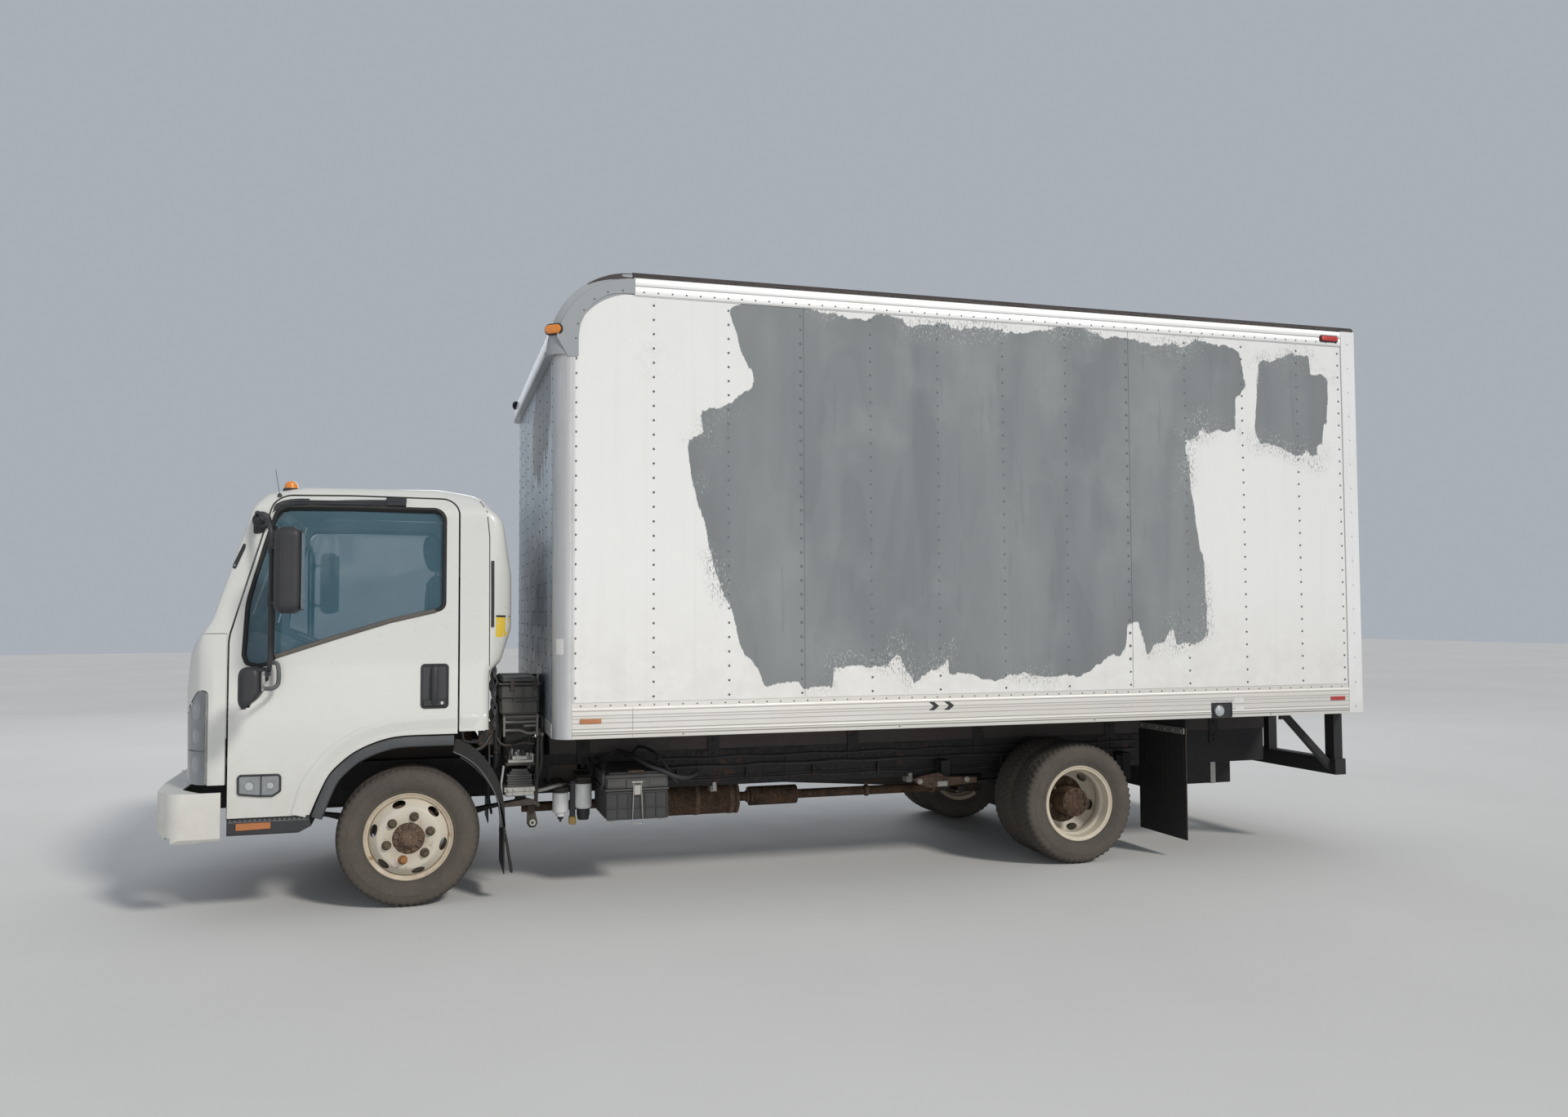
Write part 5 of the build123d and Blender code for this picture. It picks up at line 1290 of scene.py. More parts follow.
# front wall skin with its seams, rivets and a darker rolled patch near the left upper corner
fx = 1.1255
xs = list(np.arange(-fx, fx, 0.028)) + [fx]
zs = list(np.arange(0.8560, 2.8370, 0.028)) + [2.8370]
m = Mesh()
m.grid([[(x, 0.7004 - 0.0012 * (0.5 - 0.5 * math.cos(2 * math.pi * x / 0.4064)), z) for z in zs] for x in xs])
k = len(m.v)
m.box(-fx, fx, 0.7012, 0.7400, 0.8555, 2.8372, b=0.0005)
o = piece("box_front_wall_panels", m, "chassis", FRONT_PANEL, angle=50, fix=False, replaces=("box_front_wall",))
FRONT_PATCH = [(0.30, 2.86), (1.00, 2.86), (1.02, 2.62), (0.95, 2.50), (0.90, 2.56), (0.86, 2.36), (0.80, 2.45), (0.74, 2.26), (0.66, 2.40), (0.60, 2.22), (0.52, 2.36), (0.44, 2.20),
               (0.36, 2.30), (0.30, 2.24), (0.20, 2.33), (0.10, 2.28), (0.00, 2.35), (-0.08, 2.48), (-0.05, 2.70), (0.08, 2.74), (0.12, 2.86)]
pts = np.array([(v[0], v[2]) for v in m.v])
cv = signed(pts, FRONT_PATCH); cv[k:] = -1
add_attr(o, "cover", cv); add_attr(o, "scratch", np.full(len(pts), -1.0))
m = Mesh()
for i in range(-2, 3):
    z = 0.90
    while z < 2.82:
        m.rivet((i * 0.4064, 0.6999, z), (0, -1, 0), 0.0055, 0.003)
        z += 0.0762
for x in (-1.098, 1.098, -0.6096, 0.6096):
    z = 0.90
    while z < 2.82:
        m.rivet((x, 0.6999, z), (0, -1, 0), 0.0055, 0.003)
        z += 0.0762
for x in (-0.622, 0.622):
    m.box(x - 0.0006, x + 0.0006, 0.6990, 0.7004, 0.86, 2.835, b=0.0002)
piece("box_front_wall_rivets", m, "chassis", RIVET_DARK)
m = Mesh()
m.box(-1.126, 1.126, 0.6975, 0.7005, 0.8555, 0.9300, b=0.0008)
for z in (0.873, 0.900):
    m.box(-1.126, 1.126, 0.6960, 0.6980, z - 0.003, z + 0.003, b=0.0008)
piece("box_front_bottom_rail", m, "chassis", RAIL_ALLOY)

# cap's lower band over the front wall and posts
m = Mesh()
m.box(-1.12, 1.12, 0.6580, 0.6615, 2.8375, 2.8600, b=0.001)
piece("nose_cap_lower_band", m, "chassis", FRP)

# roof: sheet with bows showing as rivet rows
xs = list(np.linspace(-1.1730, 1.1730, 60))
ys = list(np.arange(1.1170, 5.6150, 0.0508)) + [5.6150]
m = Mesh()
rows = []
for y in ys:
    bow = 0.5 - 0.5 * math.cos(2 * math.pi * (y - 1.117) / 0.6096)
    rows.append([(x, y, 3.2905 + 0.0040 * (1 - (x / 1.173) ** 2) - 0.0022 * bow + 0.0006 * math.sin(7 * x + 3 * y)) for x in xs])
m.grid(rows)
m.box(-1.1730, 1.1730, 1.1170, 5.6150, 3.2520, 3.2860, b=0.0005)
piece("box_roof_sheet", m, "chassis", ROOF_ALLOY, angle=50, fix=False, replaces=("box_roof",))
m = Mesh()
y = 1.117
while y < 5.6:
    x = -1.10
    while x < 1.11:
        m.rivet((x, y + 0.01, 3.2905 + 0.0040 * (1 - (x / 1.173) ** 2)), (0, 0, 1), 0.005, 0.0018, seg=6)
        x += 0.1524
    y += 0.6096
for x in (-1.152, 1.152):
    y = 1.16
    while y < 5.6:
        m.rivet((x, y, 3.2915), (0, 0, 1), 0.005, 0.0018, seg=6)
        y += 0.1016
piece("box_roof_rivets", m, "chassis", RIVET_DARK)


def lens_material(name, base, deep, rough=0.18):
    m = Mat(name)
    n1 = m.noise(30, 4)
    ribs = m.math("SINE", m.math("MULTIPLY", m.xyz()[2], 1400.0))
    col = m.mix(m.map(n1, 0.35, 0.75, 0, 0.35), base, deep)
    m.bump(ribs, 0.0006, 0.35)
    return m.set(base=col, rough=m.map(n1, 0.3, 0.8, rough, rough + 0.25), coat=0.6, coat_rough=0.08)


AMBER = lens_material("amber_lens", (0.78, 0.25, 0.02), (0.55, 0.15, 0.02))
RED = lens_material("red_lens", (0.52, 0.018, 0.015), (0.30, 0.012, 0.012))
REFLECT_RED = lens_material("red_reflector", (0.42, 0.02, 0.02), (0.22, 0.015, 0.015), rough=0.3)
REFLECT_AMBER = lens_material("amber_reflector", (0.42, 0.145, 0.035), (0.26, 0.085, 0.025), rough=0.35)
CHROME = alloy("lamp_bowl_chrome", base=(0.80, 0.80, 0.80), rough=0.12, stain=0.15)


def lamp_body(m, centre, half, n, h, r=0.012, base_slot=0, lens_slot=1, lip=0.006):
    """Rounded-rectangle lamp: plastic base with a lip and a crowned lens. half = (across, up)."""
    c, n = Vector(centre), unit(n)
    u = Vector((0, 0, 1)).cross(n).normalized(); w = Vector((0, 0, 1)) if abs(n.z) < 0.9 else Vector((0, 1, 0))
    w = n.cross(u).normalized()
    M = Matrix((u, w, n)).transposed().to_4x4(); M.translation = c

    def stack(levels):
        rings = []
        for ax, ay, hh in levels:
            rings.append([M @ Vector((p[0], p[1], hh)) for p in rounded([(-ax, -ay), (ax, -ay), (ax, ay), (-ax, ay)], min(r, ax * 0.9, ay * 0.9), 4)])
        k = len(rings[0]); vs = [p for g in rings for p in g]
        fs = [list(range(k))[::-1], [(len(rings) - 1) * k + j for j in range(k)]]
        for q in range(len(rings) - 1):
            for j in range(k):
                fs.append([q * k + j, q * k + (j + 1) % k, (q + 1) * k + (j + 1) % k, (q + 1) * k + j])
        m.add(vs, fs)
    a, b = half
    m.use(base_slot)
    stack([(a, b, -0.001), (a, b, h * 0.35), (a - 0.0015, b - 0.0015, h * 0.42)])
    m.use(lens_slot)
    stack([(a - lip, b - lip, h * 0.2), (a - lip, b - lip, h * 0.75), (a - lip - 0.002, b - lip - 0.002, h * 0.93), (a - lip - 0.006, b - lip - 0.006, h)])


# marker lamps and reflectors on the box, in place of the plain lamp blocks
m = Mesh()
for s in (1, -1):
    lamp_body(m, (s * 1.2205, 5.525, 3.2120), (0.068, 0.0215), (s, 0, 0), 0.016, base_slot=0, lens_slot=1)
    m.use(2)
    m.prism(rounded([(0.832, 0.9335), (0.942, 0.9335), (0.942, 0.9570), (0.832, 0.9570)], 0.003), "x", s * 1.2200, s * 1.2262, b=0.0008)
    m.use(3)
    m.prism(rounded([(5.475, 0.9390), (5.582, 0.9390), (5.582, 0.9620), (5.475, 0.9620)], 0.003), "x", s * 1.2200, s * 1.2262, b=0.0008)
    for x in (1.000, 0.830):
        m.use(0)
        m.lathe([(0.0, 0.0), (0.0, 0.058), (0.008, 0.058), (0.010, 0.054), (0.010, 0.0)], (s * x, 5.7202, 0.920), axis="y", n=36, closed=False)
        m.use(1 if x > 0.9 else 4)
        m.lathe([(0.008, 0.0), (0.008, 0.051), (0.012, 0.051), (0.0165, 0.046), (0.0185, 0.030), (0.0190, 0.0)], (s * x, 5.7202, 0.920), axis="y", n=36, closed=False)
    lamp_body(m, (s * 1.150, 5.7202, 3.2325), (0.040, 0.0175), (0, 1, 0), 0.015)
for x in (-0.180, 0, 0.180):
    lamp_body(m, (x, 5.7202, 3.2325), (0.040, 0.0175), (0, 1, 0), 0.015)
LENS_CLEAR_SOLID = lens_material("frosted_clear_lens", (0.40, 0.42, 0.44), (0.24, 0.26, 0.29), rough=0.15)
piece("box_marker_lamps", m, "chassis", [BLACK_PLASTIC, RED, REFLECT_AMBER, REFLECT_RED, LENS_CLEAR_SOLID], replaces=("box_lamps",), angle=32)

# the amber lamps in the cap's front corners: oval recess, crowned lens
m = Mesh()
cap_tree = tree_of("nose_cap")
for s in (1, -1):
    for (dx, dy, z, xx, yy) in ((0.9, -0.435, 2.966, 1.19, 0.70),):
        d = Vector((-s * dx, -dy, 0)).normalized()
        p, nn = hit(cap_tree, (s * xx - d.x * 1.0, yy - d.y * 1.0, z), d, 2.0)
        if p is not None:
            nn = Vector((nn.x, nn.y, 0.0)).normalized()
            lamp_body(m, p + nn * 0.001, (0.052, 0.030), nn, 0.020, r=0.028, lip=0.007)
piece("nose_cap_corner_lamps", m, "chassis", [BLACK_PLASTIC, AMBER], angle=32)

# the roof trim runs out in a tapering strip round the cap's upper edge; blank worn label on the corner post
m = Mesh()
for s in (1, -1):
    out, inn = [], []
    for i in range(19):
        a = math.radians(1.0 + 33.0 * i / 18)
        w = 0.040 * (1 - i / 18) + 0.003
        out.append((1.116 - 0.4500 * math.sin(a), 2.838 + 0.4500 * math.cos(a)))
        inn.append((1.116 - (0.4500 - w) * math.sin(a), 2.838 + (0.4500 - w) * math.cos(a)))
    skin(m, out + inn[::-1], cap_tree, 0.0002, 0.0018, step=0.02, axis="x", sign=s)
piece("nose_cap_edge_strips", m, "chassis", TRIM_BROWN, angle=32)
m = Mesh()
for s in (1, -1):
    a0, a1 = math.radians(34), math.radians(62)
    pts = [(s * (1.127 + 0.0932 * math.sin(a0 + (a1 - a0) * i / 6)), 0.793 - 0.0932 * math.cos(a0 + (a1 - a0) * i / 6)) for i in range(7)]
    back = [(s * (1.127 + 0.0918 * math.sin(a0 + (a1 - a0) * i / 6)), 0.793 - 0.0918 * math.cos(a0 + (a1 - a0) * i / 6)) for i in range(7)]
    m.prism(pts + back[::-1], "z", 1.288, 1.368, b=0.0)
piece("box_corner_post_labels", m, "chassis", LABEL_WHITE, angle=32)

# recess in the bottom rail with a clear lamp
m = Mesh()
for s in (1, -1):
    m.use(0)
    y0, y1, z0, z1 = LAMP_Y0, LAMP_Y1, LAMP_Z0, LAMP_Z1
    m.box(s * 1.2192, s * 1.2200, y0, y1, z0, z1, b=0.0002)
    o = rounded([(y0, z0), (y1, z0), (y1, z1), (y0, z1)], 0.014)
    ring_o = o if area2(o) > 0 else o[::-1]
    ring_i = offset(ring_o, 0.004)
    n = len(ring_o)
    vs = [(s * 1.2190, *p) for p in ring_o] + [(s * 1.2236, *p) for p in ring_o] + [(s * 1.2236, *p) for p in ring_i] + [(s * 1.2190, *p) for p in ring_i]
    fs = []
    for j in range(n):
        l = (j + 1) % n
        for q in range(4):
            t = (q + 1) % 4
            fs.append([q * n + j, q * n + l, t * n + l, t * n + j])
    m.add(vs, fs)
    m.use(1)
    c = (s * 1.2200, 4.656, 0.896)
    m.lathe([(0.0, 0.0), (0.0, 0.036), (0.010, 0.036), (0.012, 0.033), (0.012, 0.0)], c, n=36, side=s, closed=False)
    m.use(2)
    m.lathe([(0.010, 0.0), (0.010, 0.031), (0.013, 0.030), (0.0180, 0.020), (0.0195, 0.0)], c, n=36, side=s, closed=False)
piece("box_side_recess_lamps", m, "chassis", [BLACK_PLASTIC, GREY_PLASTIC, LENS_CLEAR_SOLID], angle=32)

# roll-up door: curtain of panels with a deep joint, hinges, rollers' brackets, a lock and handles
m = Mesh()
for k in range(8):
    z0 = 1.047 + 0.2645 * k; z1 = z0 + 0.2645
    prof = [(5.6425, z0 + 0.001), (5.6425, z1 - 0.001), (5.6640, z1 - 0.001), (5.6680, z1 - 0.006), (5.6680, z0 + 0.006), (5.6640, z0 + 0.001)]
    m.prism(prof, "x", -1.113, 1.113, b=0.001)
piece("rear_curtain_panels", m, "chassis", DOOR_WHITE, replaces=("roll_up_door",), angle=30)
m = Mesh()
for k in range(1, 8):
    z = 1.047 + 0.2645 * k
    for x in (-1.06, -0.53, 0.0, 0.53, 1.06):
        m.box(x - 0.022, x + 0.022, 5.6672, 5.6700, z - 0.045, z + 0.045, b=0.0008)
        m.tube([(x - 0.022, 5.6705, z), (x + 0.022, 5.6705, z)], 0.0042, 8)
        for dz in (-0.032, 0.032):
            m.rivet((x - 0.010, 5.6698, z + dz), (0, 1, 0), 0.004, 0.002)
            m.rivet((x + 0.010, 5.6698, z + dz), (0, 1, 0), 0.004, 0.002)
m.box(-0.085, 0.085, 5.6675, 5.6740, 1.160, 1.300, b=0.002)
m.tube(spline([(-0.062, 5.672, 1.195), (-0.062, 5.688, 1.200), (0.0, 5.6895, 1.205), (0.062, 5.688, 1.200), (0.062, 5.672, 1.195)], 5), 0.007, 10)
m.lathe([(0.0, 0.0), (0.0, 0.020), (0.006, 0.019), (0.008, 0.0)], (0.0, 5.674, 1.262), axis="y", n=24, closed=False)
m.box(-0.75, 0.75, 5.6670, 5.6705, 1.052, 1.082, b=0.001)
piece("rear_curtain_hardware", m, "chassis", alloy("zinc_hardware", base=(0.50, 0.50, 0.48), stain=0.5), angle=30)
m = Mesh()
m.box(-1.113, 1.113, 5.6450, 5.6660, 1.0350, 1.0480, b=0.003)
piece("rear_curtain_seal", m, "chassis", RUBBER)
# rear frame's side plates with bolts, and the threshold
m = Mesh()
for s in (1, -1):
    m.box(s * 1.218, s * 1.2235, 5.6160, 5.7190, 0.8560, 3.250, b=0.0015)
    for z in np.arange(0.90, 3.25, 0.1524):
        m.bolt((s * 1.2230, 5.668, z), (s, 0, 0), 0.007, 0.004)
piece("rear_frame_side_plates", m, "chassis", FRAME_WHITE, angle=30)
m = Mesh()
m.use(0)
m.box(-1.115, 1.115, 5.6170, 5.7240, 1.0395, 1.0450, b=0.0015)
for k in range(46):
    x = -1.08 + 0.048 * k
    m.box(x - 0.008, x + 0.008, 5.66, 5.712, 1.0450, 1.0468, b=0.0006)
piece("rear_threshold_plate", m, "chassis", RUST, angle=30)
NODES["nose_cap"].data.materials.clear(); NODES["nose_cap"].data.materials.append(FRP)


# ---------------------------------------------------------------------------------------------
# cab body: one smooth form from the side, front and plan outlines, hollowed and cut into shell, doors and front panel
# ---------------------------------------------------------------------------------------------
def fillet(points, radii, n=8):
    out = []
    k = len(points)
    for i in range(k):
        p0, p1, p2 = Vector(points[i - 1]), Vector(points[i]), Vector(points[(i + 1) % k])
        r = radii[i]
        a, b = (p0 - p1), (p2 - p1)
        la, lb = a.length, b.length
        a.normalize(); b.normalize()
        ang = a.angle(b)
        if r <= 0 or ang > 3.10:
            out.append(tuple(p1)); continue
        t = min(r / math.tan(ang / 2), la * 0.48, lb * 0.48)
        r = t * math.tan(ang / 2)
        bis = (a + b).normalized()
        c = p1 + bis * (r / math.sin(ang / 2))
        u, w = (p1 + a * t) - c, (p1 + b * t) - c
        a0 = math.atan2(u.y, u.x); a1 = math.atan2(w.y, w.x)
        d = (a1 - a0 + math.pi) % (2 * math.pi) - math.pi
        for j in range(n + 1):
            q = a0 + d * j / n
            out.append((c.x + r * math.cos(q), c.y + r * math.sin(q)))
    return out


class Field:
    """Signed distance to an outline, kept on a grid."""

    def __init__(self, poly, step=0.008, pad=0.25):
        P = np.array(poly)
        self.lo = P.min(0) - pad; hi = P.max(0) + pad
        self.step = step
        self.nx, self.ny = (np.ceil((hi - self.lo) / step).astype(int) + 1)
        X, Y = np.meshgrid(self.lo[0] + np.arange(self.nx) * step, self.lo[1] + np.arange(self.ny) * step, indexing="ij")
        self.g = signed(np.stack([X.ravel(), Y.ravel()], 1), poly).reshape(self.nx, self.ny)

    def __call__(self, a, b):
        u = np.clip((a - self.lo[0]) / self.step, 0, self.nx - 1.001); v = np.clip((b - self.lo[1]) / self.step, 0, self.ny - 1.001)
        i, j = u.astype(int), v.astype(int); fu, fv = u - i, v - j
        g = self.g
        return (g[i, j] * (1 - fu) + g[i + 1, j] * fu) * (1 - fv) + (g[i, j + 1] * (1 - fu) + g[i + 1, j + 1] * fu) * fv


def mm(pts):
    return [(a / 1000.0, b / 1000.0) for a, b in pts]


F_SIDE = Field(fillet(mm([(-1044, 350), (395, 350), (395, 1195), (455, 1245), (512, 1420), (512, 1700), (466, 1985), (345, 2122),
                          (130, 2168), (-520, 2162), (-700, 2118), (-755, 2056), (-935, 1465), (-1040, 1330), (-1066, 1120)]),
                      [0, 0, .03, .06, .12, .16, .12, .15, .30, .15, .06, .06, .12, .15, .20], 12))
F_FRONT = Field(fillet(mm([(-1010, 340), (1010, 340), (1010, 1230), (935, 2040), (800, 2170), (-800, 2170), (-935, 2040), (-1010, 1230)]),
                       [0, 0, .20, .09, .09, .09, .09, .20], 12))
F_PLAN = Field(fillet(mm([(-850, -1068), (850, -1068), (1010, -960), (1010, 380), (850, 560), (-850, 560), (-1010, 380), (-1010, -960)]),
                      [.10, .10, .11, .11, .06, .06, .11, .11], 12))


def cab_distance(p, inset_by):
    def smin(a, b, k):
        h = np.maximum(k - np.abs(a - b), 0) / k
        return np.minimum(a, b) - h * h * k * 0.25
    a, b, c = F_SIDE(p[:, 1], p[:, 2]), F_FRONT(p[:, 0], p[:, 2]), F_PLAN(p[:, 0], p[:, 1])
    return smin(smin(a, b, 0.040), c, 0.040) - inset_by


def cab_form(inset_by, n):
    """A closed grid, six sides like a box, its points pushed out to the form."""
    key, pts, faces = {}, [], []

    def vid(i, j, k):
        t = (i, j, k)
        if t not in key:
            key[t] = len(pts); pts.append((2 * i / n - 1, 2 * j / n - 1, 2 * k / n - 1))
        return key[t]
    for ax in range(3):
        for end in (0, n):
            for i in range(n):
                for j in range(n):
                    q = []
                    for di, dj in ((0, 0), (1, 0), (1, 1), (0, 1)):
                        t = [0, 0, 0]; t[ax] = end; t[(ax + 1) % 3] = i + di; t[(ax + 2) % 3] = j + dj
                        q.append(vid(*t))
                    faces.append(q if end else q[::-1])
    P = np.array(pts)
    c = np.array([0.0, -0.27, 1.26]); h = np.array([1.01, 0.79, 0.91])
    O = c + P * h * np.array([0.55, 0.45, 0.50])
    D = c + P * h * 1.6 - O
    L = np.linalg.norm(D, axis=1, keepdims=True)
    ts = np.linspace(0, 1, 40)
    found = np.zeros(len(P), bool)
    low = np.zeros(len(P)); high = np.ones(len(P))
    for a, b in zip(ts, ts[1:]):
        v = cab_distance(O + D * b, inset_by)
        new = (~found) & (v <= 0)
        low[new] = a; high[new] = b; found |= new
    for _ in range(18):
        mid = (low + high) / 2
        v = cab_distance(O + D * mid[:, None], inset_by)
        low = np.where(v > 0, mid, low); high = np.where(v > 0, high, mid)
    Q = O + D * ((low + high) / 2)[:, None]
    m = Mesh(); m.add([tuple(q) for q in Q], faces)
    return m


def as_object(mesh, name):
    me = bpy.data.meshes.new(name)
    me.from_pydata([(x, y - DY, z) for x, y, z in mesh.v], [], mesh.f)
    bm = bmesh.new(); bm.from_mesh(me)
    bmesh.ops.recalc_face_normals(bm, faces=bm.faces)
    bm.to_mesh(me); bm.free()
    o = bpy.data.objects.new(name, me)
    bpy.context.scene.collection.objects.link(o)
    return o


def cut(o, tools, op="DIFFERENCE"):
    """Booleans of o with plain tool meshes, applied."""
    for t in tools:
        md = o.modifiers.new("b", "BOOLEAN"); md.operation = op; md.object = t; md.solver = "MANIFOLD"
        dg = bpy.context.evaluated_depsgraph_get()
        new = bpy.data.meshes.new_from_object(o.evaluated_get(dg))
        o.modifiers.clear(); old = o.data; o.data = new
        bpy.data.meshes.remove(old)
    return o


def twin(o, name):
    c = bpy.data.objects.new(name, o.data.copy())
    bpy.context.scene.collection.objects.link(c)
    return c


def tool(outline, axis, a0, a1):
    m = Mesh(); m.prism(outline, axis, a0, a1, b=0.0)
    return as_object(m, "cutter")


def box_tool(*a):
    m = Mesh(); m.box(*a, b=0.0001)
    return as_object(m, "cutter")


ARCH = [(-0.470, 0.506), (-0.430, 0.604), (-0.385, 0.697), (-0.330, 0.757), (-0.268, 0.806), (-0.190, 0.845), (-0.108, 0.871), (-0.040, 0.881), (0.030, 0.884)]
DOOR_LINE = [(-0.846, 0.506)] + [(p.y, p.z) for p in spline([(0, a, b) for a, b in ARCH], 4)] + [(0.236, 0.884)]
DOOR_TOP = fillet([(0.236, 0.884), (0.236, 2.098), (-0.300, 2.106), (-0.648, 2.100), (-0.846, 1.385), (-0.846, 0.506)], [0, 0.085, 1.2, 0.095, 0.25, 0], 10)
DOOR_OUT = DOOR_LINE + [p for p in DOOR_TOP[1:-1]]
GAP = 0.009
DOOR_HOLE = offset(DOOR_OUT if area2(DOOR_OUT) > 0 else DOOR_OUT[::-1], -GAP)
DOOR_HOLE = [(a, b - 0.02 if b < 0.52 else b) for a, b in DOOR_HOLE]
WIN_OUT = fillet([(-0.778, 1.300), (-0.765, 1.262), (-0.715, 1.250), (-0.665, 1.262), (-0.640, 1.297), (-0.350, 1.392), (-0.100, 1.470), (0.162, 1.530),
                  (0.163, 2.038), (-0.300, 2.044), (-0.634, 2.040), (-0.690, 1.850), (-0.765, 1.560)], [.02, .02, .03, .03, .03, .6, .6, .035, .055, .9, .065, .3, .5], 7)
SCREEN_LINE = fillet([(-0.830, 1.478), (0.830, 1.478), (0.790, 2.035), (-0.790, 2.035)], [.06] * 4, 8)
REAR_LINE = fillet([(-0.620, 1.480), (0.620, 1.480), (0.600, 1.900), (-0.600, 1.900)], [.05] * 4, 8)
GRILLE_LINE = fillet([(-0.560, 0.860), (0.560, 0.860), (0.600, 1.010), (-0.600, 1.010)], [.025] * 4, 5)
LAMP_LINE = fillet([(-1.20, 0.640), (-0.936, 0.640), (-0.936, 1.131), (-0.990, 1.131), (-1.034, 1.058), (-1.060, 0.985), (-1.20, 0.900)], [0, 0, .034, .045, .10, .05, 0], 8)
LAMP_IN = fillet([(-1.20, 0.672), (-0.940, 0.672), (-0.940, 1.127), (-0.9875, 1.127), (-1.030, 1.056), (-1.056, 0.982), (-1.20, 0.895)], [0, 0.01, .031, .043, .10, .05, 0], 8)

OUTER = as_object(cab_form(0.0, 84), "form_outer")
INNER = as_object(cab_form(0.050, 34), "form_inner")
skin_all = cut(twin(OUTER, "skin_all"), [INNER])
hole_l, hole_r = tool(DOOR_HOLE, "x", 0.70, 1.20), tool(DOOR_HOLE, "x", -1.20, -0.70)
door_l = tool(DOOR_OUT, "x", 0.70, 1.20)
win_l = tool(WIN_OUT, "x", 0.60, 1.20)
above = box_tool(-1.3, 1.3, -1.4, 0.8, 0.895, 2.4)
low_front = box_tool(-1.3, 1.3, -1.4, -0.858, 0.30, 1.4080)
screen_t, rear_t = tool(SCREEN_LINE, "y", -1.3, -0.60), tool(REAR_LINE, "y", 0.38, 0.70)

shell = cut(twin(skin_all, "cab_body_shell"), [above], "INTERSECT")
cut(shell, [hole_l, hole_r, low_front, screen_t, rear_t])
door = cut(twin(skin_all, "left_door_body"), [door_l], "INTERSECT")
cut(door, [win_l])
panel_box = box_tool(-1.3, 1.3, -1.4, -0.859, 0.670, 1.4050)
lamp_l, lamp_r = tool(LAMP_LINE, "x", 0.756, 1.20), tool(LAMP_LINE, "x", -1.20, -0.756)
lamp_in_l, lamp_in_r = tool(LAMP_IN, "x", 0.760, 1.20), tool(LAMP_IN, "x", -1.20, -0.760)
grille_t = tool(GRILLE_LINE, "y", -1.3, -0.95)
panel = cut(twin(skin_all, "front_panel_body"), [panel_box], "INTERSECT")
D31 = as_object(cab_form(0.031, 60), "form_31")
rim = cut(twin(OUTER, "rim"), [D31])
pocket_l = cut(twin(rim, "pocket_l"), [lamp_l], "INTERSECT")
pocket_r = cut(twin(rim, "pocket_r"), [lamp_r], "INTERSECT")
cut(panel, [pocket_l, pocket_r, grille_t])
# lens shell and housing
D3 = as_object(cab_form(0.0035, 84), "form_3")
D7 = as_object(cab_form(0.0120, 60), "form_7")
lens_all = cut(twin(OUTER, "lens_all"), [D3])
house_all = cut(twin(D7, "house_all"), [as_object(cab_form(0.030, 60), "form_30")])
lens_l = cut(twin(lens_all, "lens_l"), [lamp_in_l], "INTERSECT"); lens_r = cut(twin(lens_all, "lens_r"), [lamp_in_r], "INTERSECT")
house_l = cut(twin(house_all, "house_l"), [lamp_in_l], "INTERSECT"); house_r = cut(twin(house_all, "house_r"), [lamp_in_r], "INTERSECT")


def join_mesh(objs, name):
    m = Mesh()
    for o in objs:
        me = o.data
        m.add([(v.co.x, v.co.y + DY, v.co.z) for v in me.vertices], [list(p.vertices) for p in me.polygons])
    return m


def body_piece(name, objs, body, mat, nodes, bevel=0.0025, angle=32, mirror=False):
    m = join_mesh(objs, name)
    if mirror:
        m = m.flipped()
    o = piece(name, m, body, mat, replaces=nodes, angle=angle, weld=4e-5)
    if bevel:
        bm = bmesh.new(); bm.from_mesh(o.data)
        bmesh.ops.dissolve_degenerate(bm, dist=5e-5, edges=bm.edges)
        bm.to_mesh(o.data); bm.free()
        b = o.modifiers.new("edge", "BEVEL"); b.width = bevel; b.segments = 2; b.limit_method = "ANGLE"; b.angle_limit = math.radians(50)
        b.use_clamp_overlap = True; b.harden_normals = False
        dg = bpy.context.evaluated_depsgraph_get()
        new = bpy.data.meshes.new_from_object(o.evaluated_get(dg))
        o.modifiers.clear(); o.data = new
        new.shade_smooth(); new.set_sharp_from_angle(angle=math.radians(angle))
    w = o.modifiers.new("wn", "WEIGHTED_NORMAL"); w.keep_sharp = True; w.weight = 50
    return o


VIS["cab_shell"] = body_piece("cab_body_shell_panels", [shell], "cab", CAB_WHITE, ("cab_shell",))
VIS["left_door"] = body_piece("left_door_body_panel", [door], "left_door", CAB_WHITE, ("left_door",))
VIS["right_door"] = body_piece("right_door_body_panel", [door], "right_door", CAB_WHITE, ("right_door",), mirror=True)
VIS["front_panel"] = body_piece("front_panel_body_skin", [panel], "cab", CAB_WHITE, ("front_panel",))
VIS["lens"] = lens_l
for o in (OUTER, INNER, skin_all, hole_l, hole_r, door_l, win_l, above, low_front, screen_t, rear_t, shell, door, panel_box, lamp_l, lamp_r, lamp_in_l, lamp_in_r, grille_t, panel,
          D31, rim, pocket_l, pocket_r, D3, D7, lens_all, house_all):
    bpy.data.objects.remove(o)
for o in list(bpy.context.scene.collection.objects):
    if o.name.startswith("form_30"):
        bpy.data.objects.remove(o)


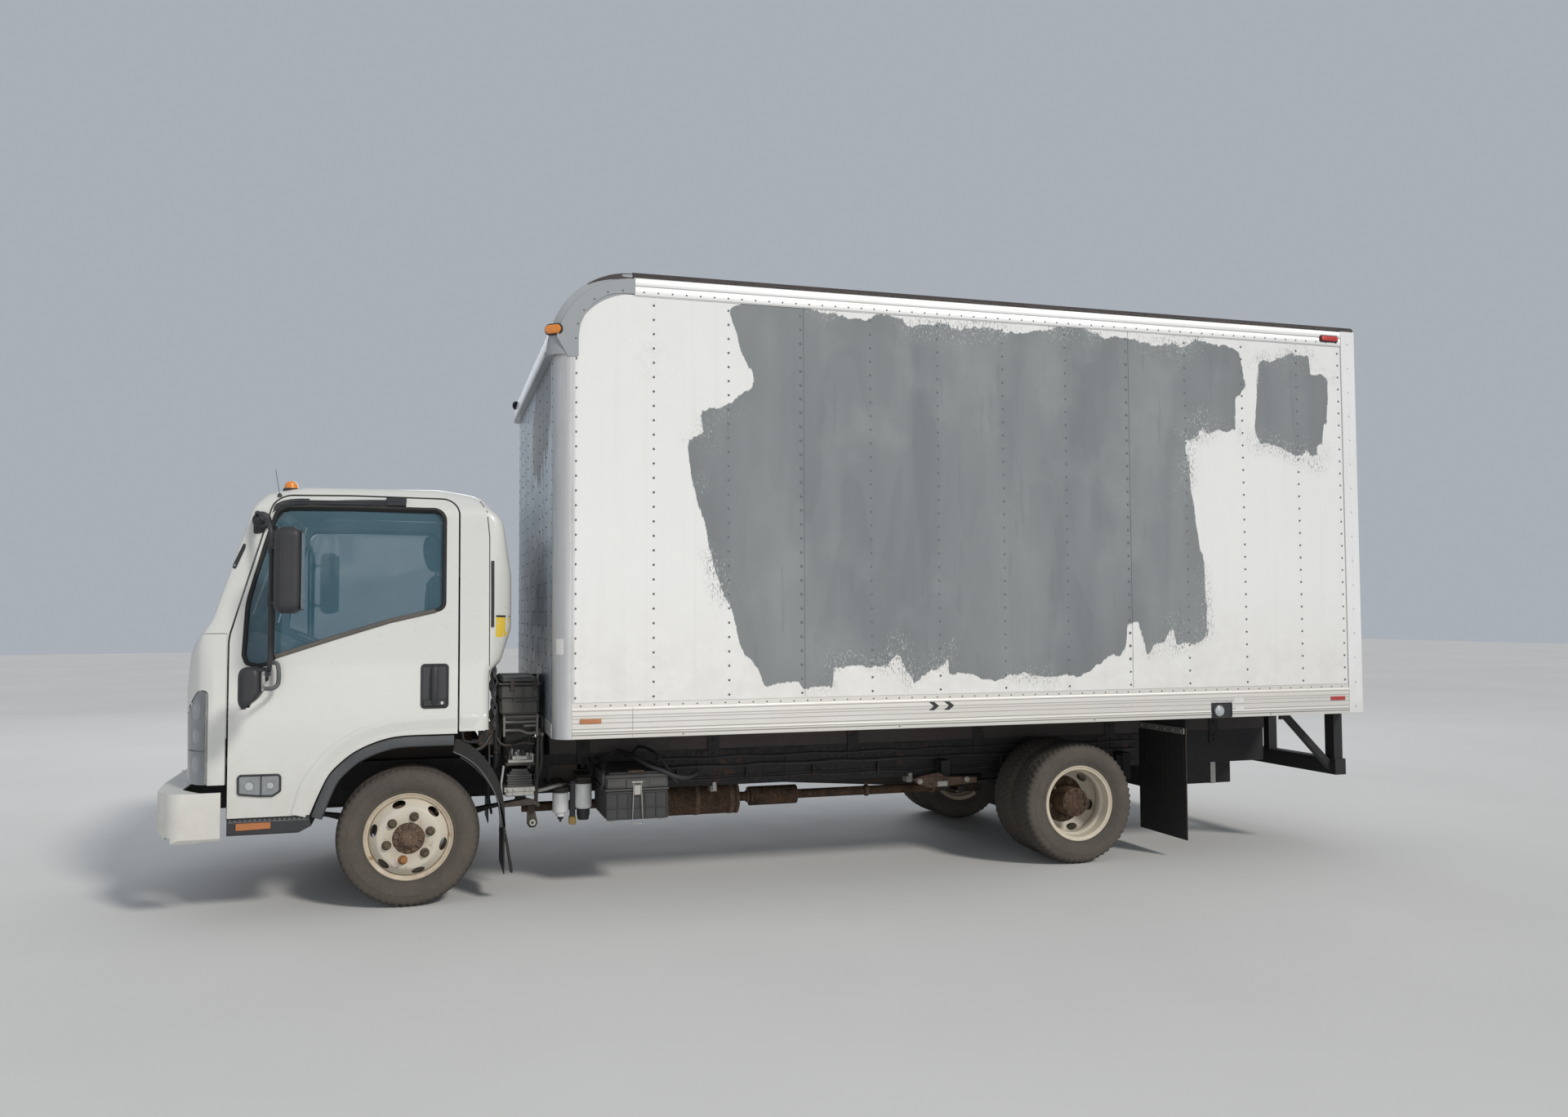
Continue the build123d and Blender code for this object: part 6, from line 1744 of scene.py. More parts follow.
# ---------------------------------------------------------------------------------------------
# cab
# ---------------------------------------------------------------------------------------------
DOOR_EDGE = [(-0.846, 0.506), (-0.470, 0.506), (-0.385, 0.700), (-0.270, 0.805), (-0.110, 0.872), (0.020, 0.884), (0.236, 0.884), (0.236, 1.940),
             (0.222, 2.020), (0.182, 2.072), (0.100, 2.094), (-0.560, 2.092), (-0.640, 2.058), (-0.676, 1.985), (-0.846, 1.385)]
WINDOW_EDGE = [(-0.778, 1.300), (-0.765, 1.265), (-0.715, 1.250), (-0.670, 1.262), (-0.645, 1.295), (-0.350, 1.392), (-0.100, 1.470), (0.130, 1.523), (0.158, 1.550),
               (0.163, 1.990), (0.130, 2.030), (-0.540, 2.030), (-0.612, 2.014), (-0.655, 1.960), (-0.690, 1.850), (-0.765, 1.560)]
SHELL, PANEL = tree_of("cab_shell"), tree_of("front_panel")
SIDE_TREE = {1: tree_of("cab_shell", "left_door"), -1: tree_of("cab_shell", "right_door")}
DOOR_TREE = {1: tree_of("left_door"), -1: tree_of("right_door")}
FRONT_TREE = tree_of("front_panel", "cab_shell", "headlamps")
DOOR_NAME = {1: "left_door", -1: "right_door"}
SIDES = (("left", 1), ("right", -1))


def ribbon(mesh, pts, tree, prof, sign=1, axis="x", closed=True, base=0.006, fine=0.03):
    """A moulding laid along an outline on a surface. prof: (outwards across, height) rows, closed section."""
    P = [Vector(p) for p in pts]
    if closed and area2([tuple(p) for p in P]) < 0:
        P.reverse()
    Q = []
    n = len(P)
    for i in range(n if closed else n - 1):
        a, b = P[i], P[(i + 1) % n]
        k = max(1, int((b - a).length / fine))
        Q += [a.lerp(b, t / k) for t in range(k)]
    if not closed:
        Q.append(P[-1])
    n = len(Q); k = len(prof)
    d = {"x": Vector((-sign, 0, 0)), "y": Vector((0, -sign, 0)), "z": Vector((0, 0, -sign))}[axis]
    vs, hits = [], []
    for i in range(n):
        a = Q[i] - Q[i - 1] if (i > 0 or closed) else Q[1] - Q[0]
        b = Q[(i + 1) % n] - Q[i] if (i < n - 1 or closed) else Q[-1] - Q[-2]
        t = (a.normalized() + b.normalized())
        t = t.normalized() if t.length > 1e-6 else a.normalized()
        o = Vector((t.y, -t.x))
        c = Q[i] + o * base
        start = {"x": (3.0 * sign, c.x, c.y), "y": (c.x, 2.27 + 5.0 * sign, c.y), "z": (c.x, c.y, 4.0 * sign)}[axis]
        q, nn = hit(tree, start, d, 12)
        if q is not None:
            hits.append((q, nn, o))
        elif closed:
            return mesh
    n = len(hits)
    if n < 2:
        return mesh
    for q, nn, o in hits:
        O = Vector({"x": (0, o.x, o.y), "y": (o.x, 0, o.y), "z": (o.x, o.y, 0)}[axis])
        O = (O - nn * O.dot(nn)).normalized()
        for ac, h in prof:
            vs.append(q + O * (ac - base) + nn * h)
    fs = []
    for i in range(n if closed else n - 1):
        j = (i + 1) % n
        for u in range(k):
            w = (u + 1) % k
            fs.append([i * k + u, j * k + u, j * k + w, i * k + w])
    if not closed:
        fs.append(list(range(k))); fs.append([(n - 1) * k + u for u in range(k)][::-1])
    mesh.add(vs, fs)
    return mesh


def arch(d):
    """The wheel-arch line under the door, moved d inwards (towards the wheel)."""
    base = spline([(0, -0.4610, 0.499)] + [(0, a + 0.0065 * max(0.0, 1 - i / 4), b - 0.0070) for i, (a, b) in enumerate(ARCH)][1:] + [(0, 0.120, 0.8770), (0, 0.219, 0.8770)], 5)
    out = []
    for i, p in enumerate(base):
        a = base[max(i - 1, 0)]; b = base[min(i + 1, len(base) - 1)]
        t = (b - a).normalized()
        out.append(Vector((0, p.y + t.z * d, p.z - t.y * d)))
    return out


FLARE = plastic("faded_flare_plastic", (0.050, 0.053, 0.058), (0.135, 0.135, 0.13), rough=0.55, amount=0.6)
WEATHERSTRIP = plastic("window_weatherstrip", (0.085, 0.078, 0.070), (0.19, 0.175, 0.155), rough=0.7, amount=0.7)
DOOR_BOWL = alloy("door_lamp_bowl", base=(0.33, 0.34, 0.35), rough=0.18, stain=0.10)
for side, s in SIDES:
    # arch flare
    m = Mesh()
    prof = [(0.000, 1.004), (0.002, 1.0150), (0.012, 1.0210), (0.034, 1.0235), (0.047, 1.0215), (0.053, 1.0120), (0.0535, 0.9520), (0.0505, 0.9520), (0.0495, 1.0080), (0.040, 1.0150), (0.010, 1.0130)]
    k = len(prof)
    lines = [arch(d) for d, _ in prof]
    vs = []
    n = len(lines[0])
    for i in range(n):
        for q in range(k):
            p = lines[q][i]
            vs.append((s * prof[q][1], p.y, p.z))
    fs = []
    for i in range(n - 1):
        for u in range(k):
            w = (u + 1) % k
            fs.append([i * k + u, (i + 1) * k + u, (i + 1) * k + w, i * k + w])
    fs.append(list(range(k))); fs.append([(n - 1) * k + u for u in range(k)][::-1])
    m.add(vs, fs)
    piece("cab_%s_arch_flare" % side, m, "cab", FLARE, angle=35)

    # soft crease over the arch: a shallow step that fades out upwards, on the door and on the quarter
    crease = spline([(0, -0.548, 0.512), (0, -0.505, 0.655), (0, -0.440, 0.755), (0, -0.380, 0.822), (0, -0.255, 0.904), (0, -0.160, 0.938), (0, -0.065, 0.956), (0, 0.10, 0.965), (0, 0.230, 0.967)], 4)
    prof = [(-0.062, -0.0006), (-0.040, 0.0012), (-0.016, 0.0038), (-0.004, 0.0052), (0.001, 0.0050), (0.006, 0.0034), (0.012, 0.0006), (0.016, -0.0008), (0.0, -0.003)]
    m = Mesh()
    line = [(p.y, p.z) for p in crease]
    ribbon(m, line[::-1], DOOR_TREE[s], [(a, h) for a, h in prof], s, closed=False, base=0.0)
    piece("%s_door_crease" % side, m, DOOR_NAME[s], CAB_WHITE, angle=60)
    m = Mesh()
    ribbon(m, [(0.376, 0.967), (0.32, 0.967), (0.252, 0.967)], SHELL, [(a, h) for a, h in prof], s, closed=False, base=0.0)
    piece("cab_%s_quarter_crease" % side, m, "cab", CAB_WHITE, angle=60)

    # window surround: rubber all round, wider weatherstrip along the lower edge
    win = WIN_OUT
    m = Mesh()
    ribbon(m, win, DOOR_TREE[s], [(-0.006, -0.028), (-0.006, -0.004), (-0.003, 0.0030), (0.004, 0.0042), (0.011, 0.0034), (0.0145, -0.0005), (0.010, -0.003), (0.0005, -0.004), (0.0005, -0.028)], s)
    piece("%s_window_rubber" % side, m, DOOR_NAME[s], RUBBER, angle=40)
    m = Mesh()
    ribbon(m, [(0.120, 1.521), (-0.100, 1.470), (-0.350, 1.392), (-0.640, 1.297)][::-1], DOOR_TREE[s],
           [(-0.004, 0.0030), (0.000, 0.0060), (0.012, 0.0064), (0.0175, 0.0030), (0.0175, -0.001), (-0.004, -0.001)], s, closed=False, base=0.008)
    piece("%s_window_weatherstrip" % side, m, DOOR_NAME[s], WEATHERSTRIP, angle=40)
    # division bar between quarter light and the dropping pane
    m = Mesh()
    gx = lambda z: s * (1.002 - max(0, z - 1.23) * 0.0905)
    m.tube([(gx(1.285) - s * 0.017, -0.652, 1.285), (gx(1.60) - s * 0.015, -0.652, 1.60), (gx(1.94) - s * 0.017, -0.651, 1.945)], 0.006, 8, flat=(0.008, 0.016))
    piece("%s_window_division" % side, m, DOOR_NAME[s], RUBBER)

    # door handle in its recess plate
    m = Mesh()
    y0, y1, z0, z1 = 0.053, 0.190, 1.016, 1.243
    o = rounded([(y0, z0), (y1, z0), (y1, z1), (y0, z1)], 0.020, 5)
    m.use(0)
    ribbon(m, offset(o, 0.0), DOOR_TREE[s], [(-0.012, 0.0006), (-0.0105, 0.0060), (-0.004, 0.0074), (0.0005, 0.0040), (0.0010, -0.0010), (-0.010, -0.001)], s, base=0.012)
    m.use(1)
    skin(m, offset(o, 0.009), DOOR_TREE[s], -0.0010, lambda p: 0.0012 + 0.0016 * abs((p.x - 0.1215) / 0.058), step=0.016, sign=s)
    m.use(0)
    xs = 1.0105
    for (a, b) in ((0.106, 0.136),):
        m.tube([(s * (xs + 0.004), 0.121, 1.036), (s * (xs + 0.013), 0.121, 1.062), (s * (xs + 0.016), 0.121, 1.125), (s * (xs + 0.013), 0.121, 1.196), (s * (xs + 0.003), 0.121, 1.230)], 0.01, 12, flat=(0.011, 0.030))
    m.box(s * xs, s * (xs + 0.0055), 0.066, 0.177, 1.028, 1.062, b=0.003)
    m.use(2)
    m.disc((s * (xs + 0.0050), 0.158, 1.044), (s, 0, 0), 0.0085, 0.0020, seg=20)
    m.box(s * (xs + 0.0066), s * (xs + 0.0074), 0.1570, 0.1590, 1.0395, 1.0485, b=0.0002)
    piece("%s_door_handle" % side, m, DOOR_NAME[s], [BLACK_PLASTIC, TRIM_DARK, alloy("lock_barrel_%s" % side, base=(0.5, 0.5, 0.5))], angle=40)

    # remains of the rain deflector over the window: rail, front piece, clamp block
    m = Mesh()
    skin(m, [(-0.666, 2.010), (-0.622, 2.040), (-0.560, 2.052), (-0.494, 2.055), (-0.300, 2.056), (-0.123, 2.055), (-0.123, 2.086), (-0.210, 2.0845), (-0.320, 2.080), (-0.420, 2.0735),
             (-0.4955, 2.0680), (-0.4975, 2.0830), (-0.540, 2.0830), (-0.584, 2.0790), (-0.622, 2.0690), (-0.652, 2.0520), (-0.670, 2.0240)], DOOR_TREE[s], -0.0005, 0.0065, step=0.018, sign=s)
    ribbon(m, [(-0.640, 2.050), (-0.584, 2.070), (-0.500, 2.071), (-0.320, 2.072), (-0.130, 2.076)], DOOR_TREE[s],
           [(-0.005, 0.004), (-0.004, 0.0085), (0.003, 0.0105), (0.006, 0.0085), (0.006, 0.004)], s, closed=False, base=0.0)
    skin(m, rounded([(-0.125, 2.052), (-0.028, 2.052), (-0.026, 2.094), (-0.127, 2.092)], 0.004), DOOR_TREE[s], -0.0005, 0.013, step=0.02, sign=s)
    for y in (-0.110, -0.082, -0.055):
        q, nn = hit(DOOR_TREE[s], (3 * s, y, 2.072), (-s, 0, 0), 6)
        if q is not None:
            m.disc(q + nn * 0.0125, nn, 0.005, 0.0016, seg=12)
    piece("%s_deflector_rail" % side, m, DOOR_NAME[s], BLACK_PLASTIC, angle=40)

    # turn lamp low on the door: two clear cells in a black tapered frame
    o = rounded([(-0.800, 0.618), (-0.705, 0.606), (-0.640, 0.604), (-0.602, 0.628), (-0.602, 0.700), (-0.612, 0.714), (-0.790, 0.716), (-0.802, 0.704)], 0.014, 4)
    m = Mesh()
    m.use(0)
    ribbon(m, o, DOOR_TREE[s], [(-0.010, 0.001), (-0.009, 0.0085), (-0.003, 0.0100), (0.0, 0.0085), (0.0015, -0.0008), (-0.010, -0.0008)], s, base=0.010)
    m.use(1)
    skin(m, offset(o if area2(o) > 0 else o[::-1], 0.008), DOOR_TREE[s], -0.0008, 0.0016, step=0.012, sign=s)
    m.use(0)
    m.box(s * 1.0105, s * 1.0185, -0.6945, -0.6905, 0.616, 0.708, b=0.001)
    m.use(2)
    for yc, w in ((-0.745, 0.036), (-0.650, 0.028)):
        m.disc((s * 1.0118, yc, 0.660), (s, 0, 0), w * 0.55, 0.0022, seg=20)
    piece("%s_door_turn_lamp" % side, m, DOOR_NAME[s], [BLACK_PLASTIC, DOOR_BOWL, LENS_CLEAR_SOLID], angle=35)


def clear_lens(name, tint=(0.34, 0.37, 0.39), low=0.16, high=0.85):
    m = Mat(name)
    lw = m.n("LayerWeight"); lw.inputs["Blend"].default_value = 0.35
    haze = m.map(m.noise(9, 5), 0.35, 0.8, 0.0, 0.16)
    a = m.math("ADD", m.map(lw.outputs["Facing"], 0.05, 0.95, low, high), haze, clamp=True)
    fl = m.math("SINE", m.math("MULTIPLY", m.xyz()[0], 520.0))
    m.bump(fl, 0.0004, 0.15)
    return m.set(base=m.mix(haze, tint, (0.70, 0.69, 0.62)), rough=m.map(m.noise(40, 3), 0.3, 0.8, 0.04, 0.16), alpha=a, spec=0.6, coat=0.5, coat_rough=0.03)


def tinted_glass(name, low=0.34, high=1.0, base=(0.070, 0.175, 0.230)):
    m = Mat(name)
    lw = m.n("LayerWeight"); lw.inputs["Blend"].default_value = 0.22
    film = m.map(m.noise(3.2, 6, 0.62), 0.42, 0.82, 0.0, 0.10)
    wipe = m.map(m.noise(16, 5, 0.7, m.scaled(1, 0.5, 2)), 0.55, 0.78, 0, 0.05)
    dust = m.math("ADD", film, wipe)
    a = m.math("ADD", m.map(lw.outputs["Facing"], 0.0, 0.9, low, high), dust, clamp=True)
    return m.set(base=m.mix(m.math("MULTIPLY", dust, 2.0, clamp=True), base, (0.22, 0.29, 0.31)), rough=m.map(m.noise(28, 4), 0.3, 0.8, 0.02, 0.08), alpha=a, spec=0.9, ior=1.6)


GLASS = tinted_glass("tinted_side_glass")
SCREEN = tinted_glass("laminated_screen", low=0.34, base=(0.070, 0.140, 0.175))
LENS_SHELL = clear_lens("headlamp_clear_lens")
MIRROR_GLASS = alloy("mirror_silvering", base=(0.72, 0.75, 0.78), rough=0.06, stain=0.12)
# the lamp cells on the doors get a clear cover
for side, s in SIDES:
    o = rounded([(-0.800, 0.618), (-0.705, 0.606), (-0.640, 0.604), (-0.602, 0.628), (-0.602, 0.700), (-0.612, 0.714), (-0.790, 0.716), (-0.802, 0.704)], 0.014, 4)
    m = Mesh()
    skin(m, offset(o if area2(o) > 0 else o[::-1], 0.009), DOOR_TREE[s], 0.0068, 0.0084, step=0.02, sign=s)
    piece("%s_door_lamp_cover" % side, m, DOOR_NAME[s], LENS_SHELL, angle=35)

# headlamps: clear shell in front, chromed housing with bowls and a divider behind
HOUSING = alloy("headlamp_housing", base=(0.155, 0.158, 0.162), axis="z", rough=0.26, stain=0.12)
VIS["headlamps"] = body_piece("headlamp_lenses", [lens_l, lens_r], "cab", LENS_SHELL, ("headlamps",), bevel=0, angle=35)
body_piece("headlamp_housings", [house_l, house_r], "cab", HOUSING, (), bevel=0, angle=35)
for o in (lens_l, lens_r, house_l, house_r):
    bpy.data.objects.remove(o)
LAMP_TREE = tree_of("headlamps")
m = Mesh()
for s in (1, -1):
    for z, r in ((1.030, 0.060), (0.905, 0.048), (0.765, 0.055)):
        for d, org in ((Vector((-s * 0.72, 0.69, 0)), (0.955 * s, -1.02, z)),):
            q, nn = hit(LAMP_TREE, Vector(org) - d * 0.5, d, 2)
            if q is None:
                continue
            u, w = frame_of(nn)
            k = 28
            rings = []
            for rr, hh in ((r, -0.0118), (r * 0.98, -0.0070), (r * 0.86, -0.0085), (r * 0.60, -0.0110), (r * 0.30, -0.0118), (r * 0.28, -0.0065), (r * 0.10, -0.0062)):
                rings.append([q + u * (rr * 0.62 * math.cos(2 * math.pi * j / k)) + w * (rr * 0.8 * math.sin(2 * math.pi * j / k)) + nn * hh for j in range(k)])
            vs = [p for g in rings for p in g]
            fs = [[(len(rings) - 1) * k + j for j in range(k)], list(range(k))[::-1]]
            for a in range(len(rings) - 1):
                for j in range(k):
                    fs.append([a * k + j, a * k + (j + 1) % k, (a + 1) * k + (j + 1) % k, (a + 1) * k + j])
            m.add(vs, fs)
piece("headlamp_bowls", m, "cab", CHROME, angle=30)
m = Mesh()
for s in (1, -1):
    ribbon(m, [(-1.062, 0.8350), (-1.030, 0.8350), (-0.935, 0.8350)], LAMP_TREE, [(-0.0030, -0.0115), (-0.0030, 0.0006), (0.0030, 0.0006), (0.0030, -0.0115)], s, closed=False, base=0.0, fine=0.012)
piece("headlamp_dividers", m, "cab", GREY_PLASTIC)

# dark joint round the cab's rear bulge
m = Mesh()
for s in (1, -1):
    ribbon(m, [(0.3935, 0.905), (0.3935, 1.20), (0.3935, 1.60), (0.3935, 1.90), (0.380, 2.035), (0.345, 2.095)], SHELL, [(-0.0022, -0.001), (-0.0022, 0.0011), (0.0022, 0.0011), (0.0022, -0.001)], s, closed=False, base=0.0)
piece("cab_rear_seams", m, "cab", RUBBER)
m = Mesh()
for s in (1,):
    ribbon(m, [(0.4080, 1.430), (0.4085, 1.55), (0.4085, 1.775)], SHELL, [(-0.0075, -0.001), (-0.0075, 0.006), (-0.004, 0.009), (0.004, 0.009), (0.0075, 0.006), (0.0075, -0.001)], s, closed=False, base=0.0, fine=0.04)
piece("cab_rear_black_strip", m, "cab", BLACK_PLASTIC, angle=35)
m = Mesh()
m.use(0)
skin(m, rounded([(0.425, 1.376), (0.492, 1.374), (0.500, 1.478), (0.427, 1.480)], 0.004, 3), SHELL, -0.0004, 0.0007, step=0.02, sign=1)
m.use(1)
skin(m, [(0.427, 1.4805), (0.500, 1.4785), (0.5005, 1.489), (0.427, 1.491)], SHELL, -0.0004, 0.0008, step=0.02, sign=1)
piece("cab_rear_blank_label", m, "cab", [YELLOW, BLACK_PLASTIC])

# pillar vent slots beside the windscreen
for side, s in SIDES:
    m = Mesh()
    o = rounded([(-0.8430, 1.7300), (-0.8280, 1.7250), (-0.7860, 1.8300), (-0.7850, 1.8500), (-0.7960, 1.8520), (-0.8400, 1.7480)], 0.004, 3)
    skin(m, o, SHELL, -0.0005, 0.0022, step=0.012, sign=s)
    piece("cab_%s_pillar_slot" % side, m, "cab", BLACK_PLASTIC, angle=35)

# windscreen and rear window surrounds, wipers, cowl strip, grille trim and front panel joints
SCREEN_EDGE = SCREEN_LINE
m = Mesh()
ribbon(m, SCREEN_EDGE, SHELL, [(-0.010, -0.016), (-0.010, -0.002), (-0.004, 0.0040), (0.006, 0.0050), (0.014, 0.0025), (0.016, -0.001), (0.001, -0.004), (0.0005, -0.016)], -1, axis="y")
piece("windscreen_rubber", m, "cab", RUBBER, angle=40)
REAR_EDGE = REAR_LINE
m = Mesh()
ribbon(m, REAR_EDGE, SHELL, [(-0.010, -0.018), (-0.010, -0.002), (-0.004, 0.0040), (0.006, 0.0050), (0.014, 0.0025), (0.016, -0.001), (0.001, -0.004), (0.0005, -0.018)], 1, axis="y")
piece("rear_window_rubber", m, "cab", RUBBER, angle=40)
m = Mesh()
skin(m, rounded([(-0.80, 1.4120), (0.80, 1.4120), (0.83, 1.4580), (-0.83, 1.4580)], 0.012, 3), SHELL, 0.0, 0.004, step=0.05, axis="y", sign=-1)
for k in range(-11, 12):
    x = k * 0.066
    q, nn = hit(SHELL, (x, -3, 1.435), (0, 1, 0), 4)
    if q is not None:
        u = Vector((1, 0, 0)); w = nn.cross(u).normalized()
        m.add([q + u * a + w * b + nn * h for h in (0.003, 0.006) for a, b in ((-0.024, -0.006), (0.024, -0.006), (0.024, 0.006), (-0.024, 0.006))],
              [[3, 2, 1, 0], [4, 5, 6, 7], [0, 1, 5, 4], [1, 2, 6, 5], [2, 3, 7, 6], [3, 0, 4, 7]])
piece("cowl_vent_strip", m, "cab", BLACK_PLASTIC, angle=30)
m = Mesh()
WS_TREE = tree_of("cab_shell", "cab_glass")
for x0, x1 in ((0.62, 0.06), (-0.04, -0.62)):
    pts = []
    for t in range(11):
        u = t / 10
        x, z = x0 + (x1 - x0) * u, 1.470 + 0.300 * u * 0.35
        q, nn = hit(WS_TREE, (x, -3, z), (0, 1, 0), 4)
        pts.append(q + nn * 0.010)
    m.tube(pts, 0.0045, 8, flat=(0.006, 0.010))
    q0, n0 = hit(SHELL, (x0, -3, 1.445), (0, 1, 0), 4)
    m.disc(q0 + n0 * 0.003, n0, 0.016, 0.010, seg=18)
    mid = pts[5]
    arm = spline([q0 + n0 * 0.012, q0.lerp(mid, 0.4) + n0 * 0.024, mid + n0 * 0.012], 6)
    m.tube(arm, 0.0055, 8)
    for t in (2, 8):
        m.box(pts[t].x - 0.008, pts[t].x + 0.008, pts[t].y - 0.012, pts[t].y, pts[t].z - 0.008, pts[t].z + 0.008, b=0.002)
piece("windscreen_wipers", m, "cab", BLACK_PLASTIC)
m = Mesh()
GR = GRILLE_LINE
ribbon(m, GR, tree_of("front_panel"), [(-0.004, -0.012), (-0.003, 0.003), (0.004, 0.0062), (0.013, 0.0040), (0.016, -0.001), (0.0, -0.004)], -1, axis="y")
piece("grille_surround", m, "cab", GREY_PLASTIC, angle=40)
m = Mesh()
for s in (1, -1):
    for z in (0.700, 1.180):
        ribbon(m, [(0.20 * s, z), (0.45 * s, z), (0.72 * s, z)] if s > 0 else [(-0.72, z), (-0.45, z), (-0.20, z)], PANEL, [(-0.0015, -0.001), (-0.0015, 0.0009), (0.0015, 0.0009), (0.0015, -0.001)], -1, axis="y", closed=False, base=0.0)
piece("front_panel_joints", m, "cab", RUBBER)

# bumper: scuffed face with a lower air opening strip, blank plate and tow eyes
BUMP = tree_of("front_bumper")
m = Mesh()
m.use(0)
skin(m, rounded([(-0.420, 0.475), (0.420, 0.475), (0.450, 0.560), (-0.450, 0.560)], 0.02, 4), BUMP, -0.001, 0.003, step=0.05, axis="y", sign=-1)
for z in (0.497, 0.518, 0.539):
    ribbon(m, [(-0.42, z), (0.0, z), (0.42, z)], BUMP, [(-0.004, 0.002), (-0.003, 0.0065), (0.003, 0.0065), (0.004, 0.002)], -1, axis="y", closed=False, base=0.0, fine=0.06)
for s in (1, -1):
    skin(m, rounded([(s * 0.700, 0.500), (s * 0.840, 0.500), (s * 0.850, 0.590), (s * 0.700, 0.590)], 0.02, 4), BUMP, -0.001, 0.003, step=0.03, axis="y", sign=-1)
m.use(1)
skin(m, rounded([(-0.155, 0.580), (0.155, 0.580), (0.155, 0.655), (-0.155, 0.655)], 0.008, 3), BUMP, -0.001, 0.004, step=0.05, axis="y", sign=-1)
m.use(2)
for s in (1, -1):
    for a in (0.14,):
        q, nn = hit(BUMP, (s * a, -3, 0.642), (0, 1, 0), 4)
        if q is not None:
            m.bolt(q + nn * 0.003, nn, 0.007, 0.004)
piece("bumper_face_details", m, "chassis", [BLACK_PLASTIC, LABEL_WHITE, CHROME], angle=35)

# mirrors
def mirror_head(m, xc, yc, z0, z1, w, d, back=0, glass=1, low=0.0):
    rows = []
    n = 22
    for i in range(n + 1):
        u = i / n
        z = z0 + (z1 - z0) * u
        e = min(u, 1 - u) * (z1 - z0)
        q = 1.0 if e > 0.05 else math.sqrt(max(0.0, 1 - ((0.05 - e) / 0.05) ** 2)) * 0.28 + 0.72
        dd = 1.0 if e > 0.05 else math.sqrt(max(0.0, 1 - ((0.05 - e) / 0.05) ** 2)) * 0.5 + 0.5
        a, b = w / 2 * q, d / 2 * dd
        ring = rounded([(-a, -b), (a, -b), (a, b), (-a, b)], min(0.03 * dd, b * 0.8), 6)
        # the front is crowned, the rear flat
        cut_back = 0.070 * max(0.0, 1 - (z - z0) / low) ** 1.5 if low else 0.0
        rows.append([Vector((xc + p[0], yc + (p[1] - cut_back * (p[1] / b) if p[1] > 0 else p[1] * (1 - 0.25 * (p[0] / a) ** 2)), z)) for p in ring])
    k = len(rows[0]); vs = [p for g in rows for p in g]
    fs = [list(range(k))[::-1], [n * k + j for j in range(k)]]
    for q in range(n):
        for j in range(k):
            fs.append([q * k + j, q * k + (j + 1) % k, (q + 1) * k + (j + 1) % k, (q + 1) * k + j])
    m.use(back); m.add(vs, fs)
    # bezel and glass on the rear face
    zg = z0 + max(0.016, low - 0.006)
    o = rounded([(xc - w / 2 + 0.010, zg), (xc + w / 2 - 0.010, zg), (xc + w / 2 - 0.010, z1 - 0.016), (xc - w / 2 + 0.010, z1 - 0.016)], 0.020, 5)
    m.use(back); m.prism(o, "y", yc + d / 2 - 0.003, yc + d / 2 + 0.0025, b=0.0015)
    m.use(glass); m.prism(offset(o if area2(o) > 0 else o[::-1], 0.006), "y", yc + d / 2, yc + d / 2 + 0.0034, b=0.0006)


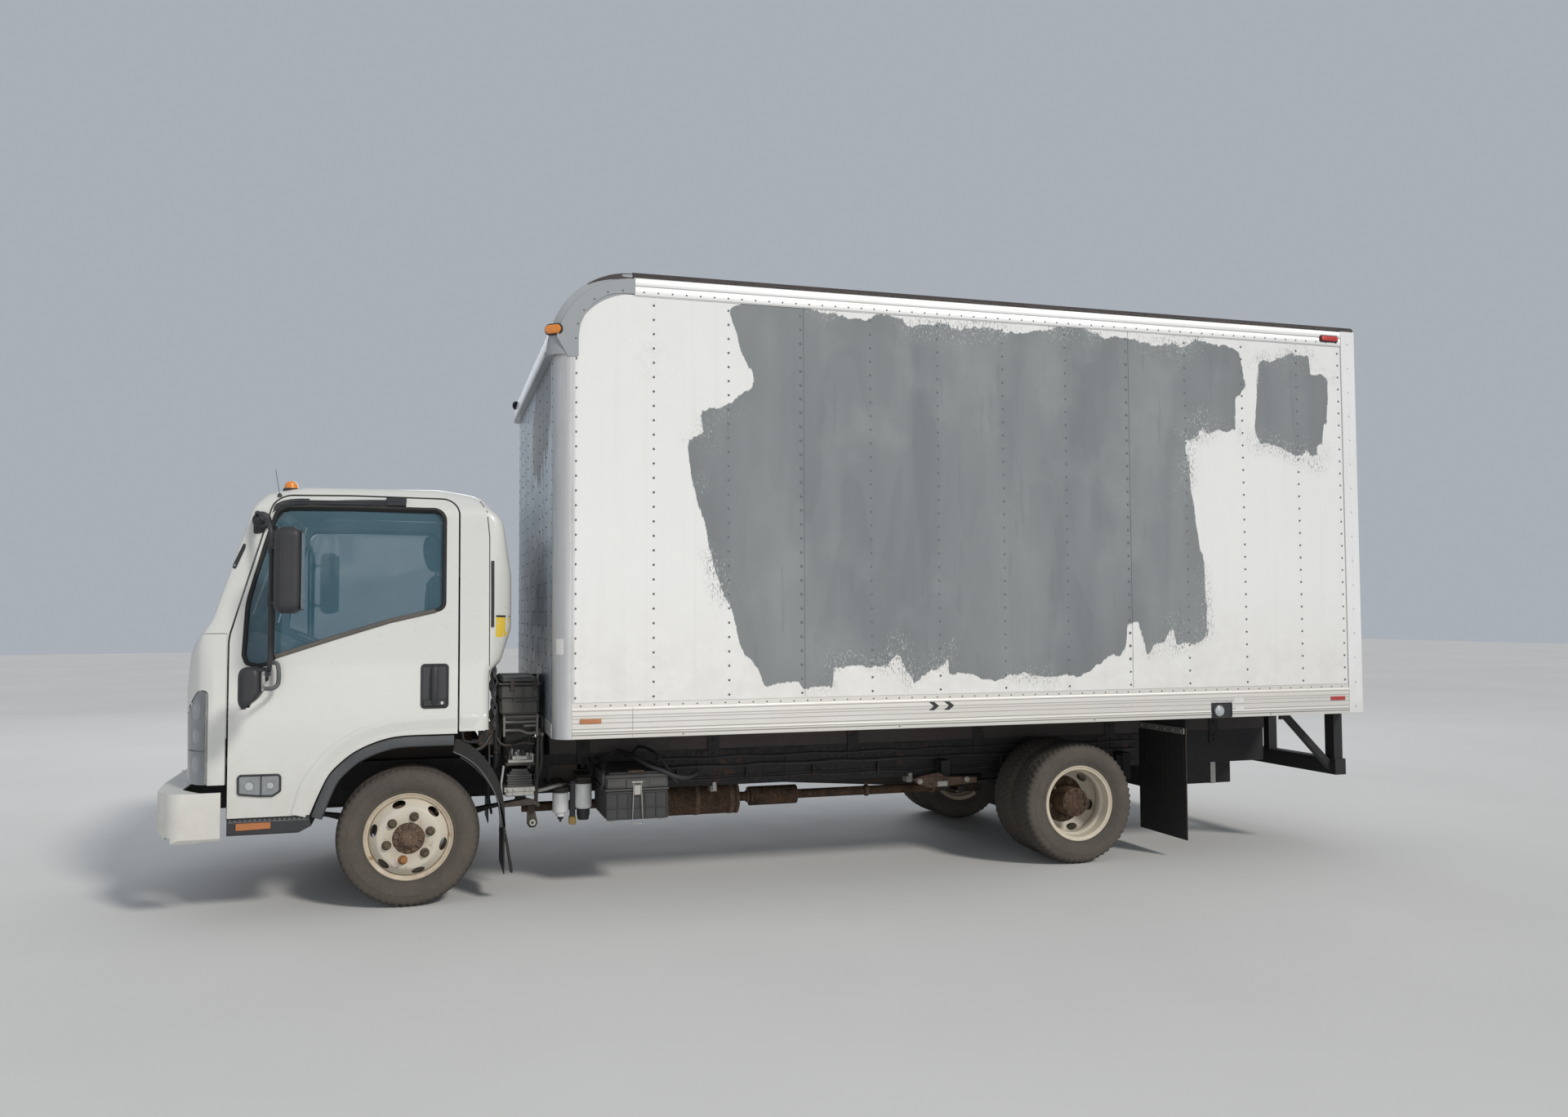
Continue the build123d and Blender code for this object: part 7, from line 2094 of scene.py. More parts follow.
for side, s in SIDES:
    m = Mesh()
    mirror_head(m, 1.309, -0.552, 1.503, 1.912, 0.168, 0.126)
    mirror_head(m, 1.302, -0.711, 1.060, 1.253, 0.146, 0.106, low=0.082)
    m.use(0)
    # seam round the main head
    m.tube([(1.2255, -0.568, 1.54), (1.2255, -0.568, 1.875)], 0.0014, 6)
    m.tube([(1.3925, -0.568, 1.54), (1.3925, -0.568, 1.875)], 0.0014, 6)
    # arm: black tube from the upper bracket down to the lower one
    top = [(0.962, -0.712, 1.958), (1.035, -0.703, 1.974), (1.112, -0.672, 1.962), (1.150, -0.649, 1.905), (1.151, -0.645, 1.80), (1.151, -0.645, 1.50), (1.150, -0.645, 1.28), (1.136, -0.652, 1.225),
           (1.090, -0.672, 1.205), (1.020, -0.700, 1.198)]
    m.tube(spline(top, 6), 0.0115, 12)
    m.tube(spline([(1.150, -0.645, 1.820), (1.195, -0.610, 1.824), (1.245, -0.571, 1.820)], 4), 0.0095, 10)
    m.tube(spline([(1.150, -0.645, 1.560), (1.195, -0.610, 1.556), (1.245, -0.571, 1.560)], 4), 0.0095, 10)
    for z in (1.820, 1.560):
        m.tube([(1.150, -0.645, z - 0.022), (1.150, -0.645, z + 0.022)], 0.0165, 14)
    # upper bracket on the pillar, lower on the door
    m.lathe([(0.0, 0.0), (0.0, 0.036), (0.010, 0.043), (0.040, 0.044), (0.052, 0.038), (0.056, 0.026), (0.056, 0.0)], (0.934, -0.712, 1.968), axis="x", n=32, closed=False)
    m.lathe([(0.0, 0.0), (0.0, 0.021), (0.040, 0.019), (0.044, 0.014), (0.044, 0.0)], (0.986, -0.712, 1.966), axis="x", n=24, closed=False)
    m.prism(rounded([(-0.752, 1.900), (-0.704, 1.908), (-0.690, 1.975), (-0.722, 2.010), (-0.752, 1.990)], 0.010, 4), "x", 0.928, 0.952, b=0.003)
    m.tube(spline([(0.985, -0.728, 1.985), (1.020, -0.732, 2.000), (1.070, -0.712, 1.998), (1.120, -0.676, 1.960)], 5), 0.0070, 10)
    m.box(1.006, 1.034, -0.742, -0.664, 1.172, 1.240, b=0.006)
    m.tube(spline([(1.150, -0.647, 1.212), (1.190, -0.668, 1.214), (1.240, -0.697, 1.205)], 4), 0.0095, 10)
    m.use(2)
    # grey stay behind the lower head
    m.tube(spline([(1.018, -0.655, 1.262), (1.060, -0.622, 1.258), (1.075, -0.612, 1.215), (1.070, -0.616, 1.160), (1.095, -0.636, 1.140), (1.150, -0.662, 1.143), (1.236, -0.690, 1.150)], 6), 0.0105, 12)
    m.use(0)
    m = m if s > 0 else m.flipped()
    piece("%s_mirror_set" % side, m, DOOR_NAME[s], [BLACK_PLASTIC, MIRROR_GLASS, GREY_PLASTIC], replaces=("%s_mirror" % side,), angle=38)

# step moulding: serrated edge, amber reflector, tread ribs; end seam of the sill
for side, s in SIDES:
    m = Mesh()
    m.use(0)
    y = -0.842
    while y < -0.472:
        m.add([(s * x, yy, z) for x in (0.925, 0.989) for yy, z in ((y, 0.4990), (y + 0.012, 0.4990), (y + 0.006, 0.5045))],
              [[0, 1, 2], [5, 4, 3], [0, 3, 4, 1], [1, 4, 5, 2], [2, 5, 3, 0]])
        y += 0.0135
    for x in (0.70, 0.76, 0.82, 0.88):
        m.box(s * x, s * (x + 0.022), -0.830, -0.500, 0.4990, 0.5025, b=0.001)
    m.use(3)
    y = -0.838
    while y < -0.480:
        m.prism([(y, 0.4855), (y + 0.011, 0.4855), (y + 0.009, 0.4965), (y + 0.002, 0.4965)], "x", s * 0.9860, s * 0.9935, b=0.0006)
        y += 0.0225
    m.box(s * 0.9885, s * 0.9925, -0.842, -0.475, 0.4810, 0.4862, b=0.001)
    m.use(1)
    m.prism(rounded([(-0.806, 0.4440), (-0.648, 0.4480), (-0.648, 0.4790), (-0.806, 0.4790)], 0.004, 3), "x", s * 0.9890, s * 0.9965, b=0.0012)
    m.use(2)
    for z in (0.4250,):
        m.box(s * 0.9895, s * 0.9915, -0.842, -0.53, z, z + 0.0016, b=0.0005)
    piece("%s_step_details" % side, m, "cab", [BLACK_PLASTIC, REFLECT_AMBER, RUBBER, GREY_PLASTIC], angle=30)

# roof lamps: base, amber dome with ribs, smaller red-brown one behind, antenna
m = Mesh()
for x in (-0.76, -0.20, 0.0, 0.20, 0.76):
    y = -0.598 if abs(x) > 0.5 else -0.575
    q, nn = hit(SHELL, (x, y, 3.0), (0, 0, -1), 2)
    zt = q.z - 0.005
    m.use(0)
    m.lathe([(0.0, 0.0), (0.0, 0.0400), (0.010, 0.0400), (0.014, 0.0365), (0.014, 0.0)], (x, y, zt), axis="z", n=32, closed=False)
    m.use(1)
    m.lathe([(0.012, 0.0), (0.012, 0.0335), (0.026, 0.0330), (0.036, 0.0300), (0.044, 0.0240), (0.0500, 0.0140), (0.0520, 0.0)], (x, y, zt), axis="z", n=32, closed=False)
for x in (0.48,):
    q, nn = hit(SHELL, (x, -0.538, 3.0), (0, 0, -1), 2)
    m.use(2)
    m.lathe([(0.0, 0.0), (0.0, 0.042), (0.012, 0.040), (0.020, 0.030), (0.024, 0.0)], (x, -0.538, q.z - 0.004), axis="z", n=28, closed=False)
m.use(0)
m.tube([(0.880, -0.640, 2.105), (0.885, -0.652, 2.180), (0.887, -0.660, 2.232)], 0.0014, 6)
m.lathe([(0.0, 0.0), (0.0, 0.011), (0.012, 0.009), (0.018, 0.0)], (0.880, -0.640, 2.098), axis="z", n=16, closed=False)
for x in (-0.55, 0.0, 0.55):
    m.box(x - 0.010, x + 0.010, 0.02, 0.06, 2.1600, 2.1660, b=0.002)
piece("cab_roof_lamp_set", m, "cab", [BLACK_PLASTIC, AMBER, RED], replaces=("roof_lamps",), angle=32)

# harness and hoses down the cab's rear edge, U-shaped bracket behind the flare
m = Mesh()
m.use(0)
rr = random.Random(5)
for j, (x, r) in enumerate(((0.905, 0.009), (0.925, 0.0065), (0.945, 0.005))):
    pts = []
    for i in range(12):
        z = 1.235 - 0.345 * i / 11
        y = 0.412 + 0.012 * math.sin(i * 1.3 + j * 2.1) + 0.005 * rr.random()
        pts.append((x + 0.006 * math.sin(i * 0.9 + j), y + 0.004 * j, z))
    m.tube(spline(pts, 3), r, 8)
for z in (1.18, 1.08, 0.985, 0.92):
    m.tube([(0.896, 0.414, z), (0.955, 0.424, z)], 0.0125, 10, flat=(0.016, 0.034))
m.use(1)
m.tube(spline([(0.985, 0.262, 0.893), (0.985, 0.266, 0.852), (0.985, 0.290, 0.838), (0.985, 0.345, 0.838), (0.985, 0.368, 0.852), (0.985, 0.374, 0.893)], 5), 0.0065, 10)
m.box(0.960, 0.992, 0.250, 0.276, 0.884, 0.8985, b=0.003)
m.box(0.960, 0.992, 0.362, 0.386, 0.884, 0.8985, b=0.003)
m.use(0)
m.tube(spline([(0.93, 0.262, 0.82), (0.935, 0.295, 0.795), (0.93, 0.335, 0.79), (0.90, 0.375, 0.81), (0.86, 0.41, 0.86)], 5), 0.010, 10)
piece("cab_rear_harness", m, "cab", [WIRE, CHASSIS])


# ---------------------------------------------------------------------------------------------
# behind the cab and under the frame
# ---------------------------------------------------------------------------------------------
PALE_ALLOY = alloy("weathered_cast_alloy", base=(0.46, 0.45, 0.42), rough=0.55, stain=0.6)
DUCT = plastic("air_duct_plastic", (0.060, 0.058, 0.054), (0.14, 0.135, 0.125), rough=0.6, amount=0.7)
RACK_PIPE = plastic("dusty_pipe_coating", (0.17, 0.165, 0.155), (0.26, 0.245, 0.22), rough=0.6, amount=0.6)
BATTERY_LID = plastic("battery_lid_plastic", (0.060, 0.060, 0.060), (0.155, 0.148, 0.135), rough=0.62, amount=0.7)
BOWL = plastic("filter_bowl_amber", (0.36, 0.25, 0.07), (0.22, 0.17, 0.08), rough=0.3)
GREASY = dusty_black("oily_dust", base=(0.030, 0.026, 0.022), dirt=(0.17, 0.145, 0.115), amount=0.7, rough=0.7, rust=0.2, bump=0.5)
rr = random.Random(41)

# air cleaner: square housing with a clipped lid and a duct into the cab's rear
m = Mesh()
m.use(0)
m.box(0.335, 0.842, 0.458, 0.662, 0.958, 1.034, b=0.012)
m.box(0.335, 0.842, 0.456, 0.664, 1.040, 1.118, b=0.012)
m.box(0.345, 0.832, 0.466, 0.654, 1.030, 1.044, b=0.002)
for x in np.arange(0.39, 0.82, 0.055):
    m.box(x - 0.004, x + 0.004, 0.4545, 0.6655, 0.985, 1.026, b=0.002)
m.box(0.318, 0.324, 0.446, 0.696, 0.800, 1.150, b=0.002)
m.box(0.324, 0.336, 0.452, 0.690, 0.806, 0.826, b=0.002)
for y in (0.53, 0.58, 0.63):
    m.box(0.8400, 0.8445, y - 0.004, y + 0.004, 0.985, 1.100, b=0.002)
m.use(1)
m.box(0.328, 0.850, 0.451, 0.669, 1.118, 1.128, b=0.003)
m.box(0.345, 0.835, 0.464, 0.656, 1.126, 1.158, b=0.012)
m.use(2)
for y in (0.52, 0.64):
    m.box(0.8490, 0.8540, y - 0.010, y + 0.010, 1.090, 1.140, b=0.0015)
for x in (0.45, 0.60, 0.75):
    m.box(x - 0.010, x + 0.010, 0.4480, 0.4530, 1.090, 1.140, b=0.0015)
m.use(0)
m.tube(spline([(0.30, 0.560, 1.05), (0.36, 0.560, 1.06), (0.45, 0.56, 1.08)], 5), 0.052, 20)
for k in range(7):
    m.tube([(0.205 + 0.018 * k, 0.560, 1.045), (0.213 + 0.018 * k, 0.560, 1.045)], 0.058, 20)
m.tube([(0.20, 0.560, 1.045), (0.335, 0.560, 1.045)], 0.050, 20)
piece("air_cleaner_housing", m, "chassis", [DUCT, BATTERY_LID, GREASY], replaces=("air_cleaner",), angle=35)

# rack of pipes under it
m = Mesh()
m.use(0)
for x, z, y0, y1 in ((0.800, 0.946, 0.474, 0.668), (0.800, 0.917, 0.474, 0.664), (0.800, 0.896, 0.585, 0.662), (0.76, 0.930, 0.474, 0.668)):
    m.tube([(x, y0, z), (x, y1, z)], 0.0075, 10)
m.tube(spline([(0.800, 0.474, 0.872), (0.800, 0.560, 0.872), (0.800, 0.610, 0.855), (0.800, 0.660, 0.858), (0.800, 0.690, 0.842)], 5), 0.0075, 10)
for y in (0.482, 0.655):
    m.box(0.785, 0.816, y - 0.006, y + 0.006, 0.840, 0.960, b=0.002)
m.use(1)
m.box(0.770, 0.815, 0.650, 0.676, 0.838, 0.880, b=0.004)
m.box(0.745, 0.800, 0.676, 0.694, 0.845, 0.860, b=0.003)
piece("cab_rear_pipe_rack", m, "chassis", [RACK_PIPE, GREASY])

# ribbed duct and splash shield that close the space behind the wheel, hoses and lines down to the engine
m = Mesh()
m.use(0)
m.box(0.470, 0.700, 0.486, 0.640, 0.700, 0.962, b=0.012)
for k in range(9):
    z = 0.715 + 0.027 * k
    m.box(0.694, 0.7065, 0.492, 0.634, z, z + 0.012, b=0.003)
m.prism([(0.400, 0.500), (0.424, 0.500), (0.424, 0.885), (0.640, 0.885), (0.640, 0.893), (0.400, 0.893)], "x", 0.440, 0.452, b=0.001)
m.box(0.436, 0.740, 0.404, 0.412, 0.480, 0.872, b=0.003)
for x in (0.50, 0.57, 0.64, 0.71):
    m.box(x - 0.006, x + 0.006, 0.4115, 0.4165, 0.500, 0.860, b=0.0015)
m.use(1)
for j, (x, y, r) in enumerate(((0.742, 0.446, 0.016), (0.716, 0.462, 0.012), (0.756, 0.684, 0.013), (0.735, 0.668, 0.009))):
    m.tube(spline([(x, y, 0.985 - 0.02 * j), (x + 0.006, y + 0.004, 0.90), (x - 0.004, y - 0.003, 0.80), (x - 0.02, y, 0.70), (x - 0.07, y - 0.01, 0.62), (0.44, y, 0.585)], 5), r, 12)
m.use(2)
for z in (0.955, 0.845, 0.755):
    m.tube([(0.742, 0.446, z - 0.006), (0.742, 0.446, z + 0.006)], 0.0185, 14)
m.tube(spline([(0.790, 0.446, 0.835), (0.800, 0.470, 0.800), (0.802, 0.520, 0.792), (0.800, 0.580, 0.804), (0.790, 0.640, 0.796)], 5), 0.0065, 8)
m.box(0.706, 0.716, 0.500, 0.626, 0.842, 0.852, b=0.002)
# splash plate under the cab's rear corner
m.box(0.738, 0.744, 0.350, 0.452, 0.792, 0.912, b=0.002)
m.box(0.700, 0.740, 0.438, 0.444, 0.800, 0.900, b=0.0015)
piece("cab_rear_duct_stack", m, "chassis", [DUCT, WIRE, GREASY], angle=35)

# ribbed canister on its pale foot, brackets, link below, valve cluster above
m = Mesh()
m.use(1)
m.box(0.690, 0.876, 0.484, 0.634, 0.531, 0.566, b=0.004)
m.box(0.700, 0.880, 0.478, 0.640, 0.553, 0.579, b=0.003)
for y in (0.500, 0.530, 0.588, 0.618):
    m.bolt((0.8795, y, 0.566), (1, 0, 0), 0.0065, 0.005)
    m.box(0.8755, 0.8800, y - 0.008, y + 0.008, 0.536, 0.549, b=0.001)
m.use(0)
for k in range(7):
    z = 0.579 + 0.0135 * k
    g = 0.0035 if k % 2 else 0.0
    t = 0.012 * max(0, k - 4)
    m.box(0.700 + g, 0.876 - g, 0.492 + g + t, 0.626 - g - t, z, z + 0.0138, b=0.004)
m.use(1)
m.prism([(0.466, 0.532), (0.474, 0.532), (0.470, 0.600), (0.482, 0.690), (0.472, 0.695), (0.460, 0.610)], "x", 0.845, 0.872, b=0.001)
m.use(2)
m.prism([(0.470, 0.475), (0.640, 0.480), (0.662, 0.466), (0.668, 0.480), (0.640, 0.500), (0.600, 0.512), (0.470, 0.490)], "x", 0.800, 0.868, b=0.002)
m.prism(rounded([(0.606, 0.470), (0.640, 0.470), (0.662, 0.372), (0.648, 0.350), (0.618, 0.350), (0.604, 0.372)], 0.014, 4), "x", 0.790, 0.806, b=0.002)
m.use(1)
m.disc((0.806, 0.633, 0.378), (1, 0, 0), 0.017, 0.008, seg=22)
m.use(2)
m.disc((0.813, 0.633, 0.378), (1, 0, 0), 0.008, 0.004, seg=16)
m.prism([(0.640, 0.46), (0.662, 0.46), (0.668, 0.84), (0.655, 0.84)], "x", 0.790, 0.800, b=0.001)
m.box(0.60, 0.80, 0.640, 0.655, 0.600, 0.640, b=0.003)
m.use(2)
m.box(0.700, 0.872, 0.486, 0.640, 0.6920, 0.7050, b=0.002)
m.box(0.720, 0.760, 0.500, 0.520, 0.672, 0.694, b=0.003)
m.box(0.820, 0.860, 0.600, 0.620, 0.672, 0.694, b=0.003)
m.use(1)
m.box(0.742, 0.868, 0.498, 0.632, 0.704, 0.722, b=0.004)
m.box(0.800, 0.862, 0.520, 0.600, 0.720, 0.742, b=0.004)
for k in range(17):
    x = 0.765 + 0.095 * rr.random(); y = 0.492 + 0.140 * rr.random(); r = 0.008 + 0.008 * rr.random(); h = 0.030 + 0.044 * rr.random()
    m.use(1 if rr.random() < 0.8 else 2)
    m.lathe([(0, 0), (0, r), (h * 0.5, r), (h * 0.52, r * 0.8), (h, r * 0.75), (h, 0)], (x, y, 0.704), axis="z", n=14, closed=False)
    if rr.random() < 0.6:
        a = rr.choice(((1, 0, 0), (0, 1, 0), (0, -1, 0)))
        m.disc((x, y, 0.704 + h * 0.45), a, r * 0.7, 0.022, seg=12)
m.use(3)
for k in range(5):
    x0, y0 = 0.85 - 0.03 * k, 0.505 + 0.028 * k
    m.tube(spline([(x0, y0, 0.735), (x0 - 0.01, y0 + 0.01, 0.775), (x0 - 0.06, y0 + 0.03, 0.800 + 0.01 * k), (x0 - 0.16, y0 + 0.05, 0.790), (0.44, 0.60 + 0.03 * k, 0.700)], 5), 0.0045 + 0.001 * (k % 2), 8)
piece("frame_side_canister", m, "chassis", [BATTERY_LID, PALE_ALLOY, GREASY, WIRE], replaces=("reservoir_box",), angle=35)

# fuel filters
m = Mesh()
LOW1 = [(0.0, 0.0), (0.0, 0.006), (0.012, 0.007), (0.016, 0.014), (0.030, 0.016), (0.032, 0.024), (0.050, 0.026), (0.053, 0.038), (0.058, 0.0425), (0.064, 0.0445), (0.155, 0.0445), (0.160, 0.043), (0.164, 0.038), (0.164, 0.0)]
FA, FB = 0.800, 0.926
m.use(0)
m.lathe([(z, r) for z, r in LOW1 if z >= 0.030], (0.640, FA, 0.345), axis="z", n=40, closed=False)
m.use(2)
m.lathe([(0.0, 0.0), (0.0, 0.006), (0.012, 0.007), (0.016, 0.015), (0.033, 0.017), (0.033, 0.0)], (0.640, FA, 0.345), axis="z", n=24, closed=False)
m.use(3)
m.lathe([(0.0, 0.0), (0.0, 0.040), (0.010, 0.046), (0.026, 0.046), (0.030, 0.034), (0.044, 0.0)], (0.640, FA, 0.507), axis="z", n=32, closed=False)
m.use(0)
m.lathe([(0.0, 0.0), (0.0, 0.036), (0.006, 0.044), (0.014, 0.0465), (0.130, 0.0465), (0.137, 0.044), (0.139, 0.0)], (0.640, FB, 0.415), axis="z", n=40, closed=False)
m.use(3)
m.lathe([(0.0, 0.0), (0.0, 0.043), (0.004, 0.0475), (0.016, 0.0475), (0.022, 0.040), (0.028, 0.038), (0.034, 0.0)], (0.640, FB, 0.553), axis="z", n=32, closed=False)
m.box(0.600, 0.680, FB - 0.043, FB + 0.041, 0.568, 0.590, b=0.006)
m.use(4)
m.box(0.615, 0.655, 0.847, 0.885, 0.328, 0.372, b=0.004)
m.use(2)
m.lathe([(0.0, 0.0), (0.0, 0.030), (0.030, 0.036), (0.064, 0.036), (0.064, 0.0)], (0.635, FB, 0.352), axis="z", n=24, closed=False)
m.box(0.620, 0.650, 0.851, 0.881, 0.368, 0.572, b=0.003)
m.use(3)
m.use(1)
m.tube(spline([(0.69, 0.650, 0.528), (0.69, 0.705, 0.536), (0.680, 0.760, 0.548), (0.655, 0.806, 0.552)], 5), 0.0115, 10)
m.use(3)
m.tube([(0.635, 0.735, 0.548), (0.425, 0.735, 0.548)], 0.009, 10)
m.box(0.4255, 0.670, 0.764, 0.830, 0.550, 0.560, b=0.002)
m.box(0.4255, 0.640, 0.892, 0.962, 0.588, 0.596, b=0.002)
m.box(0.4255, 0.4335, 0.748, 0.972, 0.546, 0.632, b=0.002)
m.use(5)
m.tube(spline([(0.640, 0.842, 0.545), (0.650, 0.858, 0.558), (0.650, 0.872, 0.568), (0.640, 0.890, 0.578)], 4), 0.006, 8)
m.tube(spline([(0.640, 0.953, 0.580), (0.640, 0.970, 0.606), (0.560, 0.985, 0.646), (0.440, 0.982, 0.664)], 5), 0.006, 8)
piece("fuel_filter_set", m, "chassis", [FILTER_WHITE_PAINTED_LIGHT, PALE_ALLOY, BLACK_PLASTIC, GREASY, BOWL, WIRE], replaces=("fuel_filters",), angle=35)

# battery box: ribbed tray, lighter lid with a raised middle, wire latch, cables over the top
m = Mesh()
m.use(0)
m.box(0.478, 0.940, 1.010, 1.344, 0.387, 0.545, b=0.008)
m.use(1)
m.box(0.475, 0.946, 1.004, 1.350, 0.542, 0.552, b=0.002)
m.box(0.480, 0.942, 1.008, 1.346, 0.550, 0.618, b=0.010)
m.box(0.475, 0.948, 1.002, 1.352, 0.610, 0.630, b=0.005)
m.box(0.490, 0.935, 1.023, 1.335, 0.628, 0.642, b=0.005)
m.use(0)
for z in (0.392, 0.452, 0.533):
    m.box(0.9385, 0.9455, 1.012, 1.342, z - 0.004, z + 0.004, b=0.0015)
for y in (1.014, 1.072, 1.130, 1.222, 1.281, 1.340):
    m.box(0.9385, 0.9455, y - 0.003, y + 0.003, 0.392, 0.533, b=0.0012)
for x in np.arange(0.52, 0.94, 0.07):
    for y in (1.0085, 1.3455):
        m.box(x - 0.003, x + 0.003, y - 0.003, y + 0.003, 0.392, 0.533, b=0.0012)
m.use(1)
m.box(0.9400, 0.9500, 1.118, 1.228, 0.556, 0.606, b=0.004)
for y in (1.060, 1.290):
    m.box(0.9405, 0.9450, y - 0.045, y + 0.045, 0.565, 0.600, b=0.002)
m.use(2)
m.box(0.880, 0.950, 1.128, 1.215, 0.641, 0.651, b=0.003)
m.use(3)
m.tube([(0.950, 1.156, 0.590), (0.954, 1.154, 0.500), (0.953, 1.148, 0.366), (0.953, 1.206, 0.366), (0.954, 1.200, 0.500), (0.950, 1.196, 0.590)], 0.0028, 8)
m.box(0.948, 0.9565, 1.158, 1.194, 0.520, 0.572, b=0.002)
m.tube([(0.950, 1.146, 0.588), (0.950, 1.206, 0.588)], 0.0042, 8)
m.use(4)
m.tube(spline([(0.70, 1.050, 0.655), (0.80, 1.018, 0.690), (0.905, 1.000, 0.670), (0.958, 0.992, 0.630), (0.955, 0.990, 0.590), (0.93, 0.985, 0.560)], 6), 0.0085, 10)
m.tube(spline([(0.60, 1.120, 0.720), (0.72, 1.150, 0.722), (0.84, 1.180, 0.708), (0.92, 1.235, 0.676), (0.945, 1.300, 0.650), (0.940, 1.385, 0.610), (0.90, 1.460, 0.596), (0.86, 1.520, 0.610)], 6), 0.0125, 12)
m.tube(spline([(0.55, 1.250, 0.735), (0.70, 1.270, 0.740), (0.82, 1.310, 0.716), (0.86, 1.350, 0.660), (0.86, 1.380, 0.600), (0.80, 1.43, 0.560)], 6), 0.0085, 10)
m.tube(spline([(0.44, 1.02, 0.665), (0.52, 1.05, 0.672), (0.60, 1.120, 0.720)], 5), 0.0110, 10)
m.tube(spline([(0.44, 1.20, 0.668), (0.50, 1.22, 0.690), (0.55, 1.250, 0.735)], 5), 0.0085, 10)
m.use(3)
m.box(0.4255, 0.478, 1.025, 1.065, 0.420, 0.560, b=0.003)
m.box(0.4255, 0.478, 1.300, 1.340, 0.420, 0.560, b=0.003)
m.box(0.440, 0.930, 1.030, 1.060, 0.378, 0.388, b=0.002)
m.box(0.440, 0.930, 1.300, 1.330, 0.378, 0.388, b=0.002)
piece("battery_box_details", m, "chassis", [BATTERY_GREY, BATTERY_LID, HUB_RUST, PALE_ALLOY, WIRE], replaces=("battery_box",), angle=35)

# front mudguard side skirts and the long thin flaps
for side, s in SIDES:
    m = Mesh()
    m.use(0)
    o = spline([(0, 0.226, 0.856), (0, 0.262, 0.845), (0, 0.330, 0.798), (0, 0.398, 0.720), (0, 0.448, 0.620), (0, 0.472, 0.520), (0, 0.481, 0.392)], 4)
    i = spline([(0, 0.458, 0.392), (0, 0.452, 0.470), (0, 0.440, 0.535), (0, 0.400, 0.620), (0, 0.345, 0.700), (0, 0.280, 0.755), (0, 0.215, 0.790)], 4)
    m.prism([(p.y, p.z) for p in o] + [(p.y, p.z) for p in i], "x", s * 0.9790, s * 0.9850, b=0.001)
    m.use(1)
    m.tube([(s * 0.9845, p.y, p.z) for p in i], 0.0030, 8)
    m.use(0)
    m.prism([(0.470, 0.394), (0.480, 0.394), (0.520, 0.165), (0.516, 0.150), (0.506, 0.155)], "x", s * 0.930, s * 0.980, b=0.001)
    m.use(1)
    for z in (0.375, 0.36):
        m.disc((s * 0.9795, 0.478, z), (s, 0, 0), 0.006, 0.003, seg=12)
    piece("front_%s_mudguard_skirt" % side, m, "chassis", [FLAP, GREY_PLASTIC], angle=40)

# rear flaps: outer edge strip, top clamp bar with bolts, stiffening ribs
for side, s in SIDES:
    m = Mesh()
    m.use(0)
    m.use(2)
    m.tube([(s * 1.0850, 4.5190, 0.110), (s * 1.0855, 4.5190, 0.780)], 0.0028, 8)
    m.use(0)
    m.box(s * 0.595, s * 1.080, 4.5075, 4.5150, 0.745, 0.785, b=0.002)
    m.box(s * 0.595, s * 1.080, 4.5230, 4.5290, 0.745, 0.785, b=0.002)
    for k in range(6):
        m.bolt((s * (0.63 + 0.084 * k), 4.5290, 0.765), (0, 1, 0), 0.008, 0.005)
        m.bolt((s * (0.63 + 0.084 * k), 4.5075, 0.765), (0, -1, 0), 0.008, 0.005)
    m.use(1)
    for k in range(9):
        m.box(s * (0.62 + 0.055 * k - 0.003), s * (0.62 + 0.055 * k + 0.003), 4.5225, 4.5248, 0.130, 0.735, b=0.0008)
        m.box(s * (0.62 + 0.055 * k - 0.003), s * (0.62 + 0.055 * k + 0.003), 4.5132, 4.5155, 0.130, 0.735, b=0.0008)
    piece("rear_%s_flap_fittings" % side, m, "chassis", [PALE_ALLOY, FLAP, GREASY], angle=35)

# frame rails: rows of black discs as painted shade in the holes, reinforcing plates, bolted flanges, brake and electric
# lines with clips
m = Mesh()
m.use(0)
for s in (1, -1):
    X = s * 0.4250
    for y in np.arange(1.45, 4.9, 0.0508):
        ph = int(round(y / 0.0508))
        for z in (0.505, 0.545, 0.620, 0.662):
            if (ph * 7 + int(z * 1000)) % 5 in (0, 1, 3) and not (2.95 < y < 3.02):
                m.disc((X - s * 0.0006, y, z), (s, 0, 0), 0.0062, 0.0012, seg=10, b=0.0003)
m.use(1)
for s in (1, -1):
    X = s * 0.4250
    for y0, y1 in ((1.62, 2.02), (2.16, 2.30), (2.88, 3.10), (4.30, 4.62)):
        m.box(X, X + s * 0.006, y0, y1, 0.485, 0.684, b=0.002)
        for yy in np.arange(y0 + 0.03, y1 - 0.01, 0.075):
            for z in (0.505, 0.665):
                m.bolt((X + s * 0.006, yy, z), (s, 0, 0), 0.0085, 0.006)
    for y in (0.95, 1.72, 2.60, 3.45, 4.40, 5.20):
        m.box(s * 0.4252, s * 0.4335, y - 0.035, y + 0.035, 0.600, 0.855, b=0.002)
        for z in (0.62, 0.655, 0.745, 0.82):
            m.bolt((s * 0.4335, y, z), (s, 0, 0), 0.010, 0.007)
m.use(2)
for (z, r, x) in ((0.515, 0.0045, 0.437), (0.530, 0.0035, 0.436), (0.641, 0.0075, 0.440), (0.590, 0.010, 0.442)):
    pts = [(x + 0.003 * math.sin(k * 1.7 + z * 30), 1.38 + k * 0.16, z + 0.004 * math.sin(k * 2.3 + z * 50)) for k in range(21)]
    m.tube(spline(pts, 3), r, 8)
m.use(1)
for y in np.arange(1.5, 4.5, 0.42):
    m.box(0.4255, 0.452, y - 0.006, y + 0.006, 0.508, 0.600, b=0.001)
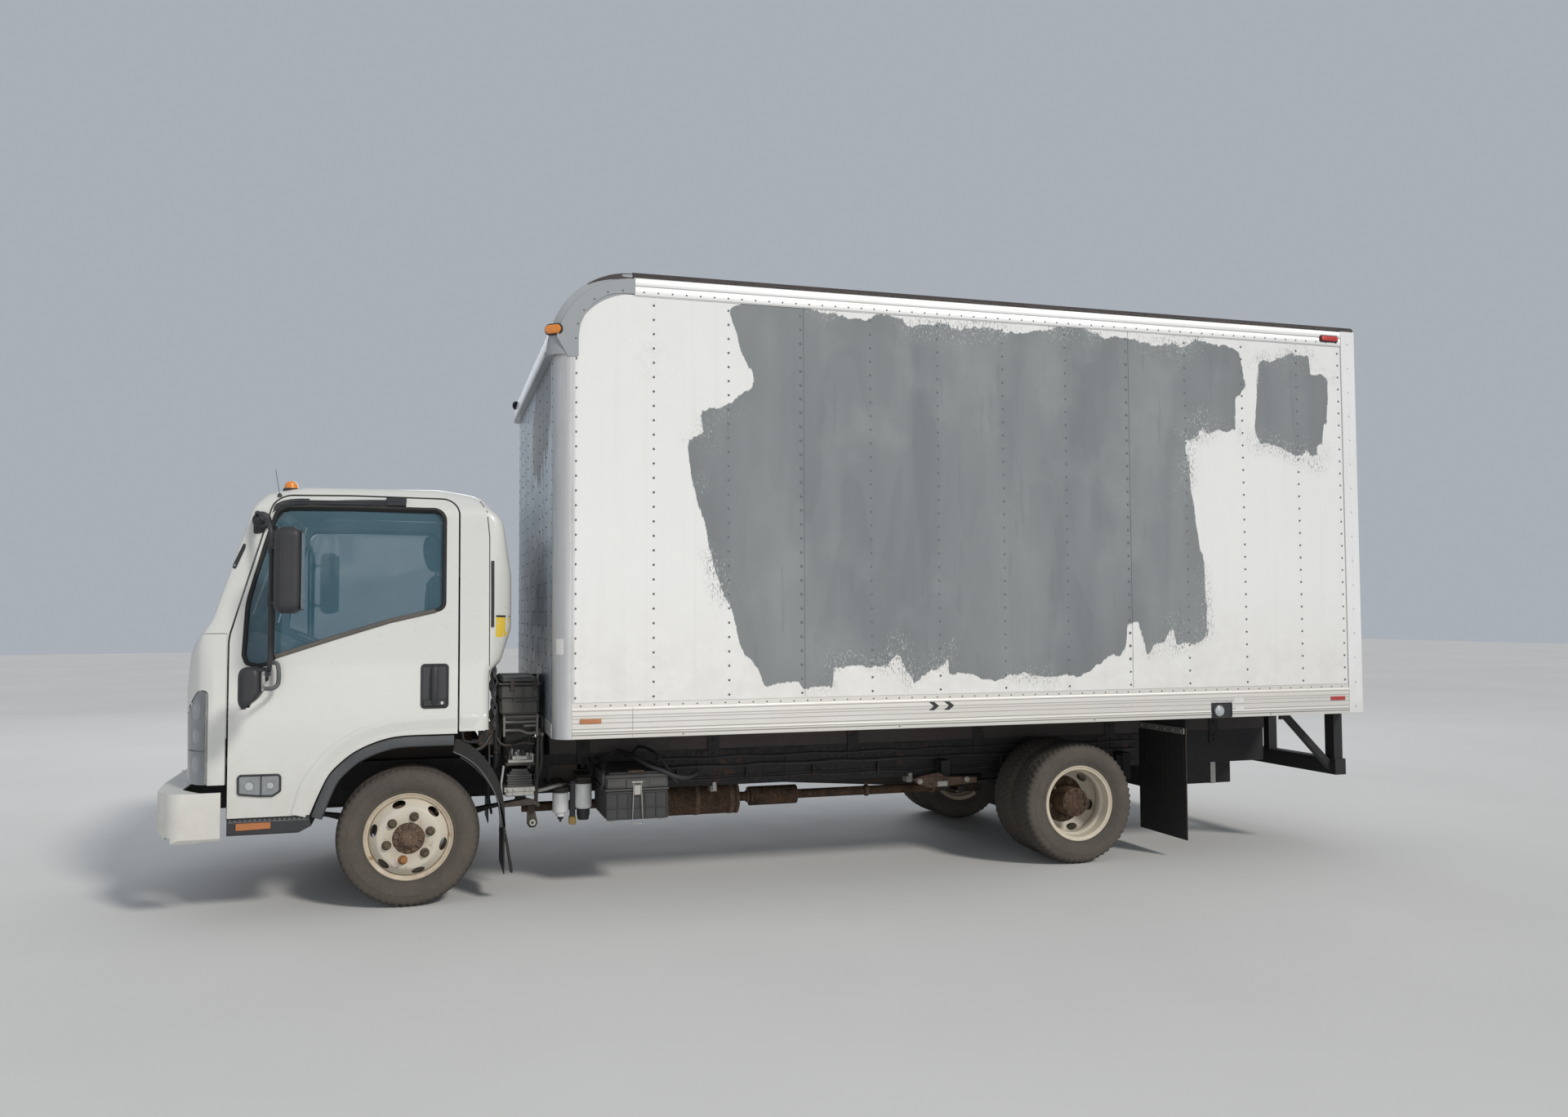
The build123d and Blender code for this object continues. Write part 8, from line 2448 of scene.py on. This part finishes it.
# pale clamps under the rail
m.use(3)
for y in (1.721, 2.974):
    m.box(0.36, 0.440, y - 0.020, y + 0.020, 0.440, 0.478, b=0.004)
    m.box(0.425, 0.455, y - 0.012, y + 0.012, 0.448, 0.500, b=0.003)
piece("frame_rail_fittings", m, "chassis", [BLACK_PLASTIC, CHASSIS_RUST, WIRE, PALE_ALLOY], angle=35)

# rusty bracket arm ahead of the rear wheels
m = Mesh()
m.use(0)
m.prism([(2.939, 0.479), (3.020, 0.500), (3.106, 0.513), (3.165, 0.483), (3.366, 0.475), (3.366, 0.439), (3.046, 0.420), (2.970, 0.445)], "x", 0.555, 0.578, b=0.003)
m.use(1)
m.box(0.552, 0.590, 3.095, 3.165, 0.425, 0.462, b=0.004)
for y in (2.985, 3.30):
    m.bolt((0.578, y, 0.462), (1, 0, 0), 0.012, 0.009)
piece("spring_hanger_arm", m, "chassis", [HUB_RUST, PALE_ALLOY], angle=35)

# exhaust: bands, seams and clamps over the plain pipe
m = Mesh()
for y0, y1, r in ((1.455, 1.480, 0.0978), (1.640, 1.665, 0.0978), (1.850, 1.875, 0.0978)):
    m.lathe([(0.0, 0.090), (0.0, r), (y1 - y0, r), (y1 - y0, 0.090)], (0.235, y0, 0.372), axis="y", n=40)
for y0 in (1.415, 1.893):
    m.lathe([(0.0, 0.080), (0.0, 0.0975), (0.016, 0.0975), (0.016, 0.080)], (0.235, y0, 0.372), axis="y", n=40)
for y0 in (0.90, 1.20, 1.97, 2.28, 2.75, 3.20):
    m.lathe([(0.0, 0.026), (0.0, 0.036), (0.018, 0.036), (0.018, 0.026)], (0.235, y0, 0.372), axis="y", n=28)
    m.box(0.228, 0.242, y0 + 0.003, y0 + 0.015, 0.400, 0.426, b=0.002)
piece("exhaust_bands", m, "chassis", HUB_RUST, angle=30)

# fuel tank straps; rear bar end plates
m = Mesh()
for y in (4.86, 5.26):
    m.box(-0.332, 0.332, y - 0.020, y + 0.020, 0.3170, 0.3200, b=0.001)
    for s in (1, -1):
        m.box(s * 0.3300, s * 0.3335, y - 0.020, y + 0.020, 0.3175, 0.602, b=0.001)
        m.bolt((s * 0.3335, y, 0.56), (s, 0, 0), 0.008, 0.006)
piece("fuel_tank_straps", m, "chassis", PALE_ALLOY, angle=30)
m = Mesh()
for s in (1, -1):
    for y, z in ((5.68, 0.82), (5.68, 0.56), (5.27, 0.838)):
        m.box(s * 1.0260, s * 1.0320, y - 0.030, y + 0.030, z - 0.028, z + 0.028, b=0.002)
        for a, b in ((-0.018, -0.016), (0.018, 0.016)):
            m.bolt((s * 1.0320, y + a, z + b), (s, 0, 0), 0.007, 0.005)
piece("rear_bar_gussets", m, "chassis", CHASSIS_RUST, angle=30)

# axle clamps: U-bolts over the springs at both axles
m = Mesh()
for yc, z0, z1, xm, w in ((0.0, 0.330, 0.470, 0.395, 0.070), (WB, 0.330, 0.520, 0.480, 0.070)):
    for s in (1, -1):
        for dy in (-0.062, 0.062):
            m.tube(spline([(s * (xm - 0.046), yc + dy, z0), (s * (xm - 0.046), yc + dy, z1 - 0.02), (s * (xm - 0.030), yc + dy, z1), (s * (xm + 0.030), yc + dy, z1), (s * (xm + 0.046), yc + dy, z1 - 0.02), (s * (xm + 0.046), yc + dy, z0)], 4), 0.0075, 8)
piece("axle_u_bolts", m, "chassis", HUB_RUST)


# ---------------------------------------------------------------------------------------------
# inside the cab
# ---------------------------------------------------------------------------------------------
def cloth_material(name, base, fleck, scale=1.0):
    m = Mat(name)
    s = m.xyz()
    f = 1500.0 * scale
    wx = m.math("SINE", m.math("MULTIPLY", s[0], f))
    wy = m.math("SINE", m.math("MULTIPLY", m.math("ADD", s[1], m.math("MULTIPLY", s[2], 0.8)), f))
    weave = m.math("MULTIPLY", wx, wy)
    tone = m.mix(m.map(m.noise(260, 3, 0.6), 0.42, 0.62), base, fleck)
    tone = m.mix(m.map(m.noise(4.5, 5, 0.6), 0.4, 0.8, 0, 0.45), tone, tuple(c * 0.6 for c in base))
    tone = m.mix(m.map(weave, -0.6, 0.9, 0.0, 0.35), tone, tuple(min(1, c * 1.5) for c in fleck))
    m.bump(weave, 0.0006, 0.55)
    m.bump(m.noise(22, 4), 0.0016, 0.25)
    return m.set(base=tone, rough=m.map(m.noise(14, 4), 0.3, 0.8, 0.82, 0.96), sheen=0.35, spec=0.2)


SEAT_CLOTH = cloth_material("seat_cloth_grey", (0.105, 0.108, 0.115), (0.19, 0.195, 0.205))
SEAT_VINYL = plastic("seat_side_vinyl", (0.060, 0.062, 0.068), (0.12, 0.12, 0.12), rough=0.5, amount=0.3, grain=700)
PIPING = plastic("seat_piping", (0.035, 0.036, 0.04), (0.08, 0.08, 0.08), rough=0.5, grain=900)


def swell(name, outline, x0, x1, cap, grooves, axis_up, mats, fill):
    """A foam cushion: slightly small closed form, remeshed, blown up as cloth, then channelled."""
    m = Mesh()
    m.prism(rounded(outline, 0.022, 4), "x", x0 + 0.014, x1 - 0.014, b=0.014)
    me = bpy.data.meshes.new(name)
    me.from_pydata([(x, y - DY, z) for x, y, z in m.v], [], m.f)
    bm = bmesh.new(); bm.from_mesh(me); bmesh.ops.recalc_face_normals(bm, faces=bm.faces); bm.to_mesh(me); bm.free()
    o = bpy.data.objects.new(name, me)
    bpy.context.scene.collection.objects.link(o)

    def bake():
        dg = bpy.context.evaluated_depsgraph_get()
        new = bpy.data.meshes.new_from_object(o.evaluated_get(dg))
        o.modifiers.clear(); o.data = new
    md = o.modifiers.new("remesh", "REMESH"); md.mode = "VOXEL"; md.voxel_size = 0.0095
    bake()
    rest = np.empty(len(o.data.vertices) * 3); o.data.vertices.foreach_get("co", rest); rest = rest.reshape(-1, 3)
    c = o.modifiers.new("cloth", "CLOTH")
    c.settings.quality = 5
    c.settings.use_pressure = True
    c.settings.uniform_pressure_force = 4.0
    c.settings.effector_weights.gravity = 0.0
    c.settings.tension_stiffness = 18; c.settings.compression_stiffness = 18
    c.collision_settings.use_collision = False
    for f in range(1, 17):
        bpy.context.scene.frame_set(f)
    bake()
    bpy.context.scene.frame_set(1)
    now = np.empty(len(o.data.vertices) * 3); o.data.vertices.foreach_get("co", now); now = now.reshape(-1, 3)
    d = now - rest; ln = np.linalg.norm(d, axis=1, keepdims=True)
    now = rest + d * np.minimum(1, cap / np.maximum(ln, 1e-9))
    # stay inside the CAD solid's sides, flat where it rests
    yy = now[:, 1] + DY
    now[:, 0] = np.clip(now[:, 0], x0 + 0.001, x1 - 0.001)
    if axis_up:
        low = min(p[1] for p in outline)
        now[:, 2] = np.maximum(now[:, 2], low + 0.001)
        top = now[:, 2] > low + 0.055
        for kind, at in grooves:
            q = now[:, 0] if kind == "x" else yy
            now[:, 2] -= np.where(top, 0.0085 * np.exp(-((q - at) / 0.0065) ** 2), 0)
    else:
        for kind, at in grooves:
            q = now[:, 0] if kind == "x" else now[:, 2]
            lean = 0.128 * (now[:, 2] - 1.061)
            front = yy < 0.200 + lean
            now[:, 1] += np.where(front, 0.0085 * np.exp(-((q - at) / 0.0065) ** 2), 0)
    o.data.vertices.foreach_set("co", now.ravel()); o.data.update()
    bake()
    o.data.materials.clear()
    for q in mats:
        o.data.materials.append(q)
    k = len(o.data.polygons)
    cen = np.empty(k * 3); o.data.polygons.foreach_get("center", cen); cen = cen.reshape(-1, 3)
    nor = np.empty(k * 3); o.data.polygons.foreach_get("normal", nor); nor = nor.reshape(-1, 3)
    if axis_up:
        side = (np.abs(nor[:, 2]) < 0.55) | (nor[:, 2] < 0)
    else:
        side = (nor[:, 1] > -0.45)
    o.data.polygons.foreach_set("material_index", side.astype(np.int32))
    o.data.shade_smooth()
    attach(o, "cab")
    return o


def piping(name, obj, points, direction, r=0.0042):
    """Sewn cord round a cushion's face, dropped onto the finished surface."""
    bm = bmesh.new(); bm.from_mesh(obj.data)
    t = BVHTree.FromBMesh(bm); bm.free()
    out = []
    for p in points:
        o = Vector(p); o.y -= DY
        q = t.ray_cast(o, Vector(direction), 2.0)
        if q[0] is not None:
            v = q[0].copy(); v.y += DY
            out.append(v - Vector(direction) * (r * 0.35))
    m = Mesh()
    if len(out) > 3:
        m.tube(out, r, 8, closed=True)
        piece(name, m, "cab", PIPING)


SEATS = []
for nm, x0, x1 in (("driver", 0.160, 0.640), ("middle", -0.448, -0.040), ("outer", -0.860, -0.452)):
    w = x1 - x0; xc = (x0 + x1) / 2
    first = nm == "driver"
    seat_line = [(-0.335, 1.064), (0.038, 1.064), (0.038, 1.158), (-0.331, 1.176)] if first else [(-0.290, 1.064), (0.142, 1.064), (0.142, 1.158), (-0.286, 1.176)]
    back_line = [(0.066, 1.074), (0.140, 1.074), (0.184, 1.650), (0.160, 1.722), (0.104, 1.722), (0.084, 1.600)] if first else [(0.166, 1.072), (0.242, 1.072), (0.318, 1.690), (0.292, 1.742), (0.240, 1.722)]
    c = swell("seat_%s_cushion" % nm, seat_line, x0, x1, 0.018,
              [("x", xc - w * 0.17), ("x", xc + w * 0.17), ("y", -0.195 if first else -0.150)], True, [SEAT_CLOTH, SEAT_VINYL], 0.75)
    b = swell("seat_%s_back" % nm, back_line, x0 + 0.005, x1 - 0.005, 0.014,
              [("x", xc - w * 0.17), ("x", xc + w * 0.17), ("z", 1.240)], False, [SEAT_CLOTH, SEAT_VINYL], 0.75)
    SEATS += [c, b]
    e = 0.040
    y0, y1 = (-0.308, 0.016) if first else (-0.262, 0.118)
    loop = rounded([(x0 + e, y0), (x1 - e, y0), (x1 - e, y1), (x0 + e, y1)], 0.045, 7)
    fine = spline([(p[0], p[1], 1.6) for p in loop], 3, closed=True)
    piping("seat_%s_cushion_piping" % nm, c, [tuple(p) for p in fine], (0, 0, -1))
    zt = 1.665 if first else 1.685
    loop = rounded([(x0 + e, 1.105), (x1 - e, 1.105), (x1 - e, zt), (x0 + e, zt)], 0.055, 7)
    fine = spline([(p[0], -0.25, p[1]) for p in loop], 3, closed=True)
    piping("seat_%s_back_piping" % nm, b, [tuple(p) for p in fine], (0, 1, 0))
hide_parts("cab_seats")

# head restraint on posts, seat bases and belt buckles
hr = swell("seat_driver_head_restraint", [(0.094, 1.738), (0.160, 1.738), (0.174, 1.835), (0.150, 1.920), (0.102, 1.936), (0.066, 1.920), (0.061, 1.850)], 0.262, 0.538, 0.009, [], False, [SEAT_VINYL, SEAT_VINYL], 0.85)
m = Mesh()
m.use(1)
for x in (0.355, 0.445):
    m.tube([(x, 0.128, 1.700), (x, 0.130, 1.760)], 0.006, 10)
m.use(0)
for x0, x1 in ((0.170, 0.630), (-0.850, -0.050)):
    for x in (x0 + 0.06, x1 - 0.06):
        m.box(x - 0.014, x + 0.014, -0.290, 0.200, 1.0605, 1.0640, b=0.001)
for x in (0.655, 0.145, -0.020):
    m.tube(spline([(x, 0.130, 1.062), (x, 0.120, 1.110), (x, 0.105, 1.160)], 4), 0.006, 8, flat=(0.026, 0.006))
    m.box(x - 0.014, x + 0.014, 0.088, 0.112, 1.155, 1.215, b=0.004)
m.use(2)
for x in (0.655, 0.145, -0.020):
    m.box(x - 0.009, x + 0.009, 0.094, 0.106, 1.213, 1.219, b=0.0015)
piece("seat_hardware", m, "cab", [TRIM_DARK, PALE_ALLOY, RED], angle=35)

# steering wheel: grained rim with grips, spokes and padded boss
org = Vector((0.400, -0.546, 1.365)); nrm = Vector((0, 0.42, 0.9075)).normalized()
u = Vector((1, 0, 0)); w = nrm.cross(u).normalized()
m = Mesh()
m.use(0)
ring, rads = [], []
for k in range(120):
    a = 2 * math.pi * k / 120
    ring.append(org + u * (0.212 * math.cos(a)) + w * (0.212 * math.sin(a)))
    rads.append(0.0142 + (0.0008 if (k % 3 == 0 and (20 < k % 60 < 40)) else 0.0))
m.tube(ring, rads, 14, closed=True)
for a0 in (0.0, math.pi, -math.pi / 2, math.pi * 1.5 - 0.0):
    d = u * math.cos(a0) + w * math.sin(a0)
    m.tube([org + d * 0.035 - nrm * 0.014, org + d * 0.090 - nrm * 0.011, org + d * 0.150 - nrm * 0.005, org + d * 0.206], 0.012, 12, flat=(0.036, 0.013))
m.use(1)
rows = [(0.000, 0.062), (0.006, 0.064), (0.016, 0.060), (0.022, 0.048), (0.0245, 0.026), (0.025, 0.0)]
k = 36; vs = []
for h, r in rows:
    for j in range(k):
        a = 2 * math.pi * j / k
        vs.append(org + u * (r * 1.15 * math.cos(a)) + w * (r * math.sin(a)) + nrm * (h - 0.012))
fs = [list(range(k))[::-1]]
for i in range(len(rows) - 1):
    for j in range(k):
        fs.append([i * k + j, i * k + (j + 1) % k, (i + 1) * k + (j + 1) % k, (i + 1) * k + j])
m.add(vs, fs)
m.lathe([(0.0, 0.0), (0.0, 0.044), (0.030, 0.040), (0.036, 0.0)], (org.x, org.y - 0.018, org.z - 0.050), axis="z", n=28, closed=False)
piece("steering_wheel_rim", m, "steering_wheel", [TRIM_DARK, TRIM_GREY], replaces=("steering_wheel",), angle=45, weld=1e-6)

# dashboard: hooded dials, vents, switch rows, glove-box lines, column stalks
DASH = tree_of("dashboard")
m = Mesh()
m.use(0)
hood = [(0.205, 1.405), (0.595, 1.405), (0.560, 1.478), (0.500, 1.498), (0.300, 1.498), (0.240, 1.478)]
m.prism(rounded(hood, 0.02, 4), "y", -0.870, -0.745, b=0.006)
m.use(1)
m.prism(rounded([(0.225, 1.398), (0.575, 1.398), (0.545, 1.470), (0.490, 1.486), (0.310, 1.486), (0.255, 1.470)], 0.02, 4), "y", -0.748, -0.742, b=0.001)
for x in (0.335, 0.465):
    m.lathe([(0.0, 0.0), (0.0, 0.040), (0.004, 0.041), (0.005, 0.036), (0.003, 0.035), (0.003, 0.0)], (x, -0.743, 1.440), axis="y", n=32, closed=False)
m.use(2)
for x, a in ((0.335, 2.2), (0.465, 4.0)):
    m.box(-0.0012, 0.0012, -0.001, 0.001, 0.0, 0.028, b=0.0003, at=Matrix.Translation((x, -0.738, 1.440)) @ Matrix.Rotation(a, 4, "Y"))
    for t in range(9):
        b = math.radians(-130 + 32 * t)
        m.box(-0.001, 0.001, -0.0008, 0.0008, 0.029, 0.034, b=0.0002, at=Matrix.Translation((x, -0.7385, 1.440)) @ Matrix.Rotation(b, 4, "Y"))
m.use(1)
for x in (-0.76, -0.10, 0.08, 0.74):
    for k in range(5):
        q, nn = hit(DASH, (x, 0.5, 1.375 - 0.011 * k), (0, -1, 0), 4)
        if q is not None:
            m.box(x - 0.055, x + 0.055, q.y - 0.002, q.y + 0.004, q.z - 0.0022, q.z + 0.0022, b=0.001)
for x0, x1, z in ((-0.72, -0.24, 1.345), (-0.72, -0.24, 1.235)):
    q, nn = hit(DASH, ((x0 + x1) / 2, 0.5, z), (0, -1, 0), 4)
    if q is not None:
        m.box(x0, x1, q.y - 0.002, q.y + 0.0015, z - 0.0012, z + 0.0012, b=0.0004)
for i in range(6):
    q, nn = hit(DASH, (-0.06 + 0.035 * i, 0.5, 1.29), (0, -1, 0), 4)
    if q is not None:
        m.box(-0.072 + 0.035 * i, -0.048 + 0.035 * i, q.y - 0.002, q.y + 0.005, 1.278, 1.300, b=0.002)
m.use(0)
for sx in (-1, 1):
    m.tube(spline([(0.400 + sx * 0.03, -0.575, 1.322), (0.400 + sx * 0.10, -0.560, 1.335), (0.400 + sx * 0.165, -0.545, 1.345)], 4), 0.006, 10)
piece("dashboard_details", m, "cab", [TRIM_DARK, BLACK_PLASTIC, LABEL_WHITE], angle=35)

# door cards, headliner, back wall trim, sun visors, inner mirror
CARD_CLOTH = cloth_material("door_card_cloth", (0.125, 0.128, 0.135), (0.20, 0.20, 0.21))
for side, s in SIDES:
    m = Mesh()
    m.use(0)
    skin(m, rounded([(-0.780, 0.930), (-0.150, 0.945), (0.180, 0.955), (0.180, 1.495), (-0.100, 1.440), (-0.350, 1.362), (-0.655, 1.262), (-0.780, 1.235)], 0.02, 4), DOOR_TREE[s], 0.0, 0.010, step=0.05, sign=-s)
    m.use(1)
    skin(m, rounded([(-0.620, 1.110), (0.130, 1.110), (0.130, 1.330), (-0.300, 1.300), (-0.620, 1.200)], 0.02, 4), DOOR_TREE[s], 0.008, 0.014, step=0.05, sign=-s)
    m.use(0)
    m.box(s * 0.895, s * 0.955, -0.420, 0.100, 1.040, 1.085, b=0.018)
    m.tube(spline([(s * 0.935, -0.560, 1.085), (s * 0.905, -0.545, 1.120), (s * 0.900, -0.500, 1.185), (s * 0.935, -0.470, 1.215)], 5), 0.011, 10)
    m.use(2)
    m.box(s * 0.938, s * 0.952, -0.060, 0.030, 1.170, 1.205, b=0.004)
    m.tube([(s * 0.935, -0.010, 1.188), (s * 0.928, 0.010, 1.188)], 0.009, 8)
    piece("%s_door_card" % side, m, DOOR_NAME[s], [TRIM_GREY, CARD_CLOTH, TRIM_DARK], angle=40)
m = Mesh()
m.use(0)
skin(m, rounded([(-0.760, -0.560), (0.760, -0.560), (0.760, 0.230), (-0.760, 0.230)], 0.05, 4), SHELL, 0.0, 0.008, step=0.09, axis="z", sign=-1)
m.use(1)
skin(m, rounded([(-0.800, 1.075), (0.800, 1.075), (0.790, 1.395), (-0.790, 1.395)], 0.03, 4), SHELL, 0.0, 0.008, step=0.08, axis="y", sign=-1)
m.use(0)
for x0, x1 in ((0.12, 0.62), (-0.62, -0.12)):
    m.box(x0, x1, -0.640, -0.490, 2.040, 2.058, b=0.007)
m.box(-0.110, 0.110, -0.660, -0.635, 1.965, 2.020, b=0.008)
m.tube([(0.0, -0.640, 2.010), (0.0, -0.600, 2.070)], 0.006, 8)
piece("cab_linings", m, "cab", [HEADLINER, TRIM_GREY], angle=40)


# ---------------------------------------------------------------------------------------------
# carried-over nodes keep their shape and take these materials
# ---------------------------------------------------------------------------------------------
def dress(material, *names):
    for n in names:
        me = NODES[n].data
        me.materials.clear(); me.materials.append(material)


dress(CAST, "left_knuckle", "right_knuckle", "tie_rod", "front_axle", "rear_axle", "engine_block", "driveline")
dress(CHASSIS, "frame_rails", "cross_members", "frame_brackets", "leaf_springs", "radiator", "fuel_tank", "box_bearers", "rear_bumper", "cab_floor")
dress(RUST, "exhaust")


dress(GREY_PLASTIC, "front_grille")
dress(FLAP, "mudguards")
dress(BLACK_PLASTIC, "step_wells")
dress(BUMPER_WHITE, "front_bumper")
dress(TRIM_GREY, "dashboard", "engine_cover")
dress(TRIM_DARK, "steering_column")

dress(POST_ALLOY, "box_mouldings")
dress(FRAME_WHITE, "rear_frame")
# the sills' near-black colour is painted shade under the box
dress(TRIM_BROWN, "box_sills")
dress(CHASSIS_RUST, "box_floor")
dress(SCREEN, "cab_glass")
dress(GLASS, "left_door_glass", "right_door_glass")


# ---------------------------------------------------------------------------------------------
# floor and light
# ---------------------------------------------------------------------------------------------
fl = Mat("pale_floor")
n1 = fl.noise(0.35, 4)
fl_mat = fl.set(base=fl.mix(fl.map(n1, 0.35, 0.7), (0.60, 0.595, 0.58), (0.64, 0.635, 0.62)), rough=fl.map(fl.noise(3, 4), 0.3, 0.7, 0.75, 0.9), spec=0.2)
me = bpy.data.meshes.new("studio_floor")
me.from_pydata([(-45, -45, -0.001), (45, -45, -0.001), (45, 45, -0.001), (-45, 45, -0.001)], [], [(0, 1, 2, 3)])
me.materials.append(fl_mat)
floor_obj = bpy.data.objects.new("studio_floor", me)
bpy.context.scene.collection.objects.link(floor_obj)

world = bpy.data.worlds.new("studio")
bpy.context.scene.world = world
world.use_nodes = True
world.node_tree.nodes["Background"].inputs[0].default_value = (0.80, 0.86, 0.95, 1)
world.node_tree.nodes["Background"].inputs[1].default_value = 0.50


def area(name, loc, look, size, power, colour=(1, 1, 1)):
    d = bpy.data.lights.new(name, "AREA")
    d.shape = "RECTANGLE"; d.size, d.size_y = size
    d.energy = power; d.color = colour
    o = bpy.data.objects.new(name, d)
    bpy.context.scene.collection.objects.link(o)
    o.location = loc
    o.rotation_euler = (Vector(look) - Vector(loc)).to_track_quat("-Z", "Y").to_euler()
    return o


sun = bpy.data.lights.new("key_sun", "SUN")
sun.energy = 1.9; sun.angle = math.radians(9); sun.color = (1.0, 0.965, 0.91)
so = bpy.data.objects.new("key_sun", sun)
bpy.context.scene.collection.objects.link(so)
so.rotation_euler = Vector((-0.72, -0.40, -0.60)).to_track_quat("-Z", "Y").to_euler()
area("fill_front", (3.0, -11.0, 5.0), (0, -3.0, 1.2), (7, 5), 60, (0.92, 0.96, 1.0))
area("fill_right", (-11.0, 2.0, 6.0), (0, 0, 1.5), (9, 6), 380, (0.93, 0.96, 1.0))
area("fill_low", (8.5, -1.0, 0.9), (0, -0.5, 0.5), (9, 1.2), 95, (1.0, 0.97, 0.93))

bpy.context.scene.view_settings.view_transform = "Standard"
